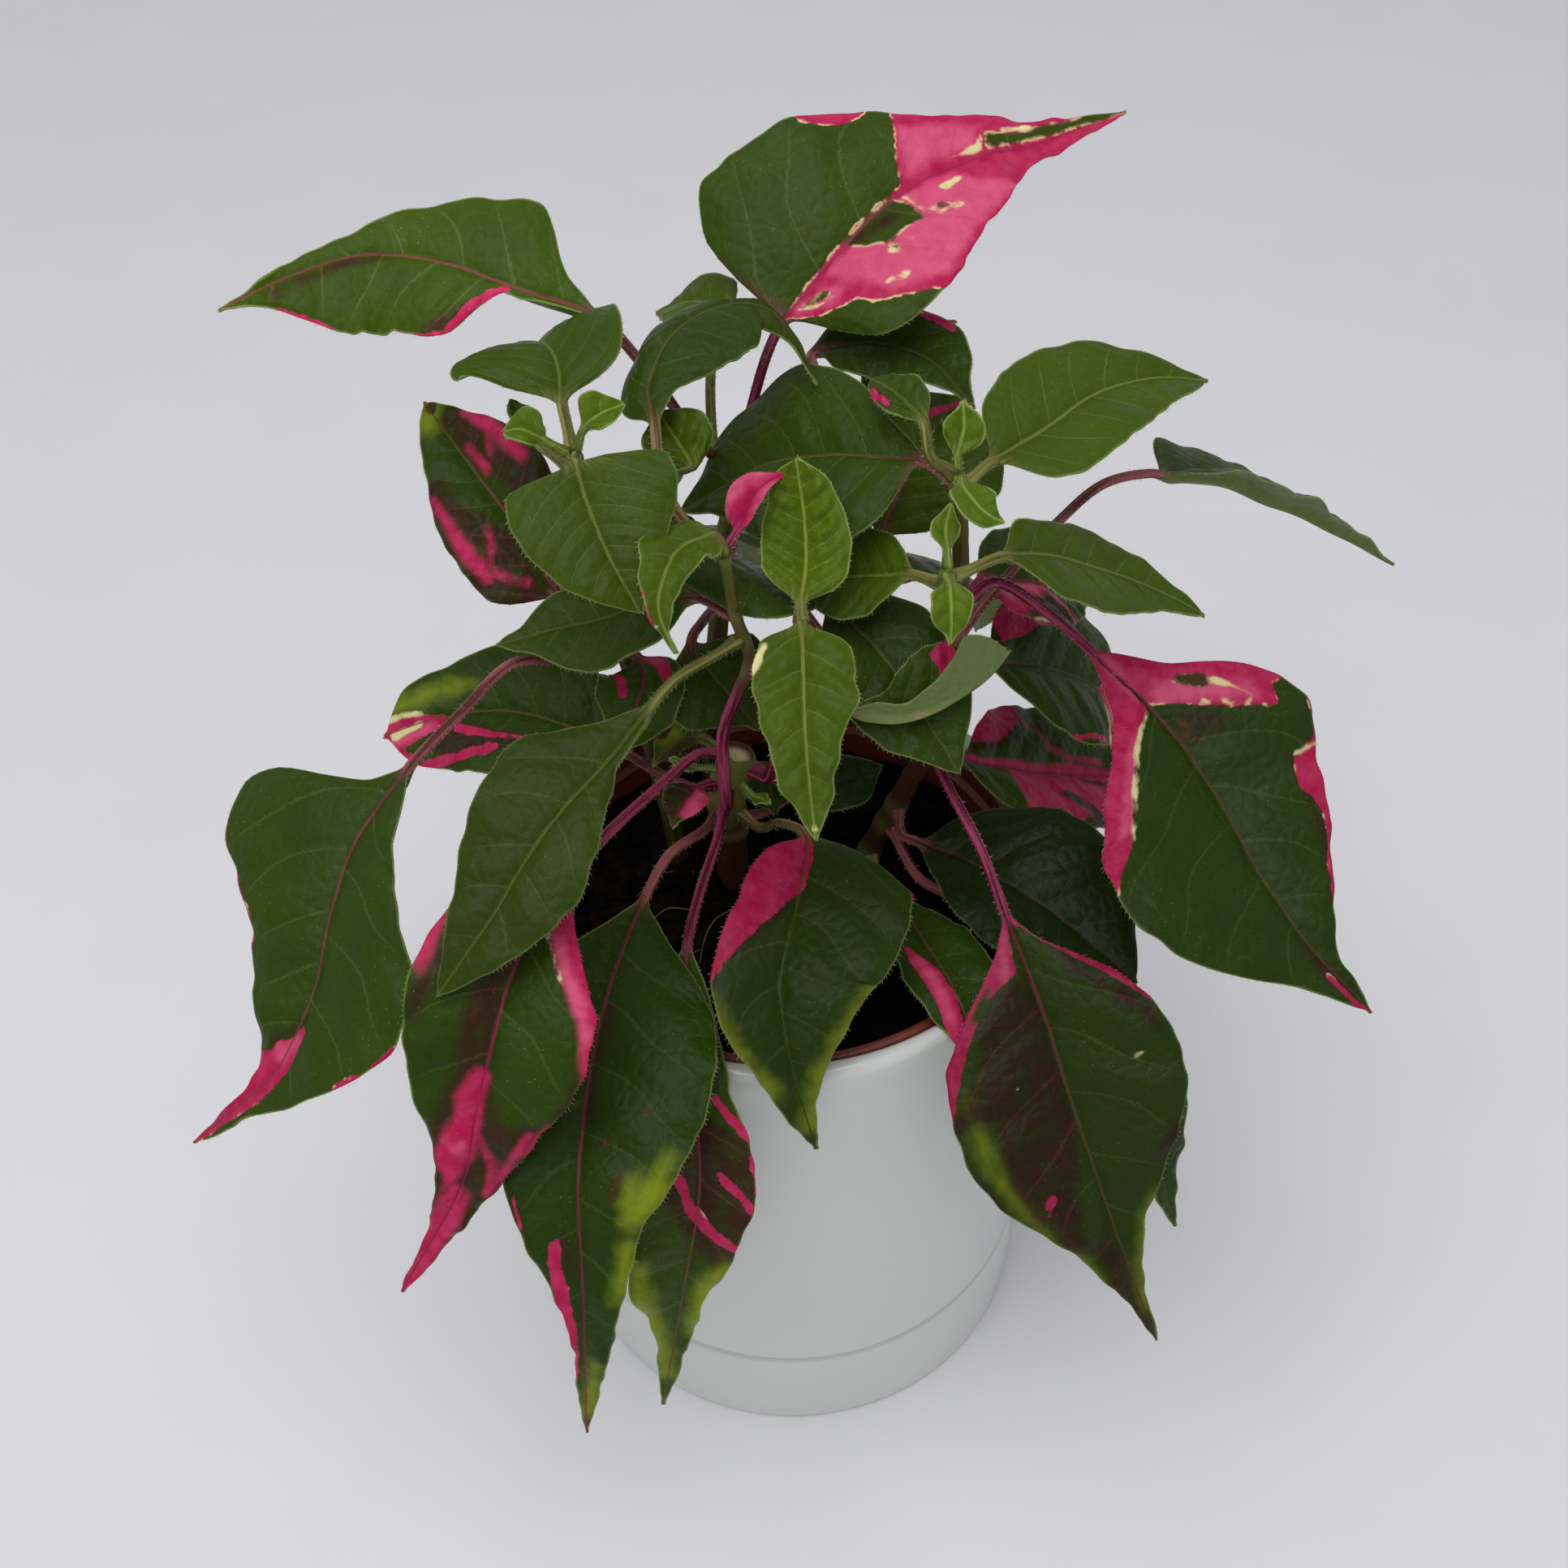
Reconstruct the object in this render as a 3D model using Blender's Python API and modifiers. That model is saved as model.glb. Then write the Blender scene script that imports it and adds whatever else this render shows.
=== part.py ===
"""Potted alternanthera: a many-stemmed house plant in its nursery pot, which stands in a white cover pot.

The plant is written down the way a botanist would: each stem is a list of points it grows through,
and each leaf is a stalk, a midrib, the half widths of its two sides and the way its upper side looks.
All sizes are in millimetres. The origin is the middle of the cover pot's foot, +Z is up and -Y is the
side that the leaves lean to.
"""

import math

import bmesh
import bpy
import numpy as np
from mathutils import Vector

MM = 0.001
GAP = 0.3

# Cover pot: a straight glazed cylinder with a shallow groove above its foot
POT_RADIUS = 48.0
POT_HEIGHT = 118.0
POT_WALL = 3.0
POT_FLOOR = 4.0
POT_LIP_SWELL = 0.6
POT_GROOVE_HEIGHT = 24.0
POT_GROOVE_DEPTH = 0.7
POT_GROOVE_WIDTH = 1.4
POT_FOOT_BEVEL = 1.5
POT_INNER_CORNER = 3.0
POT_LIP_INSIDE = 8.0
POT_LIP_OUTSIDE = 10.0
POT_LIP_STEPS = 6
POT_SEGMENTS = 40

# Nursery pot: thin tapered plastic with a rounded rim that stands just below the cover pot's lip
NURSERY_RIM_RADIUS = 44.4
NURSERY_RIM_DROP = 1.6
NURSERY_RIM_HEIGHT = 5.0
NURSERY_RIM_WALL = 2.0
NURSERY_RIM_INNER_STEP = 1.0
NURSERY_RIM_STEPS = 4
NURSERY_NECK_RADIUS = 42.6
NURSERY_BASE_RADIUS = 33.0
NURSERY_WALL = 1.2
NURSERY_SEGMENTS = 32

# Soil: fills the nursery pot to a little below its rim, with a plain hole for each stem
SOIL_TOP = 108.0
SOIL_MIDDLE_RISE = 1.5
SOIL_SIDE_GAP = 0.3
SOIL_SHOULDER = 0.5
SOIL_SHOULDER_RISE = 1.2
HOLE_HEIGHT = 24.0
HOLE_SIDES = 12

# Leaf blades
BLADE_THICKNESS = 0.7
RIB_THICKNESS = 1.1
STATIONS = (0.0, 0.12, 0.30, 0.50, 0.70, 0.88, 1.0)
BASE_HALF_WIDTH = 0.9
TIP_HALF_WIDTH = 0.4
FACE_FRACTION = 0.4
BLADE_SECTIONS = dict(rings=8, lanes=5)
SMALL_SECTIONS = dict(rings=7, lanes=3)
TIP_SECTIONS = dict(rings=5, lanes=3)

# Leaf stalks and stems
STALK_RADIUS = 1.1
TIP_STALK_RADIUS = 0.7
STALK_LEAD = 1.0
SUNK_ROOT = 1.0
CUT_STEM = "old_stem"
CUT_STEM_ROUNDNESS = 2
STEM_ROUNDNESS = 1
STEM_STEPS = 3
TIP_DOME_LENGTH = 0.8
TIP_DOME_RADIUS = 0.55
CURVE_STEPS = 12
SHARP_ANGLE = 35.0

LEAF_ROUGHNESS = 0.4
COLOURS = {
    "glaze": (0.78, 0.79, 0.78),
    "nursery_plastic": (0.16, 0.04, 0.025),
    "peat": (0.012, 0.008, 0.006),
    "old_green": (0.025, 0.07, 0.012),
    "young_green": (0.13, 0.27, 0.03),
    "splashed": (0.20, 0.05, 0.06),
    "stem": (0.20, 0.09, 0.05),
}

# Stems, bottom to top, with the radius at both ends. A stem grows from the soil or from another stem.
STEMS = {
    "old_stem": dict(grows_from="soil", radius=(3.4, 2.9),
                     points=[(-9, 4, 96), (-9, 4, 109), (-9, 2, 124), (-9, -1, 137), (-7, 0, 144)]),
    "left_stem": dict(grows_from="soil", radius=(2.0, 1.2),
                      points=[(-19, 9, 96), (-19, 9, 109), (-22, 12, 133), (-26, 13, 160),
                              (-29, 9, 186), (-29, 5, 201)]),
    "top_stem": dict(grows_from="soil", radius=(2.2, 1.5),
                     points=[(-12, 17, 96), (-12, 17, 109), (-12, 19, 133), (-9, 24, 160), (-6, 27, 182)]),
    "rear_stem": dict(grows_from="soil", radius=(2.0, 1.3),
                      points=[(8, 20, 96), (8, 20, 109), (9, 22, 140), (14, 21, 170), (18, 26, 182)]),
    "right_stem": dict(grows_from="soil", radius=(2.1, 1.2),
                       points=[(15, 6, 96), (15, 6, 109), (21, 4, 128), (26, 0, 148),
                               (27, -4, 170), (26, -8, 187)]),
    "right_back_stem": dict(grows_from="soil", radius=(1.9, 1.2),
                            points=[(22, 16, 96), (22, 16, 109), (26, 13, 135), (30, 9, 165),
                                    (29, 4, 187), (28, 2, 197)]),
    "front_shoot": dict(grows_from="old_stem", radius=(1.6, 1.1),
                        points=[(-9, -7, 139), (-9, -7, 154), (-6, -9, 166), (-4, -9, 172),
                                (-6, -9, 182), (-7, -8, 192)]),
    "middle_shoot": dict(grows_from="old_stem", radius=(1.6, 1.1),
                         points=[(-2, -3, 141), (1, -6, 156), (3, -10, 173), (4, -12, 181)]),
}

# Leaves. The stalk goes from the stem to the blade and the rib from the blade's base to its tip. The two
# lists of half widths are read at the inner STATIONS, left and right as the upper side is seen with its tip
# up. The face is where the upper side looks at FACE_FRACTION of the blade, and fold lifts the two halves
# from flat, in degrees. A leaf with no look is an old, dark green one.
LEAVES = {
    "top_leaf": dict(
        stem="top_stem", look="splashed", stalk=[(-3, 32, 190), (0, 38, 197)],
        rib=[(3, 44, 200), (11, 50, 207), (22, 58, 214), (36, 65, 217), (49, 71, 217), (63, 79, 218)],
        left=(23, 22, 11, 5, 2), right=(18, 20, 13, 5, 2), face=(-2, -6, 10), fold=(12, 12)),
    "arched_leaf": dict(
        stem="front_shoot", stalk=[(-12, -3, 193), (-16, 3, 197)],
        rib=[(-17, 10, 203), (-18, 16, 206), (-14, 24, 210), (-7, 30, 211), (1, 32, 209), (8, 23, 201)],
        left=(6, 6, 5, 3, 1), right=(5, 10, 11, 7, 2), face=(-4, -5, 10), fold=(-30, -10)),
    "top_back_small_leaf": dict(
        stem="top_stem", small=True, look="young_green", stalk=[(-9, 33, 182), (-9, 44, 194)],
        rib=[(-6, 50, 199), (-12, 55, 198), (-19, 60, 193)],
        left=(6, 7, 7, 5, 2), right=(5, 6, 6, 4, 1), face=(0, -3, 10), fold=(10, 10)),
    "top_back_dark_leaf": dict(
        stem="rear_stem", small=True, stalk=[(12, 30, 189), (8, 38, 194)],
        rib=[(8, 44, 194), (17, 43, 196), (26, 38, 196), (33, 26, 194)],
        left=(5, 8, 8, 6, 2), right=(5, 7, 6, 4, 1), face=(3, -6, 10), fold=(8, 0)),
    "top_rolled_leaf": dict(
        stem="rear_stem", small=True, look="splashed", stalk=[(19, 30, 183)],
        rib=[(19, 36, 185), (19, 43, 189), (25, 51, 193), (33, 58, 191)],
        left=(3, 4, 4, 3, 1), right=(3, 4, 4, 3, 1), face=(0, -5, 10), fold=(40, 40)),
    "upper_left_leaf": dict(
        stem="top_stem", stalk=[(-11, 24, 190), (-19, 30, 200)],
        rib=[(-27, 34, 208), (-37, 36, 211), (-49, 40, 214), (-59, 42, 215), (-69, 40, 215),
             (-84, 30, 213)],
        left=(1, 4, 12, 13, 6), right=(9, 14, 11, 7, 3), face=(0, -5, 10), fold=(-15, 8)),
    "left_small_leaf": dict(
        stem="left_stem", look="young_green", stalk=[(-30, 9, 204)],
        rib=[(-31, 14, 205), (-32, 21, 208), (-35, 28, 207), (-38, 34, 201)],
        left=(7, 12, 13, 9, 3), right=(5, 9, 10, 8, 3), face=(0, -4, 10), fold=(8, 8)),
    "left_dark_leaf": dict(
        stem="left_stem", look="splashed", stalk=[(-31, 13, 167)],
        rib=[(-35, 13, 169), (-41, 20, 176), (-48, 28, 182), (-54, 36, 186), (-58, 42, 188)],
        left=(9, 10, 9, 6, 3), right=(5, 8, 9, 7, 3), face=(-2, -6, 10), fold=(12, 12)),
    "heart_leaf": dict(
        stem="left_stem", look="young_green", stalk=[(-29, 0, 203)],
        rib=[(-28, -3, 205), (-26, -9, 202), (-23, -15, 197), (-19, -20, 191)],
        left=(9, 9, 7, 5, 2), right=(11, 13, 12, 9, 4), face=(0, -6, 10), fold=(5, 5)),
    "left_sliver_leaf": dict(
        stem="left_stem", small=True, look="young_green", stalk=[(-32, 9, 198)],
        rib=[(-34, 12, 198), (-37, 17, 199), (-40, 23, 200)],
        left=(1, 2, 2, 2, 1), right=(1, 2, 2, 2, 1), face=(0, -5, 10), fold=(20, 20)),
    "puckered_leaf": dict(
        stem="left_stem", small=True, look="young_green", stalk=[(-24, 12, 190), (-18, 12, 194)],
        rib=[(-12, 10, 195), (-14, 13, 198), (-17, 18, 200)],
        left=(4, 5, 5, 4, 2), right=(4, 5, 5, 4, 2), face=(0, -6, 10), fold=(15, 15)),
    "left_dull_leaf": dict(
        stem="front_shoot", stalk=[(-8, -7, 181)],
        rib=[(-12, -4, 181), (-20, -2, 178), (-28, 0, 174), (-36, 0, 172), (-44, -2, 171)],
        left=(6, 9, 10, 8, 3), right=(7, 9, 8, 6, 2), face=(0, -4, 10), fold=(5, 5)),
    "left_splashed_leaf": dict(
        stem="old_stem", stalk=[(-14, 4, 131), (-21, 7, 133)],
        rib=[(-29, 11, 136), (-38, 15, 138), (-47, 19, 138), (-58, 20, 137), (-71, 18, 134)],
        left=(6, 10, 13, 13, 8), right=(10, 14, 14, 12, 7), face=(0, -5, 10), fold=(8, 8)),
    "far_left_leaf": dict(
        stem="left_stem", stalk=[(-30, 8, 158), (-35, 2, 164), (-42, -2, 167), (-51, -6, 160)],
        rib=[(-60, -11, 153), (-68, -19, 146), (-72, -28, 140), (-75, -37, 131), (-82, -46, 121),
             (-97, -51, 109)],
        left=(9, 14, 20, 11, 3), right=(18, 20, 13, 7, 3), face=(-4, -4, 10), fold=(5, 5)),
    "front_left_leaf": dict(
        stem="front_shoot", look="young_green", stalk=[(-9, -12, 176), (-15, -16, 175)],
        rib=[(-19, -20, 173), (-26, -28, 169), (-33, -36, 166), (-38, -42, 162), (-43, -48, 157),
             (-51, -54, 148)],
        left=(3, 8, 13, 12, 4), right=(4, 12, 12, 8, 3), face=(-2, -5, 10), fold=(-10, 10)),
    "left_burgundy_leaf": dict(
        stem="old_stem", look="splashed", stalk=[(-13, -3, 147), (-19, -13, 150)],
        rib=[(-29, -30, 153), (-36, -41, 151), (-41, -50, 146), (-44, -57, 139), (-47, -62, 130),
             (-50, -66, 119), (-63, -71, 95)],
        left=(5, 14, 13, 7, 3), right=(8, 15, 11, 6, 3), face=(0, -8, 6), fold=(10, 10)),
    "long_front_leaf": dict(
        stem="old_stem", stalk=[(-13, -6, 132), (-19, -15, 135)],
        rib=[(-23, -22, 132), (-27, -32, 129), (-30, -44, 126), (-32, -56, 121), (-33, -66, 115),
             (-33, -76, 102), (-35, -84, 71)],
        left=(12, 19, 15, 7, 2), right=(9, 13, 11, 6, 2), face=(0, -6, 10), fold=(10, 10)),
    "front_hidden_leaf": dict(
        stem="old_stem", look="splashed", stalk=[(-11, -10, 133), (-14, -19, 130)],
        rib=[(-16, -29, 128), (-16, -40, 125), (-15, -51, 118), (-15, -59, 103), (-19, -66, 82),
             (-24, -71, 54)],
        left=(3, 6, 10, 8, 2), right=(4, 9, 11, 9, 2), face=(0, -8, 6), fold=(10, 10)),
    "centre_dark_leaf": dict(
        stem="old_stem", stalk=[(-4, -5, 131), (0, -10, 137)],
        rib=[(4, -15, 139), (3, -24, 138), (1, -33, 136), (-1, -41, 133), (0, -49, 126), (4, -56, 109)],
        left=(15, 18, 15, 9, 3), right=(9, 12, 12, 8, 3), face=(0, -5, 10), fold=(5, 20)),
    "shoot_leaf_up": dict(
        stem="middle_shoot", look="young_green",
        rib=[(4, -10, 184), (5, -5, 187), (5, 0, 192), (4, 4, 200)],
        left=(4, 7, 7, 5, 2), right=(4, 7, 7, 4, 2), face=(0, -8, 10), fold=(12, 12)),
    "shoot_leaf_down": dict(
        stem="middle_shoot", look="young_green",
        rib=[(4, -15, 184), (4, -23, 180), (4, -31, 175), (5, -40, 164)],
        left=(6, 8, 8, 5, 1), right=(6, 8, 7, 5, 1), face=(0, -6, 10), fold=(8, 8)),
    "small_wavy_leaf": dict(
        stem="front_shoot", small=True, look="young_green",
        rib=[(-8, -10, 197), (-13, -14, 198), (-15, -20, 198), (-16, -24, 195), (-14, -28, 190)],
        left=(3, 4, 4, 3, 1), right=(3, 4, 4, 3, 1), face=(0, -4, 10), fold=(8, 8)),
    "back_green_leaf": dict(
        stem="right_back_stem",
        rib=[(23, 7, 197), (16, 10, 196), (8, 14, 194), (-2, 18, 189), (-15, 18, 181)],
        left=(8, 12, 12, 9, 3), right=(4, 9, 12, 9, 3), face=(0, -3, 10), fold=(-15, 15)),
    "right_upper_leaf": dict(
        stem="right_back_stem", look="young_green",
        rib=[(34, 8, 196), (43, 15, 197), (51, 22, 198), (61, 28, 197), (71, 30, 195)],
        left=(7, 10, 10, 5, 2), right=(9, 11, 10, 7, 3), face=(0, -4, 10), fold=(12, 12)),
    "right_light_leaf": dict(
        stem="right_stem", look="young_green",
        rib=[(35, -4, 187), (42, 0, 184), (51, 4, 178), (61, 6, 172), (70, 6, 166)],
        left=(5, 8, 8, 6, 2), right=(6, 9, 8, 6, 2), face=(2, -3, 10), fold=(10, 10)),
    "light_leaf_behind_shoot": dict(
        stem="right_stem", small=True, look="young_green",
        rib=[(21, -4, 184), (16, 0, 181), (9, 3, 178), (2, 5, 175)],
        left=(4, 7, 8, 6, 3), right=(4, 7, 8, 6, 3), face=(0, -5, 10), fold=(5, 5)),
    "right_splashed_leaf": dict(
        stem="right_stem", look="splashed", stalk=[(34, 1, 178), (45, 4, 168)],
        rib=[(52, 3, 161), (61, -4, 155), (70, -15, 147), (76, -27, 140), (83, -38, 134), (92, -46, 127)],
        left=(9, 20, 17, 10, 2), right=(7, 18, 24, 21, 6), face=(2, -5, 10), fold=(10, 10)),
    "far_right_leaf": dict(
        stem="right_stem", stalk=[(34, 8, 168), (47, 21, 174), (56, 28, 177)],
        rib=[(66, 32, 176), (77, 36, 172), (89, 38, 165), (101, 38, 158), (112, 36, 152)],
        left=(11, 10, 9, 6, 2), right=(8, 11, 10, 7, 3), face=(3, 6, 10), fold=(25, 10)),
    "right_back_dark_leaf": dict(
        stem="right_back_stem",
        rib=[(36, 12, 152), (45, 17, 147), (54, 21, 140), (62, 24, 132), (68, 26, 126)],
        left=(8, 12, 13, 10, 5), right=(6, 11, 12, 10, 4), face=(2, -4, 10), fold=(5, 5)),
    "right_back_pink_leaf": dict(
        stem="right_back_stem", look="splashed",
        rib=[(34, 14, 168), (42, 19, 164), (50, 24, 158), (56, 28, 152)],
        left=(7, 10, 10, 8, 3), right=(7, 9, 9, 7, 3), face=(2, -4, 10), fold=(8, 8)),
    "right_low_pink_leaf": dict(
        stem="right_back_stem", look="splashed",
        rib=[(32, 7, 135), (41, 11, 128), (52, 17, 120), (63, 22, 114), (72, 26, 108)],
        left=(7, 11, 11, 9, 4), right=(7, 11, 11, 9, 4), face=(2, -4, 10), fold=(8, 8)),
    "right_wide_leaf": dict(
        stem="right_stem", stalk=[(21, -3, 126)],
        rib=[(24, -6, 127), (31, -10, 127), (38, -16, 127), (46, -22, 125), (58, -33, 120)],
        left=(8, 15, 17, 14, 6), right=(6, 10, 12, 11, 5), face=(0, -3, 10), fold=(5, 5)),
    "right_front_leaf": dict(
        stem="right_stem", look="splashed", stalk=[(27, -8, 145), (32, -19, 140)],
        rib=[(36, -29, 133), (41, -41, 124), (45, -51, 114), (49, -59, 104), (54, -67, 91), (60, -73, 75)],
        left=(8, 18, 18, 9, 2), right=(9, 17, 18, 11, 3), face=(0, -8, 6), fold=(10, 10)),
    "right_under_leaf": dict(
        stem="right_stem", small=True, stalk=[(24, -6, 118), (33, -16, 121)],
        rib=[(42, -26, 121), (52, -33, 111), (61, -40, 93), (69, -46, 66)],
        left=(6, 9, 9, 6, 2), right=(6, 9, 9, 5, 2), face=(3, -8, 8), fold=(8, 8)),
    "wet_leaf": dict(
        stem="right_stem", small=True, look="young_green", stalk=[(17, -3, 113)],
        rib=[(20, -10, 117), (23, -21, 120), (27, -32, 121), (30, -41, 118), (32, -47, 112)],
        left=(3, 6, 8, 6, 2), right=(3, 5, 7, 5, 2), face=(0, -4, 10), fold=(8, 8)),
    "curled_leaf": dict(
        stem="front_shoot", stalk=[(3, -15, 169)],
        rib=[(11, -16, 168), (18, -17, 167), (25, -16, 168), (31, -13, 170), (36, -9, 173)],
        left=(3, 7, 10, 9, 4), right=(3, 7, 11, 10, 4), face=(0, 0, 10), fold=(50, 60)),
    "shaded_middle_leaf": dict(
        stem="right_stem", stalk=[(17, 1, 168)],
        rib=[(9, 2, 174), (15, -4, 171), (21, -12, 166), (28, -21, 158)],
        left=(5, 8, 8, 7, 3), right=(5, 8, 8, 7, 3), face=(0, -4, 10), fold=(5, 5)),
    "back_pink_edge_leaf": dict(
        stem="rear_stem", look="splashed",
        rib=[(18, 24, 171), (22, 30, 176), (27, 37, 181), (33, 45, 184)],
        left=(6, 10, 12, 10, 4), right=(6, 10, 12, 10, 4), face=(0, -4, 10), fold=(8, 8)),
    "right_puckered_leaf": dict(
        stem="right_back_stem", small=True, look="young_green", stalk=[(24, 3, 200)],
        rib=[(23, 7, 204), (21, 10, 205), (19, 14, 205), (16, 19, 204)],
        left=(3, 4, 4, 3, 2), right=(3, 4, 4, 3, 2), face=(0, -4, 10), fold=(12, 12)),
    "low_small_leaf": dict(
        stem="old_stem", small=True, look="splashed",
        rib=[(-14, -4, 140), (-16, -9, 142), (-18, -14, 141)],
        left=(3, 4, 4, 3, 1), right=(3, 4, 4, 3, 1), face=(0, -4, 10), fold=(15, 15)),
    "low_dull_leaf": dict(
        stem="top_stem", small=True, stalk=[(-12, 16, 160)],
        rib=[(-14, 10, 160), (-11, 6, 157), (-7, 3, 153), (-3, 1, 148)],
        left=(4, 7, 7, 4, 1), right=(4, 7, 7, 4, 1), face=(0, -6, 10), fold=(5, 5)),
    "low_dark_left_leaf": dict(
        stem="old_stem", small=True,
        rib=[(-4, 7, 134), (-2, 5, 132), (-1, 2, 127)],
        left=(3, 5, 5, 4, 1), right=(3, 5, 5, 4, 1), face=(0, -4, 10), fold=(8, 8)),
    "low_dark_right_leaf": dict(
        stem="old_stem", small=True, stalk=[(-2, 4, 126)],
        rib=[(5, 6, 130), (11, 6, 131), (18, 8, 132)],
        left=(4, 5, 5, 4, 2), right=(4, 6, 6, 5, 2), face=(0, -4, 10), fold=(8, 8)),
    "old_yellow_leaf": dict(
        stem="old_stem", small=True, look="young_green",
        rib=[(-13, 5, 143), (-17, 6, 142), (-22, 4, 138)],
        left=(2, 3, 4, 3, 1), right=(2, 3, 4, 3, 1), face=(0, -4, 10), fold=(25, 25)),
    "left_back_pink_leaf": dict(
        stem="left_stem", small=True, look="splashed",
        rib=[(-23, 9, 158), (-22, 5, 157), (-24, 1, 153), (-27, -2, 147)],
        left=(4, 6, 6, 4, 2), right=(4, 6, 6, 4, 2), face=(0, -4, 10), fold=(8, 8)),
    "middle_back_leaf": dict(
        stem="top_stem", stalk=[(-6, 18, 172)],
        rib=[(-6, 12, 176), (-8, 6, 181), (-11, 1, 184), (-15, -3, 184)],
        left=(5, 8, 9, 7, 3), right=(5, 8, 9, 7, 3), face=(0, -5, 10), fold=(8, 8)),
    "rear_left_leaf": dict(
        stem="top_stem", stalk=[(-18, 32, 158)],
        rib=[(-25, 40, 160), (-32, 50, 158), (-38, 60, 150), (-42, 68, 138)],
        left=(8, 14, 15, 10, 3), right=(8, 14, 15, 10, 3), face=(-2, 4, 10), fold=(10, 10)),
    "rear_middle_leaf": dict(
        stem="rear_stem", stalk=[(4, 34, 150)],
        rib=[(2, 44, 152), (0, 55, 148), (-2, 65, 138), (-3, 71, 122)],
        left=(8, 15, 15, 10, 3), right=(8, 14, 15, 10, 3), face=(0, 5, 10), fold=(10, 10)),
    "rear_right_leaf": dict(
        stem="right_back_stem", stalk=[(30, 30, 140)],
        rib=[(34, 40, 142), (38, 52, 138), (41, 62, 128), (42, 69, 112)],
        left=(8, 14, 15, 10, 3), right=(8, 14, 14, 10, 3), face=(2, 5, 10), fold=(10, 10)),
}

# The smallest leaves at the shoots' tips, which are one solid with their stem
SHOOT_TIPS = {
    "right_back_tip_up": dict(
        stem="right_back_stem", rib=[(28, 4, 200), (29, 6, 203), (29, 9, 206)],
        left=(3, 4, 4, 3, 1), right=(3, 4, 4, 3, 1), face=(0, -8, 6), fold=(15, 15)),
    "right_back_tip_down": dict(
        stem="right_back_stem", rib=[(28, -2, 199), (29, -5, 199), (31, -8, 198), (34, -8, 196)],
        left=(3, 4, 4, 3, 1), right=(3, 4, 4, 3, 1), face=(0, -4, 10), fold=(15, 15)),
    "right_tip_up": dict(
        stem="right_stem", rib=[(26, -6, 190), (26, -3, 192), (27, 0, 194)],
        left=(2, 3, 3, 2, 1), right=(2, 3, 3, 2, 1), face=(0, -8, 6), fold=(15, 15)),
    "right_tip_down": dict(
        stem="right_stem", rib=[(26, -11, 188), (26, -15, 186), (26, -17, 181)],
        left=(3, 4, 4, 3, 1), right=(3, 4, 4, 3, 1), face=(0, -5, 10), fold=(10, 10)),
    "left_tip_left": dict(
        stem="left_stem", rib=[(-33, 5, 204), (-36, 5, 206), (-39, 6, 205)],
        left=(2, 3, 3, 2, 1), right=(2, 3, 3, 2, 1), face=(0, -4, 10), fold=(35, 35)),
    "left_tip_right": dict(
        stem="left_stem", rib=[(-27, 5, 206), (-24, 6, 208), (-21, 8, 208)],
        left=(2, 3, 3, 2, 1), right=(2, 3, 3, 2, 1), face=(0, -4, 10), fold=(35, 35)),
    "pink_young_leaf": dict(
        stem="front_shoot", rib=[(-5, -5, 194), (-2, -1, 198), (2, 2, 199)],
        left=(2, 2, 2, 2, 1), right=(2, 2, 2, 2, 1), face=(0, -5, 10), fold=(30, 30)),
    "low_tip_left": dict(
        stem="old_stem", rib=[(-14, -2, 143), (-16, -3, 145), (-18, -3, 146)],
        left=(1, 2, 2, 1, 1), right=(1, 2, 2, 1, 1), face=(0, -4, 10), fold=(15, 15)),
    "low_tip_right": dict(
        stem="old_stem", rib=[(-5, -5, 139), (-3, -7, 140), (-2, -9, 141)],
        left=(1, 2, 2, 1, 1), right=(1, 2, 2, 1, 1), face=(0, -4, 10), fold=(15, 15)),
}


def clear_scene():
    """Remove whatever the scene already holds."""
    for thing in list(bpy.data.objects):
        bpy.data.objects.remove(thing, do_unlink=True)


def new_collection(name):
    """A collection linked to the scene."""
    collection = bpy.data.collections.new(name)
    bpy.context.scene.collection.children.link(collection)
    return collection


def material(name, roughness):
    """A Principled material in one of the colours above."""
    made = bpy.data.materials.get(name)
    if made:
        return made
    made = bpy.data.materials.new(name)
    made.use_nodes = True
    shader = made.node_tree.nodes["Principled BSDF"]
    shader.inputs["Base Color"].default_value = (*COLOURS[name], 1.0)
    shader.inputs["Roughness"].default_value = roughness
    shader.inputs["Metallic"].default_value = 0.0
    made.diffuse_color = (*COLOURS[name], 1.0)
    return made


def add_object(name, mesh, collection, look):
    """An object for a mesh, in its collection and with its material."""
    made = bpy.data.objects.new(name, mesh)
    collection.objects.link(made)
    mesh.materials.append(look)
    return made


def unit(vectors):
    """Vectors, or rows of vectors, of length 1."""
    vectors = np.asarray(vectors, float)
    return vectors / np.maximum(np.linalg.norm(vectors, axis=-1, keepdims=True), 1e-9)


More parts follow.
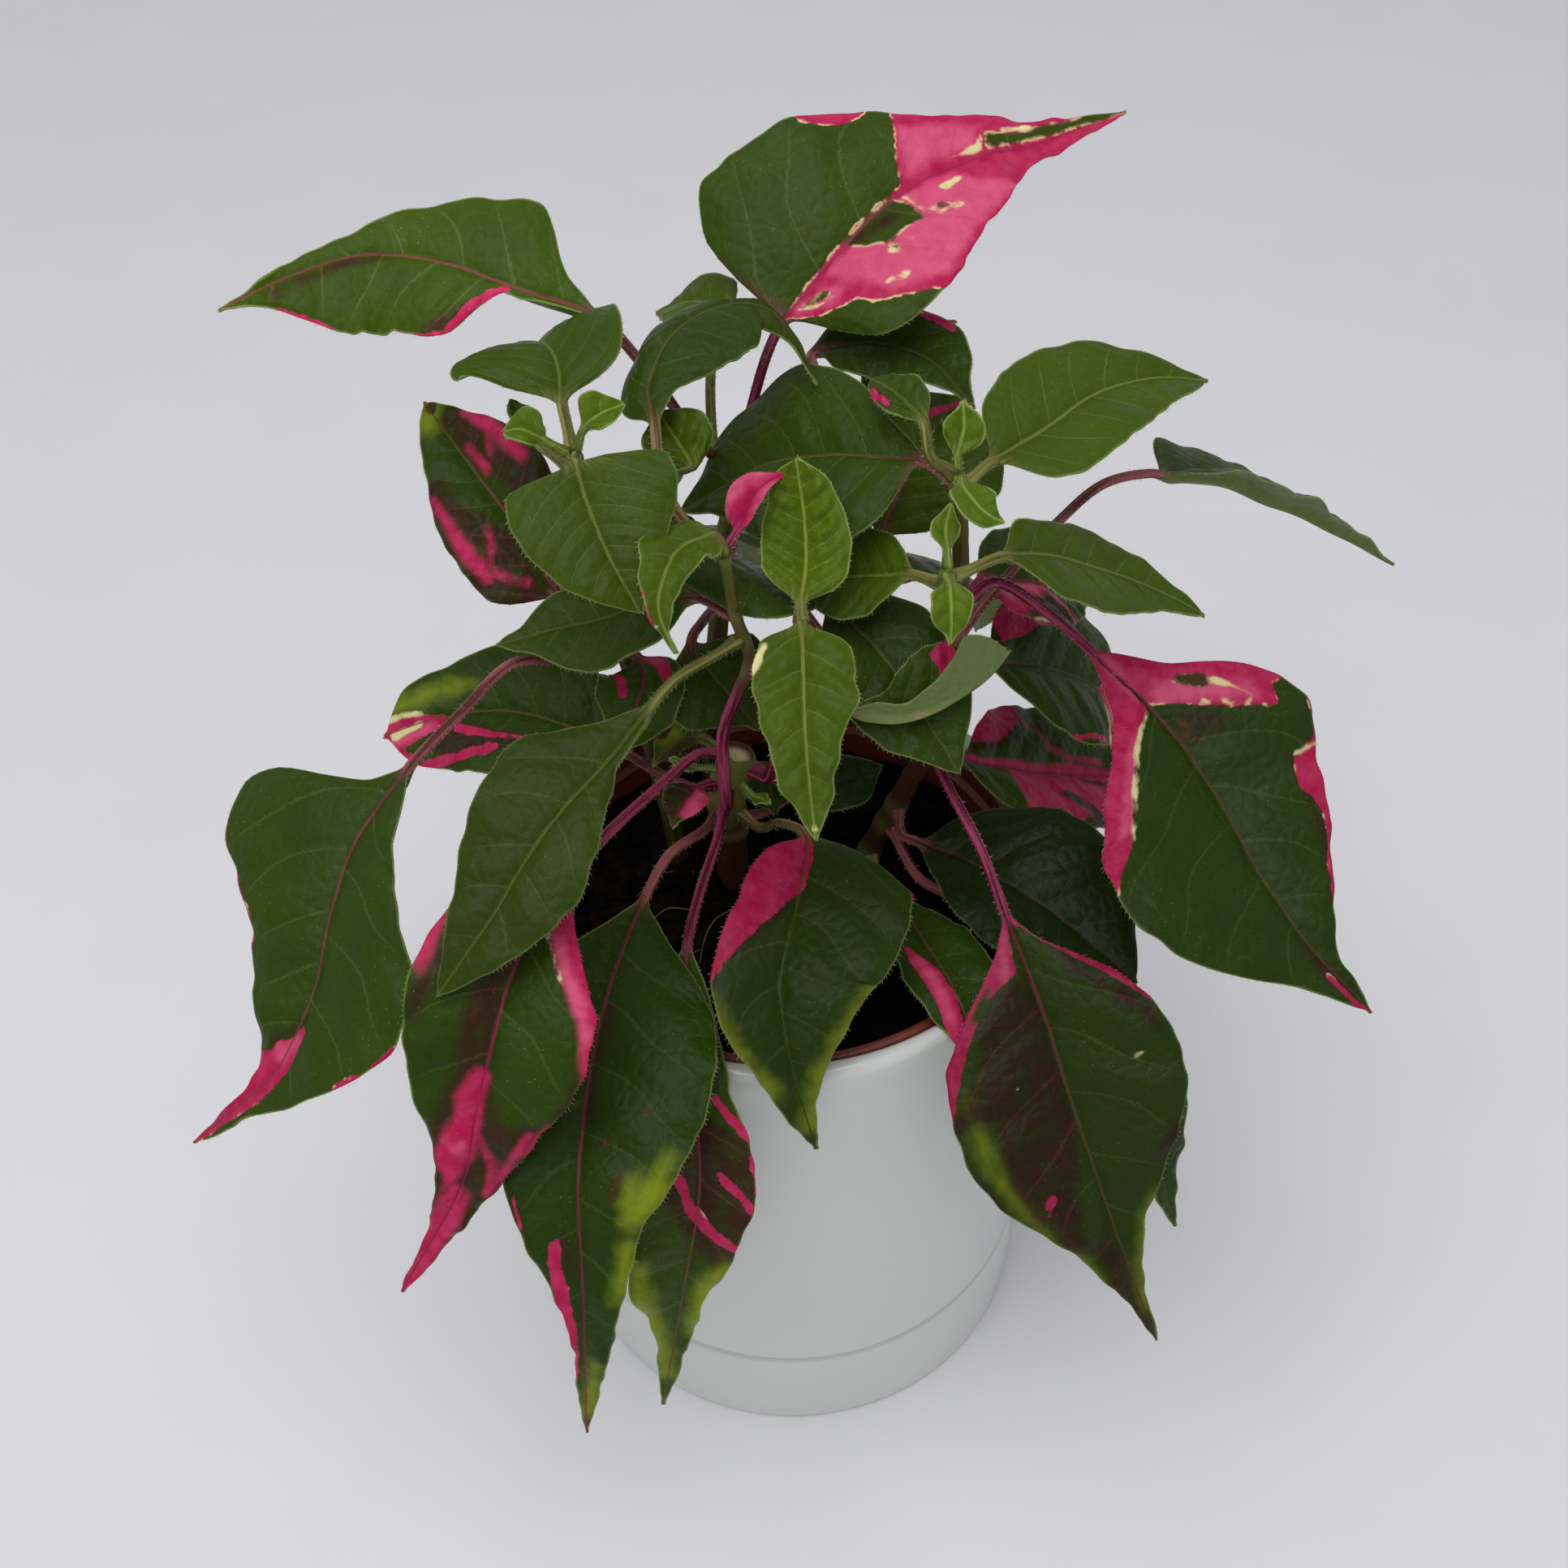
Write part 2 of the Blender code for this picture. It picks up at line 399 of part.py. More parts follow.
def smooth_curve(points, steps=CURVE_STEPS):
    """Points on a centripetal Catmull-Rom curve through the given ones."""
    points = np.array(points, float)
    ends = np.vstack([2 * points[0] - points[1], points, 2 * points[-1] - points[-2]])
    rows = []
    for index in range(len(points) - 1):
        p0, p1, p2, p3 = ends[index:index + 4]
        t1 = np.linalg.norm(p1 - p0) ** 0.5
        t2 = t1 + np.linalg.norm(p2 - p1) ** 0.5
        t3 = t2 + np.linalg.norm(p3 - p2) ** 0.5
        t = np.linspace(t1, t2, steps, endpoint=False)[:, None]
        a1 = (t1 - t) / t1 * p0 + t / t1 * p1
        a2 = (t2 - t) / (t2 - t1) * p1 + (t - t1) / (t2 - t1) * p2
        a3 = (t3 - t) / (t3 - t2) * p2 + (t - t2) / (t3 - t2) * p3
        b1 = (t2 - t) / t2 * a1 + t / t2 * a2
        b2 = (t3 - t) / (t3 - t1) * a2 + (t - t1) / (t3 - t1) * a3
        rows.append((t2 - t) / (t2 - t1) * b1 + (t - t1) / (t2 - t1) * b2)
    rows.append(points[-1:])
    return np.vstack(rows)


def lengths(curve):
    """How far along the curve each of its points lies."""
    return np.concatenate([[0.0], np.cumsum(np.linalg.norm(np.diff(curve, axis=0), axis=1))])


def read_rows(rows, at, wanted):
    """Rows of numbers given at some lengths, read at other lengths."""
    return np.stack([np.interp(wanted, at, rows[:, axis]) for axis in range(3)], -1)


def half_width(values, fractions):
    """A smooth, never overshooting curve through a leaf side's half widths."""
    x = np.array(STATIONS)
    y = np.array([BASE_HALF_WIDTH, *values, TIP_HALF_WIDTH])
    step = np.diff(x)
    rise = np.diff(y) / step
    slope = np.zeros(len(x))
    for i in range(1, len(x) - 1):
        if rise[i - 1] * rise[i] > 0:
            before = 2 * step[i] + step[i - 1]
            after = step[i] + 2 * step[i - 1]
            slope[i] = (before + after) / (before / rise[i - 1] + after / rise[i])
    slope[0] = rise[0]
    slope[-1] = rise[-1]
    k = np.clip(np.searchsorted(x, fractions, side="right") - 1, 0, len(step) - 1)
    s = (fractions - x[k]) / step[k]
    start = y[k] * (1 + 2 * s) * (1 - s) ** 2 + slope[k] * step[k] * s * (1 - s) ** 2
    return start + y[k + 1] * s * s * (3 - 2 * s) + slope[k + 1] * step[k] * s * s * (s - 1)


def carried_frames(curve, start, face):
    """Tangent, across and normal along a curve, turned no more than the curve itself bends."""
    tangent = unit(np.gradient(curve, axis=0))
    across = np.zeros_like(tangent)
    across[start] = unit(np.cross(tangent[start], unit(face)))
    for i in range(start + 1, len(curve)):
        across[i] = unit(across[i - 1] - tangent[i] * np.dot(across[i - 1], tangent[i]))
    for i in range(start - 1, -1, -1):
        across[i] = unit(across[i + 1] - tangent[i] * np.dot(across[i + 1], tangent[i]))
    return tangent, across, unit(np.cross(across, tangent))


def stem_radius(stem, fraction):
    """The stem's radius at a fraction of its length."""
    bottom, top = STEMS[stem]["radius"]
    return bottom + (top - bottom) * fraction


def leave_stem(stem, toward):
    """The stem's skin nearest to a point, one gap off, and the way out from its middle there."""
    line = smooth_curve(STEMS[stem]["points"])
    toward = np.array(toward, float)
    nearest = int(np.argmin(np.linalg.norm(line - toward, axis=1)))
    out = unit(toward - line[nearest])
    radius = stem_radius(stem, lengths(line)[nearest] / lengths(line)[-1])
    return line[nearest] + out * (radius + GAP), out


def leaf_lines(leaf, sunk):
    """The stalk and the midrib as two smooth curves that run on from each other."""
    first = (leaf.get("stalk", []) + leaf["rib"])[0]
    root, out = leave_stem(leaf["stem"], first)
    if sunk:
        root = root - out * (GAP + SUNK_ROOT)
    way = [tuple(root), tuple(root + out * STALK_LEAD)] + leaf.get("stalk", []) + leaf["rib"]
    whole = smooth_curve(way)
    split = (len(way) - len(leaf["rib"])) * CURVE_STEPS
    return whole[:split + 1], whole[split:]


def leaf_rings(leaf, sunk, sections, stalk_radius):
    """Closed sections from the stalk's root to the blade's tip, each with the same number of points."""
    stalk, rib = leaf_lines(leaf, sunk)
    whole = np.vstack([stalk, rib[1:]])
    at = lengths(whole)
    blade_start = lengths(stalk)[-1]
    middle = int(np.argmin(abs(at - (blade_start + FACE_FRACTION * (at[-1] - blade_start)))))
    tangent, across, normal = carried_frames(whole, middle, leaf["face"])
    stalk_at = np.linspace(0, blade_start, 2 + len(leaf.get("stalk", [])), endpoint=False)
    fractions = np.linspace(0, 1, sections["rings"])
    lanes = sections["lanes"]
    blade_at = blade_start + fractions * (at[-1] - blade_start)
    rings = []
    for length in stalk_at:
        centre = read_rows(whole, at, [length])[0]
        side = unit(read_rows(across, at, [length])[0])
        up = unit(read_rows(normal, at, [length])[0])
        rings.append(stalk_section(centre, side, up, stalk_radius, lanes))
    for length, fraction in zip(blade_at, fractions):
        centre = read_rows(whole, at, [length])[0]
        side = unit(read_rows(across, at, [length])[0])
        up = unit(read_rows(normal, at, [length])[0])
        rings.append(blade_section(leaf, centre, side, up, fraction, lanes))
    return rings


def stalk_section(centre, side, up, radius, lanes):
    """A round section: its upper points run from left to right and its lower ones back."""
    turns = [math.pi * (1 - (i + 0.5) / lanes) for i in range(2 * lanes)]
    return [centre + radius * (math.cos(turn) * side + math.sin(turn) * up) for turn in turns]


def blade_section(leaf, centre, side, up, fraction, lanes):
    """A thin section, thicker at the midrib, with each half lifted by its fold."""
    upper = []
    lower = []
    place = np.array([fraction])
    for lane in np.linspace(-1, 1, lanes):
        values, fold = (leaf["left"], leaf["fold"][0]) if lane < 0 else (leaf["right"], leaf["fold"][1])
        lift = math.radians(fold)
        reach = float(half_width(values, place)[0]) * abs(lane)
        point = centre + side * math.copysign(reach * math.cos(lift), lane) + up * reach * math.sin(lift)
        thick = BLADE_THICKNESS + (RIB_THICKNESS - BLADE_THICKNESS) * (1 - abs(lane)) * (1 - fraction)
        skin = up if lane == 0 else up * math.cos(lift) - side * math.copysign(math.sin(lift), lane)
        upper.append(point)
        lower.append(point - skin * thick)
    return upper + lower[::-1]


def loft(name, rings, lanes):
    """A closed mesh through the sections, with the same diagonals on its upper and lower skins."""
    count = len(rings[0])
    faces = []
    for ring in range(len(rings) - 1):
        here = ring * count
        there = here + count
        for i in range(count):
            j = (i + 1) % count
            if i < lanes:
                faces += [(here + i, here + j, there + j), (here + i, there + j, there + i)]
            else:
                faces += [(here + i, here + j, there + i), (here + j, there + j, there + i)]
    faces += cap(0, lanes, True) + cap((len(rings) - 1) * count, lanes, False)
    mesh = bpy.data.meshes.new(name)
    mesh.from_pydata([tuple(float(v) * MM for v in point) for ring in rings for point in ring], [], faces)
    outward(mesh)
    return mesh


def cap(start, lanes, first):
    """A strip of triangles between a section's upper and lower points."""
    count = 2 * lanes
    faces = []
    for i in range(lanes - 1):
        upper, upper_next = start + i, start + i + 1
        lower, lower_next = start + count - 1 - i, start + count - 2 - i
        faces += [(upper, upper_next, lower_next), (upper, lower_next, lower)]
    if first:
        return [face[::-1] for face in faces]
    return faces


def outward(mesh):
    """Point every face out."""
    work = bmesh.new()
    work.from_mesh(mesh)
    bmesh.ops.remove_doubles(work, verts=work.verts, dist=1e-6)
    bmesh.ops.recalc_face_normals(work, faces=work.faces)
    work.to_mesh(mesh)
    work.free()


def turned(name, outline, segments, collection, look):
    """A profile, down its outer side and back up its inner one, turned about the Z axis."""
    work = bmesh.new()
    verts = [work.verts.new((radius * MM, 0.0, height * MM)) for radius, height in outline]
    for first, second in zip(verts, verts[1:]):
        work.edges.new((first, second))
    mesh = bpy.data.meshes.new(name)
    work.to_mesh(mesh)
    work.free()
    made = add_object(name, mesh, collection, look)
    screw = made.modifiers.new("turn", "SCREW")
    screw.steps = segments
    screw.render_steps = segments
    screw.use_merge_vertices = True
    screw.merge_threshold = 1e-5
    return made


def arc(middle_radius, middle_height, size, start, end, steps):
    """Points on a round edge of a profile, with its angles in degrees from straight out."""
    turns = [math.radians(start + (end - start) * i / steps) for i in range(steps + 1)]
    return [(middle_radius + size * math.cos(t), middle_height + size * math.sin(t)) for t in turns]


def make_cover_pot(collection):
    """White glazed cylinder: rounded lip, shallow groove above the foot, flat base."""
    lip = POT_WALL / 2 + POT_LIP_SWELL / 2
    lip_middle = POT_RADIUS + POT_LIP_SWELL - lip
    inside = POT_RADIUS - POT_WALL
    outline = [(0.0, POT_FLOOR), (inside - POT_INNER_CORNER, POT_FLOOR)]
    outline += [(inside, POT_FLOOR + POT_INNER_CORNER), (inside, POT_HEIGHT - POT_LIP_INSIDE)]
    outline += arc(lip_middle, POT_HEIGHT - lip, lip, 180, 0, POT_LIP_STEPS)
    outline += [
        (POT_RADIUS, POT_HEIGHT - POT_LIP_OUTSIDE),
        (POT_RADIUS, POT_GROOVE_HEIGHT + POT_GROOVE_WIDTH),
        (POT_RADIUS - POT_GROOVE_DEPTH, POT_GROOVE_HEIGHT + POT_GROOVE_WIDTH / 2),
        (POT_RADIUS - POT_GROOVE_DEPTH, POT_GROOVE_HEIGHT - POT_GROOVE_WIDTH / 2),
        (POT_RADIUS, POT_GROOVE_HEIGHT - POT_GROOVE_WIDTH),
        (POT_RADIUS, POT_FOOT_BEVEL),
        (POT_RADIUS - POT_FOOT_BEVEL, 0.0),
        (0.0, 0.0),
    ]
    return turned("cover_pot", outline, POT_SEGMENTS, collection, material("glaze", 0.25))


def make_nursery_pot(collection):
    """Red-brown thin plastic pot that stands on the cover pot's floor, with a rounded rim."""
    bottom = POT_FLOOR + GAP
    top = POT_HEIGHT - NURSERY_RIM_DROP
    rim_low = top - NURSERY_RIM_HEIGHT
    rim_inner = NURSERY_RIM_RADIUS - NURSERY_RIM_WALL
    edge = NURSERY_RIM_WALL / 2
    outline = [
        (0.0, bottom + NURSERY_WALL),
        (NURSERY_BASE_RADIUS - NURSERY_WALL, bottom + NURSERY_WALL),
        (NURSERY_NECK_RADIUS - NURSERY_WALL, rim_low),
        (rim_inner, rim_low + NURSERY_RIM_INNER_STEP),
    ]
    outline += arc(rim_inner + edge, top - edge, edge, 180, 0, NURSERY_RIM_STEPS)
    outline += [
        (NURSERY_RIM_RADIUS, rim_low),
        (NURSERY_NECK_RADIUS, rim_low),
        (NURSERY_BASE_RADIUS, bottom),
        (0.0, bottom),
    ]
    look = material("nursery_plastic", 0.45)
    return turned("nursery_pot", outline, NURSERY_SEGMENTS, collection, look)


def make_soil(collection, cutters):
    """Dark peat that fills the nursery pot, with a plain hole for each stem that stands in it."""
    bottom = POT_FLOOR + GAP + NURSERY_WALL + GAP
    rim_low = POT_HEIGHT - NURSERY_RIM_DROP - NURSERY_RIM_HEIGHT
    slope = (NURSERY_NECK_RADIUS - NURSERY_BASE_RADIUS) / (rim_low - bottom)
    base = NURSERY_BASE_RADIUS - NURSERY_WALL - SOIL_SIDE_GAP
    edge = base + slope * (SOIL_TOP - bottom)
    outline = [
        (0.0, SOIL_TOP + SOIL_MIDDLE_RISE),
        (edge * SOIL_SHOULDER, SOIL_TOP + SOIL_SHOULDER_RISE),
        (edge, SOIL_TOP),
        (base, bottom),
        (0.0, bottom),
    ]
    soil = turned("soil", outline, NURSERY_SEGMENTS, collection, material("peat", 0.95))
    for stem, spec in STEMS.items():
        if spec["grows_from"] == "soil":
            x, y, z = spec["points"][0]
            radius = spec["radius"][0] + GAP
            hole = add_hole(f"{stem}_hole", (x, y, z - GAP), radius, cutters)
            cut = soil.modifiers.new(f"{stem}_hole", "BOOLEAN")
            cut.operation = "DIFFERENCE"
            cut.object = hole
    return soil


def add_hole(name, bottom, radius, collection):
    """An upright cylinder that only cuts."""
    work = bmesh.new()
    bmesh.ops.create_cone(
        work, cap_ends=True, segments=HOLE_SIDES, radius1=radius * MM, radius2=radius * MM,
        depth=HOLE_HEIGHT * MM)
    mesh = bpy.data.meshes.new(name)
    work.to_mesh(mesh)
    work.free()
    made = add_object(name, mesh, collection, material("peat", 0.95))
    made.location = Vector(bottom) * MM + Vector((0.0, 0.0, HOLE_HEIGHT * MM / 2))
    made.hide_render = True
    made.display_type = "WIRE"
    return made


def stem_points(stem):
    """The stem's middle line in mm with a radius for each point; a growing tip ends in a small dome."""
    spec = STEMS[stem]
    points = list(spec["points"])
    if spec["grows_from"] != "soil":
        root, out = leave_stem(spec["grows_from"], points[0])
        points = [tuple(root), tuple(root + out * STALK_LEAD)] + points
    line = smooth_curve(points, STEM_STEPS)
    fractions = lengths(line) / lengths(line)[-1]
    radii = [stem_radius(stem, fraction) for fraction in fractions]
    if stem != CUT_STEM:
        tip = line[-1] + unit(line[-1] - line[-2]) * radii[-1] * TIP_DOME_LENGTH
        line = np.vstack([line, tip])
        radii.append(radii[-1] * TIP_DOME_RADIUS)
    return line, radii


def make_stem(stem, collection):
    """A tapering tube along the stem's middle line."""
    line, radii = stem_points(stem)
    curve = bpy.data.curves.new(stem, "CURVE")
    curve.dimensions = "3D"
    curve.bevel_depth = MM
    curve.bevel_resolution = CUT_STEM_ROUNDNESS if stem == CUT_STEM else STEM_ROUNDNESS
    curve.use_fill_caps = True
    spline = curve.splines.new("POLY")
    spline.points.add(len(line) - 1)
    for point, place, radius in zip(spline.points, line, radii):
        point.co = (*(float(v) * MM for v in place), 1.0)
        point.radius = radius
    tube = bpy.data.objects.new(f"{stem}_tube", curve)
    collection.objects.link(tube)
    bpy.context.view_layer.update()
    mesh = bpy.data.meshes.new_from_object(tube.evaluated_get(bpy.context.evaluated_depsgraph_get()))
    bpy.data.objects.remove(tube, do_unlink=True)
    outward(mesh)
    mesh.name = stem
    return add_object(stem, mesh, collection, material("stem", 0.5))


def make_leaf(name, leaf, collection):
    """One leaf: a round stalk that widens into a thin blade, as one closed solid."""
    sections = SMALL_SECTIONS if leaf.get("small") else BLADE_SECTIONS
    mesh = loft(name, leaf_rings(leaf, False, sections, STALK_RADIUS), sections["lanes"])
    return add_object(name, mesh, collection, material(leaf.get("look", "old_green"), LEAF_ROUGHNESS))


def fuse_shoot_tips(stems, cutters):
    """Join each shoot's smallest leaves to it, with their roots sunk into the stem."""
    for name, leaf in SHOOT_TIPS.items():
        mesh = loft(name, leaf_rings(leaf, True, TIP_SECTIONS, TIP_STALK_RADIUS), TIP_SECTIONS["lanes"])
        tip = add_object(name, mesh, cutters, material("young_green", LEAF_ROUGHNESS))
        tip.hide_render = True
        tip.display_type = "WIRE"
        join = stems[leaf["stem"]].modifiers.new(name, "BOOLEAN")
        join.operation = "UNION"
        join.object = tip


def smooth_shading(made):
    """Shade round pieces smooth and keep their sharp edges."""
    made.data.shade_smooth()
    made.data.set_sharp_from_angle(angle=math.radians(SHARP_ANGLE))


def main():
    """Build the pots, the soil, the stems and the leaves."""
    clear_scene()
    parts = new_collection("potted_alternanthera")
    cutters = new_collection("cutters")
    smooth_shading(make_cover_pot(parts))
    smooth_shading(make_nursery_pot(parts))
    make_soil(parts, cutters)
    stems = {stem: make_stem(stem, parts) for stem in STEMS}
    for stem in stems.values():
        smooth_shading(stem)
    fuse_shoot_tips(stems, cutters)
    for name, leaf in LEAVES.items():
        smooth_shading(make_leaf(name, leaf, parts))


main()
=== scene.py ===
"""Looks of a potted alternanthera: splashed leaves, ribbed stems, peat, nursery pot and glazed cover pot.

The script dresses a fixed model of the plant. Each leaf is grown again along the same stalk and midrib as
its plain solid, with many more points, so that it can carry vein quilting, wavy edges and its own markings.
Lengths in the tables are in millimetres, in the model's frame: +Z up, -Y the side that the leaves lean to.
"""

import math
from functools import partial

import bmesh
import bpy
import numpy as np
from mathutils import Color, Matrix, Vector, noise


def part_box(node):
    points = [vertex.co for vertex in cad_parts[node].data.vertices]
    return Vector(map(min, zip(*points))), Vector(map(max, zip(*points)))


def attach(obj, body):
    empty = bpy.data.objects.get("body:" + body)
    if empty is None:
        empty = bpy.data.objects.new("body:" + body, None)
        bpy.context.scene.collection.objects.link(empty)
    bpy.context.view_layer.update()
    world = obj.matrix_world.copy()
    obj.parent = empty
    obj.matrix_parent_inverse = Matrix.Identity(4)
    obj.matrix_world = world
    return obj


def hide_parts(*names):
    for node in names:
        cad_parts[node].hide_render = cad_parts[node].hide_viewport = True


bl_info = {
    "name": "Potted alternanthera",
    "version": (1, 0, 0),
    "blender": (4, 5, 0),
    "location": "View3D > Sidebar > Plant",
    "description": "Leaves, stems, soil, pots and studio of a potted alternanthera",
    "category": "Object",
}

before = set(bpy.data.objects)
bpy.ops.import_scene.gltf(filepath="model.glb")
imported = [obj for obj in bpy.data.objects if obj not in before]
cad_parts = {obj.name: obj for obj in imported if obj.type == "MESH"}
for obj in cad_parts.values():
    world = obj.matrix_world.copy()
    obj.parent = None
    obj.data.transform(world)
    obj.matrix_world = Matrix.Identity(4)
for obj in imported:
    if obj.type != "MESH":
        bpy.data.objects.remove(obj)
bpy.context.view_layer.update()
BODY = "root"
MM = 0.001

# The solid model's values that the finer pieces repeat
GAP = 0.3
STATIONS = (0.0, 0.12, 0.30, 0.50, 0.70, 0.88, 1.0)
BASE_HALF_WIDTH = 0.9
TIP_HALF_WIDTH = 0.4
FACE_FRACTION = 0.4
STALK_LEAD = 1.0
CURVE_STEPS = 12
CUT_STEM = "old_stem"

# Pots
POT_RADIUS = 48.0
POT_HEIGHT = 118.0
POT_WALL = 3.0
POT_FLOOR = 4.0
POT_LIP_SWELL = 0.6
POT_LIP_BLEND = 9.0
POT_GROOVE_HEIGHT = 24.0
POT_FOOT_BEVEL = 1.5
POT_INNER_CORNER = 3.0
NURSERY_RIM_RADIUS = 44.4
NURSERY_RIM_DROP = 1.6
NURSERY_RIM_HEIGHT = 5.0
NURSERY_RIM_WALL = 2.0
NURSERY_RIM_EASE = 0.5
NURSERY_NECK_RADIUS = 42.6
NURSERY_BASE_RADIUS = 33.0
NURSERY_WALL = 1.2
NURSERY_RIM_LOW = POT_HEIGHT - NURSERY_RIM_DROP - NURSERY_RIM_HEIGHT
TURN_SEGMENTS = 128
CORNER_STEPS = 6
LIP_STEPS = 16
LIP_BLEND_STEPS = 8
GROOVE_STEPS = 16
ROLLED_RIM_STEPS = 12

# Soil: its lumps' sizes and strengths, and how its crumbs and dry root threads are made
SOIL_TOP = 108.0
SOIL_MIDDLE_RISE = 1.05
SOIL_SETTLED = 0.4
SOIL_LOW, SOIL_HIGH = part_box("soil")
SOIL_BOTTOM = SOIL_LOW.z / MM
SOIL_RADIUS = SOIL_HIGH.x / MM
SOIL_LUMPS = ((11.0, 1.0), (4.0, 0.7), (1.7, 0.4))
SOIL_RINGS = 56
SOIL_SIDES = 128
CLOD_SIZES = (0.6, 1.6)
CLOD_MARGIN = 2.0
CLOD_STRETCH = (0.6, 1.3)
CLOD_RISE = 0.2
CLOD_BUMPS = 0.45
CLOD_BUMP_RATE = 1.6
THREAD_STEPS = 5
THREAD_SIDES = 6
THREAD_FACE = (0.1, 0.2, 1.0)
THREAD_END = 0.35

# Camera, worked out from the pot's ellipses: where it looks, from how far, and how it is tilted
IMAGE_SIDE = 1932
FOCAL_PIXELS = 2200.0
SENSOR_WIDTH = 36.0
CAMERA_AIM = Vector((0.696, 0.0, 136.32))
CAMERA_DISTANCE = 307.2
CAMERA_PITCH = 44.5
CAMERA_ROLL = -1.8
CAMERA_NEAREST = 0.01

# Studio
SOFTBOX_PLACE = Vector((-0.14, -0.28, 1.0))
AIMED_AT = Vector((-0.03, 0.0, 0.05))

# Fineness of the leaves, and the small forms of their stalks, ribs, edges and veins
SEED = 20
LEAF_OFFSET = 200.0
HALF_LANES = 16
LANE_CROWDING = 0.08
STALK_STEP = 1.0
BLADE_STEP = 0.7
LEAST_STALK_ROWS = 4
LEAST_BLADE_ROWS = 24
ROOT_SUNK = 0.8
STALK_CHANNEL = 0.3
STALK_CHANNEL_ANGLE = 0.5
STALK_FLARE = 0.5
STALK_FLARE_LENGTH = 3.5
BLEND_BEFORE = 2.0
BLEND_AFTER = 3.0
EDGE_UNEVEN = 0.16
EDGE_WAVES = (13.0, 7.7, 4.6)
DRIP_TIP = 0.6
CREASE_RADIUS = 1.2
LEFT_WAVES = (19.0, 8.7)
RIGHT_WAVES = (17.0, 9.3)
SWAY = 0.35
SWAY_SLANT = 0.35
SWAY_WAVES = (27.0, 15.0)
VEIN_PAIRS = 7
VEIN_SPACING = (3.2, 10.0)
VEIN_SLOPE = 0.4
VEIN_BOW = 0.3
VEIN_STAGGER = 0.45
VEIN_SHAKE = 0.08
VEIN_SHAKE_WAVES = (13.0,)
QUILT_FULLNESS = 0.6
BLISTER = 0.5
BLISTER_WAVES = (5.1, 7.3, 4.3, 9.0)
RIB_GROOVE = 0.3
RIB_GROOVE_WIDTH = 0.6
RIB_TIP_KEEL = 0.25
KEEL_TAPER = 1.4
KEEL_WIDTHS = (0.95, 0.3)
EDGE_THINNING = 0.35
FAR_OUTSIDE = 50.0
HAIR_RADIUS = 0.035
HAIR_BEND = 0.35
HAIR_SUNK = 0.1
HAIR_SCATTER = 0.22
HAIR_LEAN_EDGE = 0.7
HAIR_LEAN_STALK = 0.4
HAIRS_PER_STALK_ROW = 3
HAIR_SHORTEST = 0.35
HAIR_MIDDLE = 0.55
HAIR_MIDDLE_WIDTH = 0.7
DROP_FLATNESS = 0.7
DROP_RISE = 0.35
MARKINGS = ("pink", "rose", "wine", "brown", "isle", "cream", "lime")

# Fineness and small forms of the stems, with the width and rise of each ring that closes their tops
STEM_STEP = 0.8
STEM_SIDES = 32
STEM_RIBS = 5
STEM_TWIST = 0.02
STEM_WOBBLE = 0.02
STEM_WAVES = (7.0, 4.1)
STEM_FACE = (1.0, 0.3, 0.1)
LEAST_STEM_ROWS = 6
KNOT_LENGTH = 1.8
KNOT_SWELL = 0.22
SHOOT_SUNK = 1.0
DOME_RINGS = ((0.92, 0.30), (0.72, 0.55), (0.42, 0.75), (0.08, 0.84))
CUT_RINGS = ((0.93, 0.12), (0.80, -0.02), (0.72, -0.15), (0.45, -0.18), (0.05, -0.20))

# Joining of points on the turning axis, and the angle from which an edge stays sharp
WELD_DISTANCE = 1e-6
SHARP_ANGLE = 35.0

# Dry root threads on the peat: radius, then points with their height over the surface
SOIL_THREADS = (
    (0.13, ((-21.5, 5.4, 0.2), (-18, 5.2, 0.8), (-15.2, 4.2, 0.3))),
    (0.15, ((-24, -5.4, 0.1), (-21, -3.6, 0.9), (-17, -3.8, 0.3))),
    (0.12, ((-12.6, 10, 0.2), (-11.2, 7, 1.0), (-9.4, 3.8, 0.2))),
    (0.15, ((-15.2, -16.4, 0.2), (-14, -11, 1.1), (-12, -6.5, 1.2), (-8.3, -3.2, 0.3))),
    (0.10, ((-27, 0.5, 0.2), (-24.5, 1.8, 0.8), (-22, 1.2, 0.2))),
    (0.12, ((-20, -13, 0.1), (-17.5, -14.2, 0.8), (-14, -13.2, 0.2))),
    (0.10, ((-2, -26, 0.2), (1.5, -27.6, 0.9), (5, -27, 0.2))),
    (0.11, ((12, -14, 0.2), (14.5, -16.5, 0.9), (18, -17, 0.2))),
)

# Settings that many shader nodes share
SMOOTH = {"interpolation_type": "SMOOTHSTEP"}
COLOURS = {"data_type": "RGBA"}
FLAT_NOISE = {"noise_dimensions": "2D"}
TIMES = {"operation": "MULTIPLY"}
TIMES_PLUS = {"operation": "MULTIPLY_ADD"}

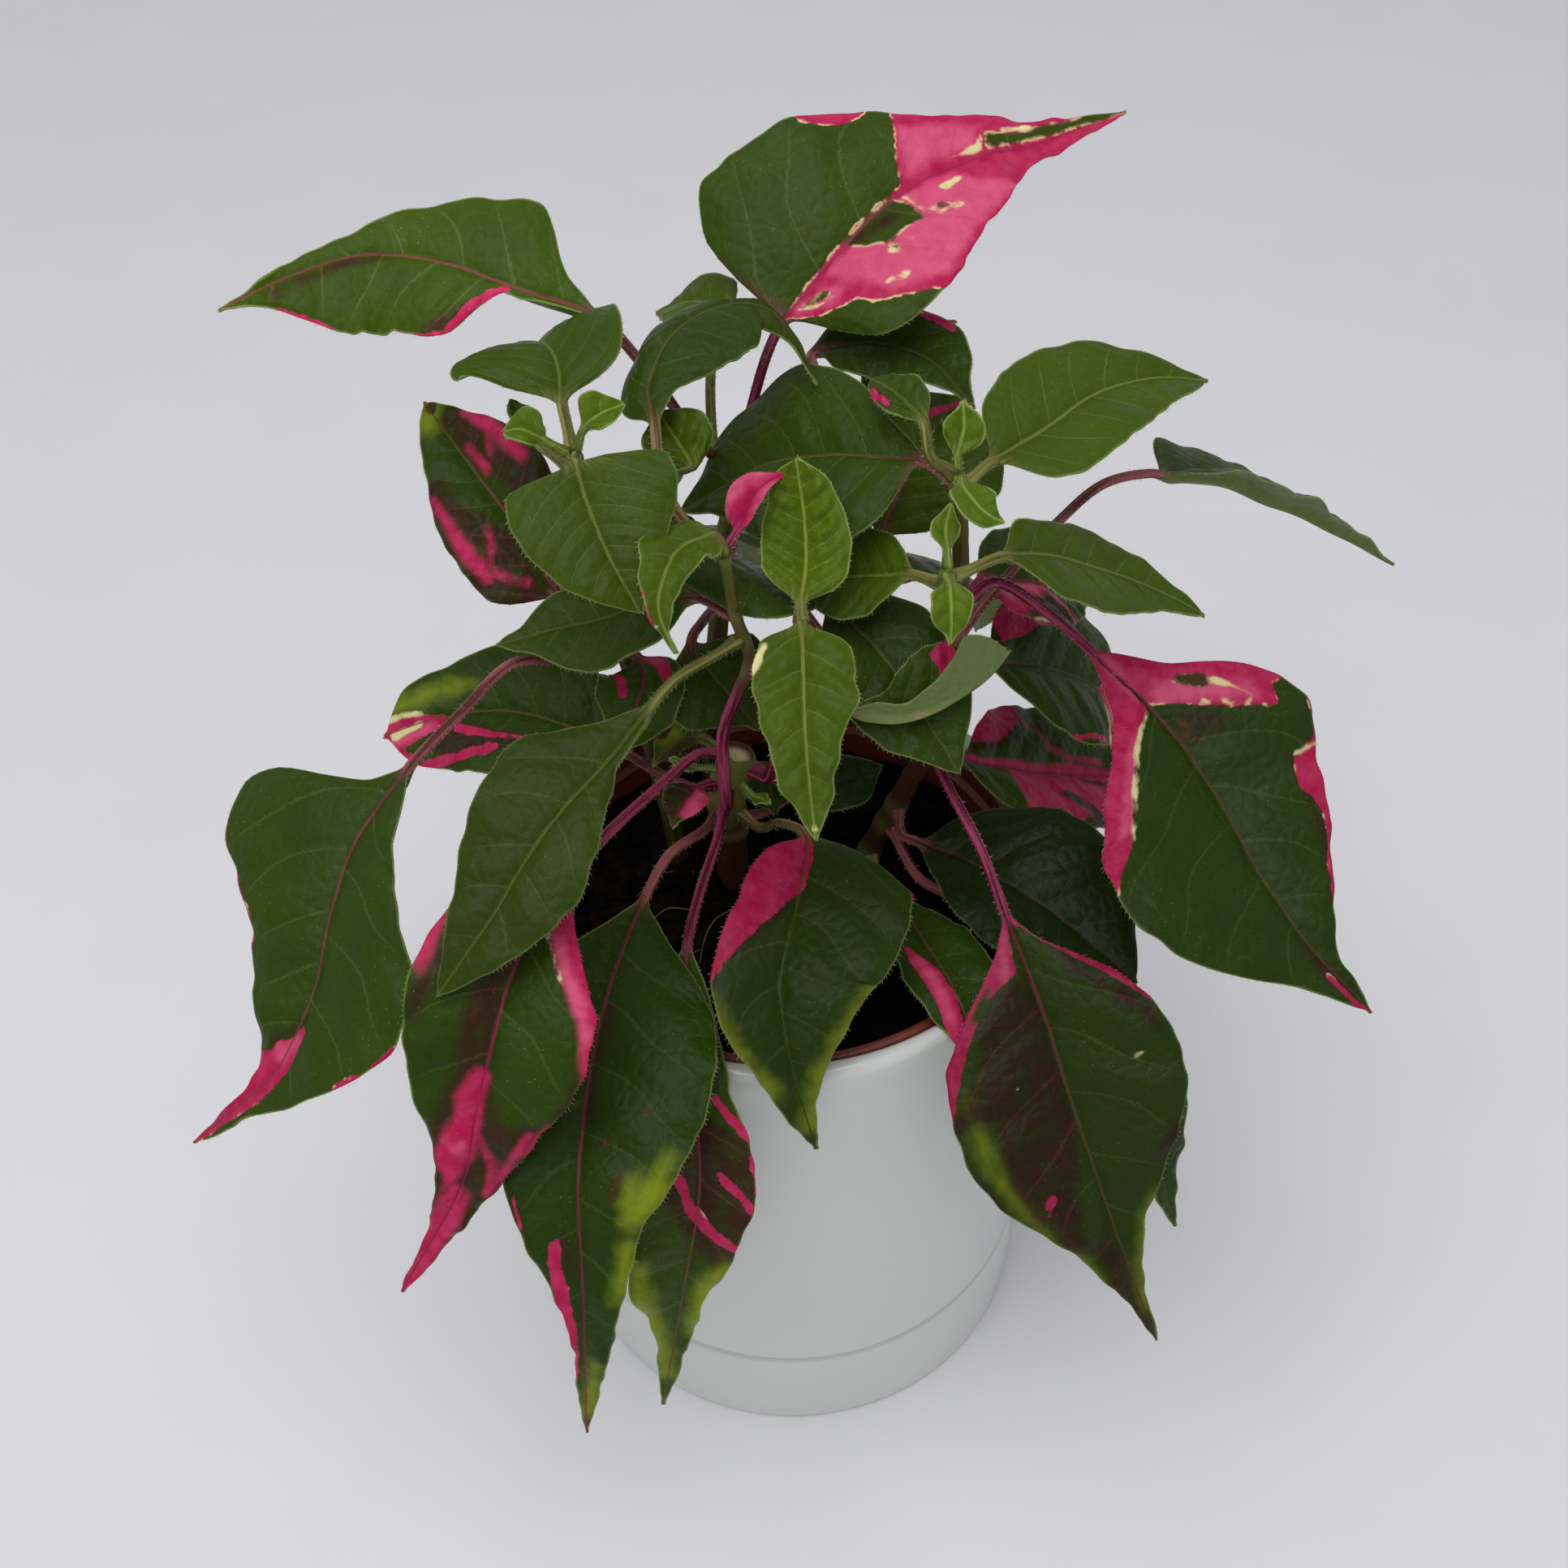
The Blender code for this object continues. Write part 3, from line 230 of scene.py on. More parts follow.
# Stems, bottom to top, with the radius at both ends. A stem grows from the soil or from another stem. Slim
# narrows it, red is how far its skin is flushed, and pink is where along it the pink foot of a shoot fades.
STEMS = {
    "old_stem": dict(
        grows_from="soil", radius=(3.4, 2.9), slim=0.9, red=0.8,
        points=[(-9, 4, 96), (-9, 4, 109), (-9, 2, 124), (-9, -1, 137), (-7, 0, 144)]),
    "left_stem": dict(
        grows_from="soil", radius=(2.0, 1.2), red=0.4,
        points=[(-19, 9, 96), (-19, 9, 109), (-22, 12, 133), (-26, 13, 160), (-29, 9, 186), (-29, 5, 201)]),
    "top_stem": dict(
        grows_from="soil", radius=(2.2, 1.5), red=0.5,
        points=[(-12, 17, 96), (-12, 17, 109), (-12, 19, 133), (-9, 24, 160), (-6, 27, 182)]),
    "rear_stem": dict(
        grows_from="soil", radius=(2.0, 1.3), red=0.4,
        points=[(8, 20, 96), (8, 20, 109), (9, 22, 140), (14, 21, 170), (18, 26, 182)]),
    "right_stem": dict(
        grows_from="soil", radius=(2.1, 1.2), red=0.9,
        points=[(15, 6, 96), (15, 6, 109), (21, 4, 128), (26, 0, 148), (27, -4, 170), (26, -8, 187)]),
    "right_back_stem": dict(
        grows_from="soil", radius=(1.9, 1.2), red=0.6,
        points=[(22, 16, 96), (22, 16, 109), (26, 13, 135), (30, 9, 165), (29, 4, 187), (28, 2, 197)]),
    "front_shoot": dict(
        grows_from="old_stem", radius=(1.6, 1.1), slim=0.72, red=0.65, pink=(0.5, 0.62),
        points=[(-9, -7, 139), (-9, -7, 154), (-6, -9, 166), (-4, -9, 172), (-6, -9, 182), (-7, -8, 192)]),
    "middle_shoot": dict(
        grows_from="old_stem", radius=(1.6, 1.1), slim=0.85, red=0.6, pink=(0.3, 0.5),
        points=[(-2, -3, 141), (1, -6, 156), (3, -10, 173), (4, -12, 181)]),
}

# What every leaf has unless its kind or its own entry says otherwise. The stalk goes from the stem to the
# blade, and the rib from the blade's base to its tip. The face is where the upper side looks at
# FACE_FRACTION of the blade, and fold lifts the two halves from flat, in degrees. The age goes from 0,
# light green, to 1, dark green. The reds are how far the stalk and the midrib are flushed, and rib_fade is
# the share of the blade over which one turns into the other. A low border melts the pink's edge, a high one
# draws it in cream. Dark is the share of the colour that is taken away, and a negative one lightens it. It
# is partly the leaf's own tone and partly painted shade, which darkens the leaves that lie deeper in shade.
# Wave, pucker, uneven and spread are shares of the usual waves, quilting, unevenness of the edge and width.
ANY_LEAF = dict(stalk=[], face=(0, -4, 10), fold=(8, 8), rib_red=0.0, rib_fade=0.25, border=0.2,
                dark=0.0, wave=1.0, pucker=1.0, uneven=1.0, spread=1.0, stalk_radius=0.86)
LEAF_KINDS = {
    "old_green": dict(age=0.9, stalk_red=0.8, rib_red=0.15, dark=0.1),
    "young_green": dict(age=0.1, stalk_red=0.18, pucker=0.8),
    "splashed": dict(age=0.8, stalk_red=1.0, rib_red=0.7, rib_fade=0.9),
    "tip": dict(age=0.0, stalk_red=0.0, stalk_radius=0.6, wave=0.9, pucker=1.6, dark=-0.4, spread=0.8),
}

# Leaves. The half widths of a blade are for both sides or for left and right, as the upper side is seen with
# its tip up: five of them at the inner STATIONS, or a list of places from the blade's base with the width
# there. A marking is a list of patches and brush strokes. A patch is a list of corners, each how far from
# the base and how far right of the midrib, and a stroke's points have its radius as well.
LEAVES = {
    "top_leaf": dict(
        stem="top_stem", kind="splashed", age=0.62, rib_red=0.9, border=0.5,
        stalk=[(-3, 32, 190), (0, 38, 197)],
        rib=[(3, 44, 200), (11, 50, 207), (22, 58, 214), (36, 65, 217), (49, 71, 217), (63, 79, 218)],
        face=(-2, -6, 10), fold=(12, 12),
        left=[(1.5, 13.5), (4, 20.5), (9, 25.4), (17, 24.2), (24, 21.5), (31, 15.8), (36, 12.2), (41, 9),
            (46, 7.8), (52, 6), (58, 3.6), (66, 2)],
        right=[(4, 11), (9, 18), (16, 20.3), (23, 20.2), (31, 17.6), (37, 14.7), (45, 9.8), (52, 5),
            (59, 3), (66, 1.8)],
        pink=[[(0, 0), (1.5, 3), (4, 6), (8, 8.5), (10, 9.5), (11, 12.5), (13, 14.5), (15, 17), (17.5, 19),
            (21, 24), (80, 24), (80, -24), (36, -24), (35, -15), (34, -12), (33, -9), (31, -5), (29.5, -1),
            (15, -0.8), (0, -0.3)], [(24.5, -19.5), (25, -25), (34, -20), (31.5, -15), (28, -15),
            (26, -17)]],
        rose=[[(10, 1), (14, 14), (22, 19), (30, 17), (46, 9), (40, 5), (38, 1)], [(31, -2), (34, -10),
            (38, -8), (46, -5), (44, -1.5)], [(3, 1.5, 1), (8, 5, 2)]], wine=[[(17, 1, 1), (24, 3, 1.5)]],
        brown=[[(12.5, -7, 0.15), (14, -6.7, 0.25)]],
        isle=[[(16, -0.6), (17, 3), (20, 6.4), (24, 7), (27.6, 7.6), (28, 4), (27, -0.6)], [(46.5, -3.4),
            (46, -1), (57, -0.8), (70, 0), (76, 0), (76, -3), (70, -2), (62, -1.8), (57, -2.6), (52, -2.4),
            (50, -2.8)], [(31.6, 7.6, 0.7), (33, 8.2, 0.4)], [(20, 8.2, 0.6)], [(4, 2.2, 0.5),
            (7.5, 3.8, 0.7)]],
        cream=[[(30, 6.6, 0.3), (31, 8.9, 0.3), (34.5, 9, 0.6)], [(35, 4, 0.9), (38, 3, 0.6)],
            [(18, 7, 0.4), (20, 9.3, 0.5), (24, 9.3, 0.4)], [(14.5, 12, 0.5), (17, 13.5, 0.6)],
            [(46, -3.8, 0.3), (44.6, -1.4, 0.5), (40, -1.5, 0.2)], [(55, -3.2, 0.5), (50, -3.4, 0.4)],
            [(3, 1.6, 0.3), (5, 4.2, 0.3), (8, 4.8, 0.4)], [(28.5, 1, 0.1), (28.8, 7, 0.3),
            (22, 7.6, 0.3)]]),
    "arched_leaf": dict(
        stem="front_shoot", age=0.75, stalk_red=0.45, rib_red=0.1, wave=0.6,
        stalk=[(-12, -3, 193), (-16, 3, 197)],
        rib=[(-17, 10, 203), (-18, 16, 206), (-14, 24, 210), (-7, 30, 211), (1, 32, 209), (8, 23, 201)],
        face=(-4, -5, 10), fold=(-30, -10), left=(6, 6, 5, 3, 1), right=(5, 10, 11, 7, 2)),
    "top_back_small_leaf": dict(
        stem="top_stem", kind="young_green", stalk=[(-9, 33, 182), (-9, 44, 194)],
        rib=[(-6, 50, 199), (-12, 55, 198), (-19, 60, 193)], face=(0, -3, 10), fold=(10, 10),
        left=(6, 7, 7, 5, 2), right=(5, 6, 6, 4, 1)),
    "top_back_dark_leaf": dict(
        stem="rear_stem", stalk=[(12, 30, 189), (8, 38, 194)],
        rib=[(8, 44, 194), (17, 43, 196), (26, 38, 196), (33, 26, 194)], face=(3, -6, 10), fold=(8, 0),
        left=(5, 8, 8, 6, 2), right=(5, 7, 6, 4, 1), pink=[[(20, -6.4, 0.8), (16, -7.4, 0.8)]],
        wine=[[(15, 7.5, 1.4)]]),
    "top_rolled_leaf": dict(
        stem="rear_stem", kind="splashed", age=0.6, stalk=[(19, 30, 183)],
        rib=[(19, 36, 185), (19, 43, 189), (25, 51, 193), (33, 58, 191)], face=(0, -5, 10), fold=(40, 40),
        both=(3, 4, 4, 3, 1), pink=[[(32, -3), (32, 3), (25, 2.5), (22.5, 0.6), (25, -1.6)]],
        wine=[[(4, 1.5, 1.2), (10, 1.6, 0.6)], [(22, 0, 1.4)]]),
    "upper_left_leaf": dict(
        stem="top_stem", age=0.6, rib_red=0.8, rib_fade=1.0, dark=-0.35,
        stalk=[(-11, 24, 190), (-19, 30, 200)],
        rib=[(-27, 34, 208), (-37, 36, 211), (-49, 40, 214), (-59, 42, 215), (-69, 40, 215),
            (-84, 30, 213)], face=(0, -5, 10), fold=(-15, 8),
        left=[(10, 1.3), (14, 1.7), (17, 5), (20, 10), (24, 12.6), (30, 12.5), (36, 12.8), (42, 12.9),
            (46, 11.8), (50, 9), (54, 4.6), (58, 1.8)],
        right=[(5, 4), (10, 11), (15, 14.8), (20, 13.2), (25, 11.3), (30, 9.3), (35, 6), (40, 3.8),
            (50, 2.2), (57, 0.9)],
        pink=[[(14, -0.6, 0.5), (18, -4.8, 0.6), (21, -11.6, 0.6), (25, -13.2, 0.8), (32, -13, 0.6)],
            [(48, -11, 0.4), (52, -7.4, 0.9), (55, -4, 0.5)]],
        wine=[[(18, -6, 0.8), (24, -11.5, 1)], [(34, -1, 0.6), (44, -1.6, 1), (54, -1.6, 1)]]),
    "left_small_leaf": dict(
        stem="left_stem", kind="young_green", age=0.45, spread=1.22, stalk=[(-30, 9, 204)],
        rib=[(-31, 14, 205), (-32, 21, 208), (-35, 28, 207), (-38, 34, 201)], left=(7, 12, 13, 9, 3),
        right=(5, 9, 10, 8, 3)),
    "left_dark_leaf": dict(
        stem="left_stem", kind="splashed", age=0.85, rib_red=0.3, border=0.05, spread=1.18,
        stalk=[(-31, 13, 167)],
        rib=[(-35, 13, 169), (-41, 20, 176), (-48, 28, 182), (-54, 36, 186), (-58, 42, 188)],
        face=(-2, -6, 10), fold=(12, 12), left=(9, 10, 9, 6, 3), right=(5, 8, 9, 7, 3),
        pink=[[(25, -8.6, 0.5), (18, -8.9, 0.9), (13, -9.4, 1.4), (8, -8.6, 1)], [(29, 1.6, 0.5),
            (24, 1.8, 0.6)], [(35, 5, 0.9), (29, 6.8, 1.2), (22, 8, 1.2)], [(31, 7.5, 0.5), (26, 4, 0.4)],
            [(4, -3, 0.3), (7, -6.5, 0.5), (10, -8, 0.6)], [(16, -4, 0.3), (12, -5.5, 0.4), (9, -8, 0.5)]],
        wine=[[(-1, -12), (30, -12), (27, -5), (20, -5), (16, -2), (10, -1), (2, -1)], [(14, 1), (20, 3),
            (26, 0.6), (37, 0.2), (38, 4), (27, 14), (10, 14), (4, 3)]], brown=[[(40, 0.5, 0.7)]],
        lime=[[(37, -2, 1.4), (40, 0, 2)]]),
    "heart_leaf": dict(
        stem="left_stem", kind="young_green", age=0.25, dark=0.15, pucker=0.5, stalk=[(-29, 0, 203)],
        rib=[(-28, -3, 205), (-26, -9, 202), (-23, -15, 197), (-19, -20, 191)], face=(0, -6, 10),
        fold=(5, 5), left=[(0.8, 10), (2.5, 13), (6, 13.8), (10, 12.6), (15, 9.6), (20, 5)],
        right=[(1.5, 9.6), (3, 11), (6, 11.6), (10, 11), (15, 8.8), (20, 4.5)]),
    "left_sliver_leaf": dict(
        stem="left_stem", kind="young_green", stalk=[(-32, 9, 198)], rib=[(-34, 12, 198), (-37, 17, 199),
            (-40, 23, 200)], face=(0, -5, 10), fold=(20, 20), both=(1, 2, 2, 2, 1)),
    "puckered_leaf": dict(
        stem="left_stem", kind="young_green", pucker=2.8, spread=1.12, stalk=[(-24, 12, 190),
            (-18, 12, 194)], rib=[(-12, 10, 195), (-14, 13, 198), (-17, 18, 200)], face=(0, -6, 10),
        fold=(15, 15), both=(4, 5, 5, 4, 2)),
    "left_dull_leaf": dict(
        stem="front_shoot", age=0.6, stalk=[(-8, -7, 181)],
        rib=[(-12, -4, 181), (-20, -2, 178), (-28, 0, 174), (-36, 0, 172), (-44, -2, 171)], fold=(5, 5),
        left=(6, 9, 10, 8, 3), right=(7, 9, 8, 6, 2)),
    "left_splashed_leaf": dict(
        stem="old_stem", age=0.8, rib_red=0.3, stalk=[(-14, 4, 131), (-21, 7, 133)],
        rib=[(-29, 11, 136), (-38, 15, 138), (-47, 19, 138), (-58, 20, 137), (-71, 18, 134)],
        face=(0, -5, 10), left=[(5.5, 6), (13.7, 11.5), (22, 13), (30, 12), (36, 10.5), (40, 8)],
        right=[(5.5, 9), (13.7, 13.5), (22, 13.3), (26, 11.5), (30, 9.8), (36, 8.5), (40, 6)],
        pink=[[(32.6, -0.6), (35, -3), (39, -4), (44, -4.6), (47, -2), (47, 2.6), (42, 2), (37, 1.2),
            (33, 0.4)], [(38.5, -9.6, 1.2), (34, -9.3, 1), (28, -9.1, 0.9), (24, -8.6, 1),
            (21.6, -7.8, 0.6)], [(30.4, -3.4, 0.8), (28, -4.2, 0.9), (24, -5.2, 0.8), (19, -5.6, 0.6),
            (15, -5.2, 0.3)], [(41, -6.4, 0.8), (43, -4, 0.8)]], rose=[[(36, -2, 1), (42, -2, 1.5)]],
        wine=[[(14, -5), (20, -8), (34, -11), (36, -4), (30, -2), (24, -4)]],
        cream=[[(42.4, -1.2, 1.1), (38, -0.4, 0.7)], [(43, -4.6, 0.5), (44, -2, 0.6)], [(37, 1.6, 0.3),
            (43, 2.6, 0.5)]], lime=[[(28, 5, 0.6), (35, 4.6, 1.4), (41, 4, 1)]]),
    "far_left_leaf": dict(
        stem="left_stem", age=0.72, rib_red=0.55, rib_fade=1.0, border=0.3,
        stalk=[(-30, 8, 158), (-35, 2, 164), (-42, -2, 167), (-51, -6, 160)],
        rib=[(-60, -11, 153), (-68, -19, 146), (-72, -28, 140), (-75, -37, 131), (-82, -46, 121),
            (-97, -51, 109)], face=(-4, -4, 10), fold=(5, 5),
        left=[(5, 4.2), (9, 6.4), (15, 9), (22, 12.8), (30, 17.6), (37, 19.6), (42, 18.8), (46, 15.6),
            (51, 9.9), (57, 5), (61, 3), (67, 2)],
        right=[(5, 4.5), (8, 11), (11, 21), (14, 25.5), (18, 24.4), (22, 21), (25, 18.4), (29, 14.6),
            (36, 13.5), (42, 10.9), (48, 8), (52, 5.2), (56, 2.4), (64, 1.1)],
        pink=[[(45, -2.2), (44.5, -0.8), (47, 0.2), (48.5, 1.9), (51, 2.6), (53, 5), (60, 5), (75, 2),
            (75, -0.2), (60, -1.7), (52, -2.3), (48, -2.2)], [(46.5, -15.4, 0.7), (49, -12.4, 0.8)],
            [(41.5, -19.4, 0.7), (44, -17.6, 0.7)], [(24, 19.2, 0.3), (29, 14.6, 0.4), (36, 13.5, 0.3)]],
        rose=[[(47, -1, 1), (50, 0.6, 1.4)]], wine=[[(43, -1), (46, 1.6), (50, 3.6), (53, 3.6), (48, 1)]]),
    "front_left_leaf": dict(
        stem="front_shoot", kind="young_green", age=0.28, dark=0.42, stalk=[(-9, -12, 176),
            (-15, -16, 175)],
        rib=[(-19, -20, 173), (-26, -28, 169), (-33, -36, 166), (-38, -42, 162), (-43, -48, 157),
            (-51, -54, 148)], face=(-2, -5, 10), fold=(-10, 10),
        left=[(6.5, 1.7), (10, 2.1), (15, 4.4), (20, 7), (25, 9), (30, 9.8), (35, 9.3), (40, 7.4), (45, 5),
            (50, 2.5)],
        right=[(6.5, 4.8), (10, 7.8), (16, 12.2), (20, 13), (25, 11.7), (30, 10.6), (35, 8.8), (40, 6.6),
            (45, 4.4), (50, 2.4)]),
    "left_burgundy_leaf": dict(
        stem="old_stem", kind="splashed", age=0.9, rib_red=0.95, border=0.05,
        stalk=[(-13, -3, 147), (-19, -13, 150)],
        rib=[(-29, -30, 153), (-36, -41, 151), (-41, -50, 146), (-44, -57, 139), (-47, -62, 130),
            (-50, -66, 119), (-63, -71, 95)], face=(0, -8, 6), fold=(10, 10),
        left=[(10, 3.5), (15, 7), (20, 10.8), (26, 14.3), (34, 14.8), (39, 13.6), (43, 11.8), (50, 9),
            (56, 6), (61, 4.1), (70, 2.8), (78, 1.7)],
        right=[(10, 8), (18, 12.4), (26, 14.2), (34, 13.6), (39, 12), (43, 10.3), (50, 6.6), (56, 4.9),
            (62, 3.5), (70, 1.7), (78, 0.8)],
        pink=[[(8, -2), (15, -1.8), (20, -6), (24, -9.5), (28, -12), (33, -13.7), (37, -15), (37, -19),
            (26, -19), (8, -8)], [(39, -0.6), (38, 1), (39.5, 2.2), (43, 3.8), (46, 3), (50, 4.6),
            (55, 5.4), (60, 2), (57, 0.6), (52, -0.8), (46, -1)], [(60, -0.6), (59, 1.4), (64, 2.6),
            (88, 2), (88, -2), (68, -2)], [(58.5, -4.2, 0.3), (53, -3.6, 0.5), (49.5, -1, 0.4)],
            [(47, -8.6, 0.6), (54, -6, 0.5), (58, -4, 0.4)], [(44, -11.5, 0.4), (50, -9, 0.5)],
            [(60, -1.4, 0.5), (70, -1.2, 1.1), (80, -0.6, 0.9), (86, 0, 0.5)], [(60, 2.4, 0.3),
            (66, 1.2, 0.5)], [(20.5, 13.5, 1.4), (26, 13, 0.9)]],
        rose=[[(16, -3.5, 1), (24, -11, 1), (30, -13.5, 1)], [(52, 1.6, 0.8)]],
        wine=[[(10, 0.4), (20, 3), (30, 5), (38, 4.6), (46, 6), (56, 7), (90, 2), (90, -3), (56, -8),
            (44, -14), (46, -4), (39, -0.6), (24, 0.6)], [(34, -15, 0.8), (42, -12.6, 0.9),
            (48, -9.6, 1.2)], [(22, 10.5, 0.8), (32, 13, 1.2)]], cream=[[(15.5, -2, 0.15),
            (22, -7.6, 0.25)]]),
    "long_front_leaf": dict(
        stem="old_stem", age=1.0, rib_red=0.85, rib_fade=0.55, stalk=[(-13, -6, 132), (-19, -15, 135)],
        rib=[(-23, -22, 132), (-27, -32, 129), (-30, -44, 126), (-32, -56, 121), (-33, -66, 115),
            (-33, -76, 102), (-35, -84, 71)], face=(0, -6, 10), fold=(10, 10),
        left=[(5, 6), (12, 13.3), (20, 18.4), (29, 20.1), (37, 19.2), (44, 16.7), (49, 14.2), (54, 10.6),
            (60, 8.3), (68, 6), (77, 4.3), (87, 2.3)],
        right=[(5, 3.6), (12, 8.6), (20, 11.8), (29, 13.3), (40, 13), (50, 10.8), (55, 9), (61, 6.5),
            (68, 3.9), (75, 2), (87, 1.3)],
        pink=[[(56, 3.2), (56.5, 4.6), (60, 5), (65, 4.6), (72, 3.4), (84, 2.2), (84, 1.2), (76, 1),
            (74, 0.8), (70, 1.6), (64, 2.3), (60, 3)], [(50, 9.8, 0.2), (54, 8.9, 0.3)]],
        wine=[[(20, -1.2, 0.6), (38, -0.8, 0.7)], [(56, 2.4, 0.6), (62, 1.8, 0.6)], [(50, 10.5, 0.6),
            (56, 8.8, 0.6)]],
        brown=[[(41.2, -4.4, 0.12), (42, -3.6, 0.12)], [(36.3, -10.8, 0.1), (36.6, -9.8, 0.14)],
            [(46, -6.8, 0.1), (50, -5.6, 0.1)]],
        lime=[[(43, -14.5, 0.2), (49, -12, 2.2), (53, -9, 1.8)], [(50, -8.6, 1.6), (47, -9.6, 0.8)],
            [(58, -7.5, 1), (66, -5.6, 0.6)], [(80, -1.6, 0.4), (92, -0.6, 1.4)]]),
    "front_hidden_leaf": dict(
        stem="old_stem", kind="splashed", age=0.75, rib_red=0.4, stalk=[(-11, -10, 133), (-14, -19, 130)],
        rib=[(-16, -29, 128), (-16, -40, 125), (-15, -51, 118), (-15, -59, 103), (-19, -66, 82),
            (-24, -71, 54)], face=(0, -8, 6), fold=(10, 10),
        left=[(11, 4.2), (25, 6), (33, 8.4), (42, 9.3), (50, 7.6), (56, 6.8), (60, 5.2), (65, 3.7),
            (75, 2.7), (84, 1.6)],
        right=[(11, 4.5), (28, 8.8), (45, 10.8), (58, 10), (64, 9), (70, 5.1), (76, 3.1), (84, 1.8)],
        pink=[[(51.5, -8, 0.9), (50, -4.5, 1), (48.4, -1.5, 1.1), (46.4, 0.6, 1.1)], [(46, 1.2, 0.8),
            (41, 2.6, 0.9), (37, 4.6, 0.9), (33, 6, 0.6)], [(45, -9.4, 0.6), (41.5, -6.8, 0.8),
            (39.5, -4.6, 0.9), (38, -3.2, 0.5)], [(41, -9.8, 0.6), (35, -9, 0.9)], [(31.5, -8.5, 0.7),
            (28, -5, 0.7), (25, -3, 0.5)]],
        wine=[[(34, -10), (45, -10.5), (54, -8), (56, -4), (51, 1), (43, 6), (33, 8), (28, -2)]],
        lime=[[(55, -6, 0.8), (62, -3.6, 1.8), (72, -2.4, 0.6)], [(58, 8, 1), (66, 7, 2), (72, 3.6, 1.4),
            (84, 0.6, 1.2)]]),
    "centre_dark_leaf": dict(
        stem="old_stem", age=0.95, stalk_red=0.4, rib_red=0.0, dark=0.32, wave=0.7,
        stalk=[(-4, -5, 131), (0, -10, 137)],
        rib=[(4, -15, 139), (3, -24, 138), (1, -33, 136), (-1, -41, 133), (0, -49, 126), (4, -56, 109)],
        face=(0, -5, 10), fold=(5, 20),
        left=[(3, 8.5), (6, 14.5), (10, 18.4), (15, 18.3), (20, 17.3), (25, 15.9), (30, 14.4), (35, 11),
            (40, 7.1), (45, 4), (50, 1.9)],
        right=[(3, 4.5), (6, 7), (10, 8.8), (20, 10.3), (28, 11.3), (32, 10.4), (36, 8.6), (40, 6.5),
            (45, 4.7), (50, 3)],
        pink=[[(-1, -0.5), (3, -1.2), (8, -1.2), (11, -0.5), (13, 1), (16, 2.5), (19, 4.5), (23, 6.5),
            (26, 9), (29.5, 13), (20, 15), (8, 14), (-1, 6)], [(9.5, -18.6, 0.9)]],
        wine=[[(11, -0.5, 0.4), (16, 2, 0.6), (24, 7, 0.6)]], cream=[[(8.8, -7.2, 0.12),
            (9.6, -7.6, 0.12)]],
        lime=[[(29, -15, 0.6), (36, -10.5, 1), (44, -4.8, 2), (52, -0.5, 1.6)], [(31, 11, 0.8),
            (38, 7.8, 1), (44, 4.6, 1.6)]]),
    "shoot_leaf_up": dict(
        stem="middle_shoot", kind="young_green", age=0.0, dark=-0.35, pucker=3.4,
        rib=[(4, -10, 184), (5, -5, 187), (5, 0, 192), (4, 4, 200)], face=(0, -8, 10), fold=(12, 12),
        left=[(2, 5), (5, 6.8), (10, 6.9), (14, 6.2), (18, 5), (21, 3)],
        right=[(2, 4.5), (5, 6.5), (8, 7), (12, 6.5), (16, 5.6), (19, 4), (21, 2)]),
    "shoot_leaf_down": dict(
        stem="middle_shoot", kind="young_green", age=0.0, pucker=2.0, uneven=1.8,
        rib=[(4, -15, 184), (4, -23, 180), (4, -31, 175), (5, -40, 164)], face=(0, -6, 10),
        left=[(3, 5.8), (5, 7.4), (9, 8), (13, 7.8), (17, 5.8), (22, 4.6), (27, 3), (30, 1.6)],
        right=[(3, 6), (8, 7.6), (13, 7), (18, 5.8), (23, 4.8), (28, 2.5)],
        pink=[[(12, 8.5, 0.8), (8, 8.4, 0.5)]], cream=[[(4, 5.6, 0.6), (8, 7.8, 0.7)], [(31, 0, 0.6)]]),
    "small_wavy_leaf": dict(
        stem="front_shoot", kind="young_green", age=0.0, wave=2.0, pucker=2.0, uneven=2.2,
        rib=[(-8, -10, 197), (-13, -14, 198), (-15, -20, 198), (-16, -24, 195), (-14, -28, 190)],
        left=[(1, 4), (4, 5.5), (8, 5.5), (11, 4.2), (14, 3), (18, 2), (21, 1)],
        right=[(1, 3.5), (5, 5.2), (8, 5.2), (12, 4), (16, 3), (19, 1.5), (23, 0.6)],
        pink=[[(20, 1.5, 0.5), (16.5, 2.9, 0.5)]], cream=[[(20.5, 1, 0.3)]]),
    "back_green_leaf": dict(
        stem="right_back_stem", age=0.7, spread=1.38,
        rib=[(23, 7, 197), (16, 10, 196), (8, 14, 194), (-2, 18, 189), (-15, 18, 181)], face=(0, -3, 10),
        fold=(-15, 15), left=(8, 12, 12, 9, 3), right=(4, 9, 12, 9, 3)),
    "right_upper_leaf": dict(
        stem="right_back_stem", kind="young_green", age=0.2, wave=0.5, pucker=0.6,
        rib=[(34, 8, 196), (43, 15, 197), (51, 22, 198), (61, 28, 197), (71, 30, 195)], fold=(12, 12),
        left=[(5, 8.6), (10, 10.8), (15, 11.3), (20, 10.8), (25, 9.7), (30, 7.4), (35, 4.8), (40, 2.2)],
        right=[(5, 9.5), (10, 10.8), (20, 10.7), (25, 10), (30, 8.6), (35, 6.8), (40, 4.2)],
        wine=[[(45, 0, 1.2)]]),
    "right_light_leaf": dict(
        stem="right_stem", kind="young_green", age=0.3, wave=0.4,
        rib=[(35, -4, 187), (42, 0, 184), (51, 4, 178), (61, 6, 172), (70, 6, 166)], face=(2, -3, 10),
        fold=(10, 10), left=[(5, 5.8), (12, 6), (18, 6.8), (24, 5.4), (30, 4.6), (35, 3.3), (39, 1.8)],
        right=[(3, 4.5), (6, 9), (15, 10.4), (22, 9.8), (30, 6.4), (35, 4.2), (40, 2.2)]),
    "light_leaf_behind_shoot": dict(
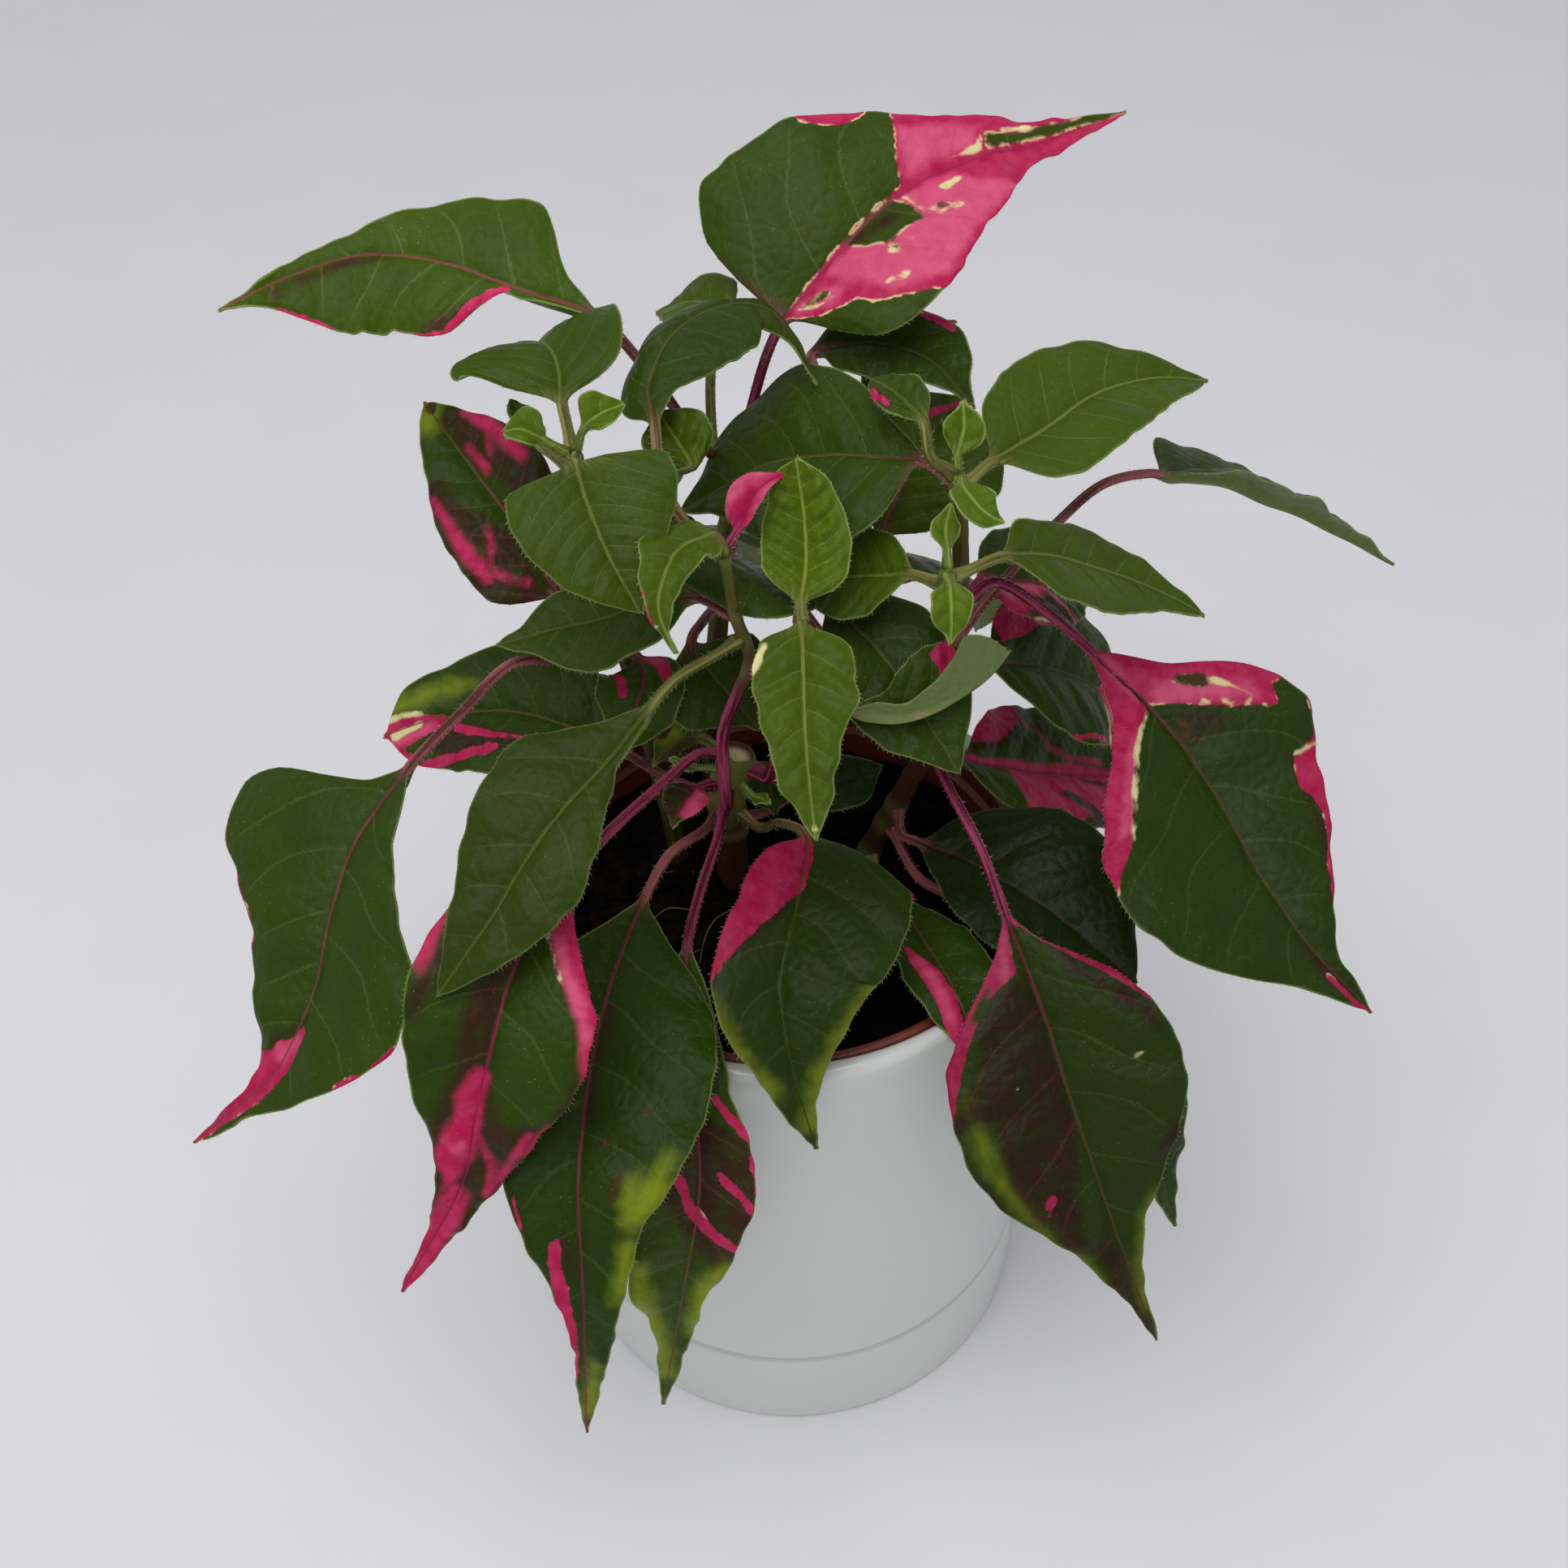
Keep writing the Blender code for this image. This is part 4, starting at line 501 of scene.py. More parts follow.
        stem="right_stem", kind="young_green", rib=[(21, -4, 184), (16, 0, 181), (9, 3, 178), (2, 5, 175)],
        face=(0, -5, 10), fold=(5, 5), both=(4, 7, 8, 6, 3)),
    "right_splashed_leaf": dict(
        stem="right_stem", kind="splashed", age=0.95, rib_red=0.35, rib_fade=0.45, border=0.34, dark=0.22,
        stalk=[(34, 1, 178), (45, 4, 168)],
        rib=[(52, 3, 161), (61, -4, 155), (70, -15, 147), (76, -27, 140), (83, -38, 134), (92, -46, 127)],
        face=(2, -5, 10), fold=(10, 10),
        left=[(5, 4.2), (9, 7), (15, 15), (21, 21), (25, 22.3), (29, 20.4), (33, 17.4), (38, 16.2),
            (45, 13.7), (51, 9.8), (56, 7.2), (62, 3.4), (67, 1.8)],
        right=[(5, 3.8), (9, 6.4), (15, 12.6), (22, 19.4), (30, 24.6), (37, 26), (43, 25.8), (48, 23.2),
            (52, 20), (56, 15), (60, 8.8), (65, 4.8), (69, 2.2)],
        pink=[[(0, 0.4), (12.4, -0.3), (15.5, -4), (19, -8), (22, -13), (24, -16.5), (23.5, -17.5),
            (21, -18.5), (21.3, -26), (10, -22), (-1, -8), (-1, 6), (10, 14), (30, 32), (46, 32),
            (41, 26.5), (36, 22.5), (34, 20.6), (30, 19), (26, 16.5), (21, 12.5), (17, 9), (14.5, 5),
            (12.6, 0.8)], [(30, -18), (31, -14), (33, -12.8), (35, -12.2), (37, -14), (40, -14.3),
            (43, -13.4), (46, -12.5), (50, -9.5), (54, -7.8), (56, -12), (45, -20), (36, -24), (30, -24)],
            [(25, -23, 0.8), (28, -22, 0.8), (30.5, -20, 0.9)], [(64, 1.4, 0.6), (68, 1.2, 0.6),
            (75, 0.4, 0.6)]],
        rose=[[(13, -1), (20, -12), (22, -15), (19, -16), (10, -3)], [(14, 6), (30, 20), (31, 23),
            (18, 12)], [(2, 0, 1), (10, 1, 1)]],
        wine=[[(16, -2), (22, -2), (22, -9), (19, -7)], [(31, -14, 0.6), (37, -13.4, 0.6), (46, -12, 0.5)],
            [(57, 1.5, 0.5), (63, 1, 1.4), (68, 0.6, 0.8)], [(46, -12, 0.4), (55, -7.4, 0.3)], [(2, 0, 0.5),
            (8, 0, 0.9), (12, 0, 0.6)]],
        brown=[[(12.4, -6.4, 0.3), (14.6, -9, 0.7)], [(18, -2, 0.5), (20, -1, 0.4)]],
        isle=[[(12.4, -6.4, 0.5), (14.6, -9, 1.1)]],
        cream=[[(13, 1.5, 0.2), (14.5, 5, 0.4), (17, 8.8, 0.5), (21, 12.2, 0.55), (26, 16.2, 0.45),
            (30, 18.8, 0.4), (34, 20.4, 0.2)], [(12, -5, 0.3), (16, -11, 0.5), (20.5, -14.6, 0.3)],
            [(23.4, -15.6, 0.3), (17, -6.4, 0.35)], [(30.6, -19, 0.3), (30.8, -14.5, 0.3)]]),
    "far_right_leaf": dict(
        stem="right_stem", stalk=[(34, 8, 168), (47, 21, 174), (56, 28, 177)],
        rib=[(66, 32, 176), (77, 36, 172), (89, 38, 165), (101, 38, 158), (112, 36, 152)], face=(3, 6, 10),
        fold=(25, 10), left=(11, 10, 9, 6, 2), right=(8, 11, 10, 7, 3)),
    "right_back_dark_leaf": dict(
        stem="right_back_stem", rib_red=0.1, spread=1.18,
        rib=[(36, 12, 152), (45, 17, 147), (54, 21, 140), (62, 24, 132), (68, 26, 126)], face=(2, -4, 10),
        fold=(5, 5), left=(8, 12, 13, 10, 5), right=(6, 11, 12, 10, 4),
        pink=[[(29.6, 0), (30, 14), (47, 14), (47, -12), (38, -7), (33, -3.6)], [(4, -3.4), (10, -5),
            (14, -7.6), (14, -13), (3, -9)], [(28, 12, 0.5), (18, 13.4, 0.5)]],
        rose=[[(33, 6, 3), (38, 3, 2)]], brown=[[(36, -3, 1.6), (38, 2, 0.8)]],
        cream=[[(29.4, 4, 0.3), (29.6, 12, 0.3)]]),
    "right_back_pink_leaf": dict(
        stem="right_back_stem", kind="splashed", rib_red=1.0, border=0.05,
        rib=[(34, 14, 168), (42, 19, 164), (50, 24, 158), (56, 28, 152)], face=(2, -4, 10),
        left=(7, 10, 10, 8, 3), right=(7, 9, 9, 7, 3),
        pink=[[(-1, -1), (8, 0.6), (15, 0.8), (16, 2.4), (10, 4), (8, 7), (4, 9), (-1, 6)], [(13, 8.5),
            (6, 9), (6, 14), (14, 14)], [(16, 3, 0.6), (20, 7, 0.6)]], rose=[[(3, 3, 1.5), (12, 1.6, 0.8)]],
        wine=[[(17, 1), (20, 9), (5, 9), (8, 3)]], cream=[[(15, 8, 0.3), (8, 8.4, 0.3)]]),
    "right_low_pink_leaf": dict(
        stem="right_back_stem", kind="splashed", age=0.7, rib_red=1.0, border=0.1, dark=0.25, spread=1.14,
        rib=[(32, 7, 135), (41, 11, 128), (52, 17, 120), (63, 22, 114), (72, 26, 108)], face=(2, -4, 10),
        both=(7, 11, 11, 9, 4),
        pink=[[(0, 0.2), (12, 0.6), (12, 12), (24, 12), (30, 9), (22, 4.4), (26, 4), (34, 9), (44, 10),
            (46, 3), (36, 2.6), (28, 1.4), (48, 1.4), (52, 0)], [(3, -3.6), (10, -4.4), (14, -7),
            (17, -9.3), (18, -14), (2, -9)], [(0, 0, 0.8), (20, -0.8, 0.7), (30, -0.8, 1), (52, 0, 1)],
            [(14, 0.5), (20, 3.4), (18, 7), (13, 4)], [(20, 1, 0.5), (22, 5, 0.8), (25, 9, 0.9)],
            [(28, 1, 0.6), (31, 5, 0.9), (36, 9.5, 1.2)], [(40, 4, 1), (44, 5, 1.4)], [(17, -9.5, 0.3),
            (22, -7.5, 0.35), (24, -5, 0.45), (29, -3, 0.5), (38, -2.3, 0.5)]],
        wine=[[(8, 0), (12, 4), (16, 12), (44, 12), (50, 3), (52, 0)], [(2, -3), (16, -8), (18, -6),
            (3, -1.5)]]),
    "right_wide_leaf": dict(
        stem="right_stem", age=1.0, rib_red=0.3, dark=0.6, stalk=[(21, -3, 126)],
        rib=[(24, -6, 127), (31, -10, 127), (38, -16, 127), (46, -22, 125), (58, -33, 120)],
        face=(0, -3, 10), fold=(5, 5), left=(8, 15, 17, 14, 6), right=(6, 10, 12, 11, 5)),
    "right_front_leaf": dict(
        stem="right_stem", kind="splashed", age=0.85, rib_red=0.35, rib_fade=0.5, dark=0.38,
        stalk=[(27, -8, 145), (32, -19, 140)],
        rib=[(36, -29, 133), (41, -41, 124), (45, -51, 114), (49, -59, 104), (54, -67, 91), (60, -73, 75)],
        face=(0, -8, 6), fold=(10, 10),
        left=[(4, 3), (9, 8), (15, 14.4), (22, 18.2), (28, 19.3), (34, 18.2), (39, 15.6), (45, 11.6),
            (50, 8), (55, 4.7), (60, 2.8), (69, 1.1)],
        right=[(4, 3.2), (9, 8), (15, 14.2), (22, 18.4), (30, 19.6), (35, 19.4), (40, 18.2), (45, 15.5),
            (50, 11.6), (55, 8.1), (61, 5), (69, 2)],
        pink=[[(0, 0), (3, -2), (6, -4.3), (10, -8), (15, -13), (19, -16.6), (20, -22), (10, -14),
            (-1, -5)], [(0, 0.4), (5, 1.2), (9, 1.8), (10.5, 6), (12, 9), (14, 10.5), (17, 13), (21, 15.5),
            (25, 17.6), (29, 20), (26, 25), (10, 20), (-1, 6)], [(44.5, 8.2, 0.7), (45.6, 9.2, 0.8)],
            [(47.5, 8.5, 0.3), (47, 9.5, 0.4)]], rose=[[(3, 1.5, 0.6), (9, 4, 0.7)]],
        wine=[[(9, 1.5), (14, 11), (22, 13), (27, 18), (30, 21), (30, 13), (33, 13), (40, 14), (46, 12.5),
            (55, 9), (56, 5), (46, 4), (36, 0.6), (12, 0.2)], [(52, 0.8), (60, 0.8), (76, 0), (76, 2.5),
            (64, 4.4), (56, 4)], [(40, -14.5, 1.2), (43.5, -11, 1)], [(37, 19.5, 0.8), (43, 16.6, 0.7)],
            [(20, -17), (8, -6), (11, -6), (24, -17)]], isle=[[(10, 7.4, 0.4), (12.4, 9.8, 0.8),
            (14, 11.4, 0.4)]],
        cream=[[(26.1, -13.2, 0.2), (26.7, -12.2, 0.3), (26.6, -11.2, 0.2)], [(26.3, 7.8, 0.25)]],
        lime=[[(26, 16, 0.5), (36, 16, 0.9), (46, 12.4, 0.7), (56, 8, 0.8), (62, 5, 0.6)], [(50, -8, 0.6),
            (58, -3.6, 0.8), (70, 0, 1)]]),
    "right_under_leaf": dict(
        stem="right_stem", stalk=[(24, -6, 118), (33, -16, 121)],
        rib=[(42, -26, 121), (52, -33, 111), (61, -40, 93), (69, -46, 66)], face=(3, -8, 8),
        left=(6, 9, 9, 6, 2), right=(6, 9, 9, 5, 2)),
    "wet_leaf": dict(
        stem="right_stem", kind="young_green", age=0.95, rib_red=0.4, stalk=[(17, -3, 113)],
        rib=[(20, -10, 117), (23, -21, 120), (27, -32, 121), (30, -41, 118), (32, -47, 112)],
        left=(3, 6, 8, 6, 2), right=(3, 5, 7, 5, 2),
        pink=[[(13, 3.8), (16, 2.4), (20, 0.8), (27, 0.1), (33, 0.8), (36, 1.6), (36, 3.6), (27, 3.8),
            (20, 4.4)]], rose=[[(18, 2.8, 0.7), (30, 2.2, 0.6)]],
        drops=[(28.6, -1.9, 0.5), (27, -2.4, 0.32), (26.2, -1.2, 0.42), (24.8, -0.4, 0.36),
            (24, -1.4, 0.26), (22.9, -0.2, 0.5), (21.6, 0.3, 0.34), (21, -0.7, 0.24), (19.6, 0.6, 0.42),
            (18.4, 0.9, 0.3), (17.2, 0.4, 0.36), (29.6, -3.1, 0.28), (25.2, 1.2, 0.22), (20.4, 2.2, 0.26),
            (16.2, 1.8, 0.24)]),
    "curled_leaf": dict(
        stem="front_shoot", age=0.7, rib_red=0.6, stalk=[(3, -15, 169)],
        rib=[(11, -16, 168), (18, -17, 167), (25, -16, 168), (31, -13, 170), (36, -9, 173)],
        face=(0, 0, 10), fold=(50, 84), left=(3, 7, 10, 9, 4),
        right=[(2, 2.5), (8, 4), (13, 6), (18, 10), (22, 12), (25.5, 9), (27.2, 5)],
        pink=[[(22, -9), (21, -4), (17, 0), (10, 1), (11, -1), (15, -2.5), (17, -5), (16.5, -8)],
            [(4, 4.2, 0.4), (10, 5.2, 0.4)]]),
    "shaded_middle_leaf": dict(
        stem="right_stem", age=0.85, spread=1.28, stalk=[(17, 1, 168)],
        rib=[(9, 2, 174), (15, -4, 171), (21, -12, 166), (28, -21, 158)], fold=(5, 5),
        both=(5, 8, 8, 7, 3)),
    "back_pink_edge_leaf": dict(
        stem="rear_stem", kind="splashed", age=0.4, spread=1.32,
        rib=[(18, 24, 171), (22, 30, 176), (27, 37, 181), (33, 45, 184)], both=(6, 10, 12, 10, 4),
        pink=[[(28, 1, 0.6), (24, -1.5, 0.5), (20, -3, 0.4)], [(9, -1, 0.8), (2, -3.4, 1)]]),
    "right_puckered_leaf": dict(
        stem="right_back_stem", kind="young_green", age=0.55, pucker=2.6, stalk=[(24, 3, 200)],
        rib=[(23, 7, 204), (21, 10, 205), (19, 14, 205), (16, 19, 204)], fold=(12, 12),
        both=(3, 4, 4, 3, 2), pink=[[(13, -2.5, 0.4), (10, -3.4, 0.7), (5, -3, 0.4)]],
        wine=[[(12, -3, 0.8), (5, -3, 0.8)]]),
    "low_small_leaf": dict(
        stem="old_stem", kind="splashed", age=0.6, rib_red=1.0, rib=[(-14, -4, 140), (-16, -9, 142),
            (-18, -14, 141)], fold=(15, 15), both=(3, 4, 4, 3, 1), pink=[[(-1, -0.4), (9, -0.3), (9, -3),
            (6, -6), (0, -6)]], rose=[[(1, -2, 1), (8, -2, 1)]], wine=[[(-1, 0), (14, 0), (14, 6),
            (-1, 6)]]),
    "low_dull_leaf": dict(
        stem="top_stem", age=0.7, dark=0.2, spread=1.4, stalk=[(-12, 16, 160)],
        rib=[(-14, 10, 160), (-11, 6, 157), (-7, 3, 153), (-3, 1, 148)], face=(0, -6, 10), fold=(5, 5),
        both=(4, 7, 7, 4, 1)),
    "low_dark_left_leaf": dict(
        stem="old_stem", rib=[(-4, 7, 134), (-2, 5, 132), (-1, 2, 127)], both=(3, 5, 5, 4, 1)),
    "low_dark_right_leaf": dict(
        stem="old_stem", age=1.0, dark=0.4, stalk=[(-2, 4, 126)], rib=[(5, 6, 130), (11, 6, 131),
            (18, 8, 132)], left=(4, 5, 5, 4, 2), right=(4, 6, 6, 5, 2)),
    "old_yellow_leaf": dict(
        stem="old_stem", kind="young_green", age=0.3, rib_red=0.5, rib=[(-13, 5, 143), (-17, 6, 142),
            (-22, 4, 138)], fold=(25, 25), both=(2, 3, 4, 3, 1), wine=[[(-1, -9), (-1, -1), (12, -1),
            (12, -9)]], brown=[[(6, 3, 1.0)], [(9, -1, 0.6)]], lime=[[(5, 2, 2)]]),
    "left_back_pink_leaf": dict(
        stem="left_stem", kind="splashed", age=0.7, spread=1.25,
        rib=[(-23, 9, 158), (-22, 5, 157), (-24, 1, 153), (-27, -2, 147)], both=(4, 6, 6, 4, 2),
        pink=[[(0, -2, 1.6), (4, -4, 1)], [(8, 2.6, 0.8), (4, 4.6, 1)]]),
    "middle_back_leaf": dict(
        stem="top_stem", stalk=[(-6, 18, 172)],
        rib=[(-6, 12, 176), (-8, 6, 181), (-11, 1, 184), (-15, -3, 184)], face=(0, -5, 10),
        left=[(2, 8), (6, 15), (11, 18.5), (15, 18), (18.5, 12)], right=[(2, 7), (6, 11), (12, 12.5),
            (16, 10), (19, 5)]),
    "rear_left_leaf": dict(
        stem="top_stem", spread=1.42, stalk=[(-18, 32, 158)],
        rib=[(-25, 40, 160), (-32, 50, 158), (-38, 60, 150), (-42, 68, 138)], face=(-2, 4, 10),
        fold=(10, 10), both=(8, 14, 15, 10, 3)),
    "rear_middle_leaf": dict(
        stem="rear_stem", stalk=[(4, 34, 150)],
        rib=[(2, 44, 152), (0, 55, 148), (-2, 65, 138), (-3, 71, 122)], face=(0, 5, 10), fold=(10, 10),
        left=[(4, 7), (10, 12), (20, 15.5), (30, 16), (38, 14), (42, 10.5), (43.7, 7)],
        right=[(4, 7), (10, 12), (20, 15), (30, 15), (38, 13), (42, 9), (43.7, 6)]),
    "rear_right_leaf": dict(
        stem="right_back_stem", spread=1.2, stalk=[(30, 30, 140)],
        rib=[(34, 40, 142), (38, 52, 138), (41, 62, 128), (42, 69, 112)], face=(2, 5, 10), fold=(10, 10),
        left=(8, 14, 15, 10, 3), right=(8, 14, 14, 10, 3)),
}

# Tiny leaves at the growing tips. They are joined to the stem that they grow from.
SHOOT_TIPS = {
    "right_back_tip_up": dict(
        stem="right_back_stem", rib=[(28, 4, 200), (29, 6, 203), (29, 9, 206)], face=(0, -8, 6),
        fold=(15, 15), both=(3, 4, 4, 3, 1)),
    "right_back_tip_down": dict(
        stem="right_back_stem", rib=[(28, -2, 199), (29, -5, 199), (31, -8, 198), (34, -8, 196)],
        fold=(15, 15), both=(3, 4, 4, 3, 1)),
    "right_tip_up": dict(
        stem="right_stem", rib=[(26, -6, 190), (26, -3, 192), (27, 0, 194)], face=(0, -8, 6), fold=(15, 15),
        both=(2, 3, 3, 2, 1)),
    "right_tip_down": dict(
        stem="right_stem", rib=[(26, -11, 188), (26, -15, 186), (26, -17, 181)], face=(0, -5, 10),
        fold=(10, 10), both=(3, 4, 4, 3, 1)),
    "left_tip_left": dict(
        stem="left_stem", spread=1.3, rib=[(-33, 5, 204), (-36, 5, 206), (-39, 6, 205)], fold=(35, 35),
        both=(2, 3, 3, 2, 1)),
    "left_tip_right": dict(
        stem="left_stem", spread=1.3, rib=[(-27, 5, 206), (-24, 6, 208), (-21, 8, 208)], fold=(35, 35),
        both=(2, 3, 3, 2, 1)),
    "pink_young_leaf": dict(
        stem="front_shoot", stalk_red=1.0, rib_red=1.0, dark=0.1, rib=[(-5, -5, 194), (-2, -1, 198),
            (2, 2, 199)], face=(0, -5, 10), fold=(30, 30), left=[(1, 3.2), (4, 3.8), (7, 3), (10, 1.2)],
        right=[(1, 1.6), (6, 1.8), (10, 1)], pink=[[(-3, -6), (-3, 6), (16, 6), (16, -6)]],
        rose=[[(3, -4, 1.5), (9, -2, 1.5)], [(3, 2, 0.6), (9, 1, 0.6)]]),
    "low_tip_left": dict(
        stem="old_stem", rib=[(-14, -2, 143), (-16, -3, 145), (-18, -3, 146)], fold=(15, 15),
        both=(1, 2, 2, 1, 1)),
    "low_tip_right": dict(
        stem="old_stem", rib=[(-5, -5, 139), (-3, -7, 140), (-2, -9, 141)], fold=(15, 15),
        both=(1, 2, 2, 1, 1)),
}


def unit(vectors):
    """Vectors, or rows of vectors, of length 1."""
    vectors = np.asarray(vectors, float)
    return vectors / np.maximum(np.linalg.norm(vectors, axis=-1, keepdims=True), 1e-9)


def ease(values, low, high):
    """A smooth step from 0 at low to 1 at high."""
    x = np.clip((np.asarray(values, float) - low) / (high - low), 0.0, 1.0)
    return x * x * (3 - 2 * x)


def smooth_curve(points, steps=CURVE_STEPS):
    """Points on a centripetal Catmull-Rom curve through the given ones."""
    points = np.array(points, float)
    ends = np.vstack([2 * points[0] - points[1], points, 2 * points[-1] - points[-2]])
    rows = []
    for index in range(len(points) - 1):
        p0, p1, p2, p3 = ends[index:index + 4]
        t1 = np.linalg.norm(p1 - p0) ** 0.5
        t2 = t1 + np.linalg.norm(p2 - p1) ** 0.5
        t3 = t2 + np.linalg.norm(p3 - p2) ** 0.5
        t = np.linspace(t1, t2, steps, endpoint=False)[:, None]
        a1 = (t1 - t) / t1 * p0 + t / t1 * p1
        a2 = (t2 - t) / (t2 - t1) * p1 + (t - t1) / (t2 - t1) * p2
        a3 = (t3 - t) / (t3 - t2) * p2 + (t - t2) / (t3 - t2) * p3
        b1 = (t2 - t) / t2 * a1 + t / t2 * a2
        b2 = (t3 - t) / (t3 - t1) * a2 + (t - t1) / (t3 - t1) * a3
        rows.append((t2 - t) / (t2 - t1) * b1 + (t - t1) / (t2 - t1) * b2)
    rows.append(points[-1:])
    return np.vstack(rows)


def lengths(curve):
    """How far along the curve each of its points lies."""
    return np.concatenate([[0.0], np.cumsum(np.linalg.norm(np.diff(curve, axis=0), axis=1))])


def nearest_row(curve, point):
    """The number of the curve's point that is nearest to a point."""
    return int(np.argmin(np.linalg.norm(curve - np.array(point, float), axis=1)))


def read_rows(rows, at, wanted):
    """Rows of numbers given at some lengths, read at other lengths."""
    return np.stack([np.interp(wanted, at, rows[:, axis]) for axis in range(3)], -1)


def half_width(values, fractions, stations=STATIONS):
    """A smooth, never overshooting curve through a leaf side's half widths."""
    x = np.array(stations)
    y = np.array([BASE_HALF_WIDTH, *values, TIP_HALF_WIDTH])
    step = np.diff(x)
    rise = np.diff(y) / step
    slope = np.zeros(len(x))
    for i in range(1, len(x) - 1):
        if rise[i - 1] * rise[i] > 0:
            before = 2 * step[i] + step[i - 1]
            after = step[i] + 2 * step[i - 1]
            slope[i] = (before + after) / (before / rise[i - 1] + after / rise[i])
    slope[0] = rise[0]
    slope[-1] = rise[-1]
    k = np.clip(np.searchsorted(x, fractions, side="right") - 1, 0, len(step) - 1)
    s = (fractions - x[k]) / step[k]
    start = y[k] * (1 + 2 * s) * (1 - s) ** 2 + slope[k] * step[k] * s * (1 - s) ** 2
    return start + y[k + 1] * s * s * (3 - 2 * s) + slope[k + 1] * step[k] * s * s * (s - 1)


def carried_frames(curve, start, face):
    """Across and normal along a curve, turned no more than the curve itself bends."""
    tangent = unit(np.gradient(curve, axis=0))
    across = np.zeros_like(tangent)
    across[start] = unit(np.cross(tangent[start], unit(face)))
    for i in range(start + 1, len(curve)):
        across[i] = unit(across[i - 1] - tangent[i] * np.dot(across[i - 1], tangent[i]))
    for i in range(start - 1, -1, -1):
        across[i] = unit(across[i + 1] - tangent[i] * np.dot(across[i + 1], tangent[i]))
    return across, unit(np.cross(across, tangent))


def leave_stem(stem, toward):
    """The stem's skin nearest to a point, one gap off, and the way out from its middle there."""
    line = smooth_curve(STEMS[stem]["points"])
    nearest = nearest_row(line, toward)
    out = unit(np.array(toward, float) - line[nearest])
    bottom, top = STEMS[stem]["radius"]
    radius = bottom + (top - bottom) * lengths(line)[nearest] / lengths(line)[-1]
    return line[nearest] + out * (radius + GAP), out


def waves(places, sizes, seed):
    """A smooth random curve: a few sine waves of the given wavelengths with seeded phases, about -1 to 1."""
    phases = np.random.default_rng(seed).uniform(0, 2 * math.pi, len(sizes))
    total = sum(np.sin(2 * math.pi * places / size + phase) for size, phase in zip(sizes, phases))
    return total / len(sizes) ** 0.5


def ring_points(line, across, up, radius, turn):
    """Rings of points around a line."""
    points = line[:, None] + across[:, None] * (radius * np.cos(turn))[..., None]
    return points + up[:, None] * (radius * np.sin(turn))[..., None]


def lane_places():
    """Places across a leaf, -1 at its left edge to 1 at its right, closer at the midrib and the edges."""
    x = np.linspace(0, 1, HALF_LANES + 1)
    half = x - LANE_CROWDING * np.sin(2 * math.pi * x)
    return np.concatenate([-half[:0:-1], half])


def leaf_path(leaf):
    """Stalk and midrib as one smooth curve out of the stem, with the length at which the blade starts."""
    points = leaf["stalk"] + leaf["rib"]
    root, out = leave_stem(leaf["stem"], points[0])
    way = [tuple(root), tuple(root + out * STALK_LEAD)] + points
    curve = smooth_curve(way)
    base = lengths(curve)[(len(way) - len(leaf["rib"])) * CURVE_STEPS]
    return np.vstack([root - out * ROOT_SUNK, curve]), base + ROOT_SUNK


def round_section(centre, side, up, radius, lanes):
    """Upper and lower points of a leaf stalk, round but for the channel along its upper side."""
    turn = math.pi * (1 - (np.arange(lanes) + 0.5) / lanes)
    channel = 1 - STALK_CHANNEL * np.exp(-((turn - math.pi / 2) / STALK_CHANNEL_ANGLE) ** 2)
    across = side[:, None] * (radius[:, None] * np.cos(turn))[..., None]
    above = up[:, None] * (radius[:, None] * np.sin(turn))[..., None]
    upper = centre[:, None] + across * channel[None, :, None] + above * channel[None, :, None]
    return upper, centre[:, None] + across - above


def outline_width(leaf, side, length, share):
    """Half widths of one side of a blade, from its list of places or from the widths at the STATIONS."""
    widths = leaf.get(side) or leaf["both"]
    if isinstance(widths, tuple):
        return half_width(widths, share) * leaf["spread"]
    at = [0.0] + [along / length for along, wide in widths] + [1.0]
    return half_width([wide for along, wide in widths], share, at)


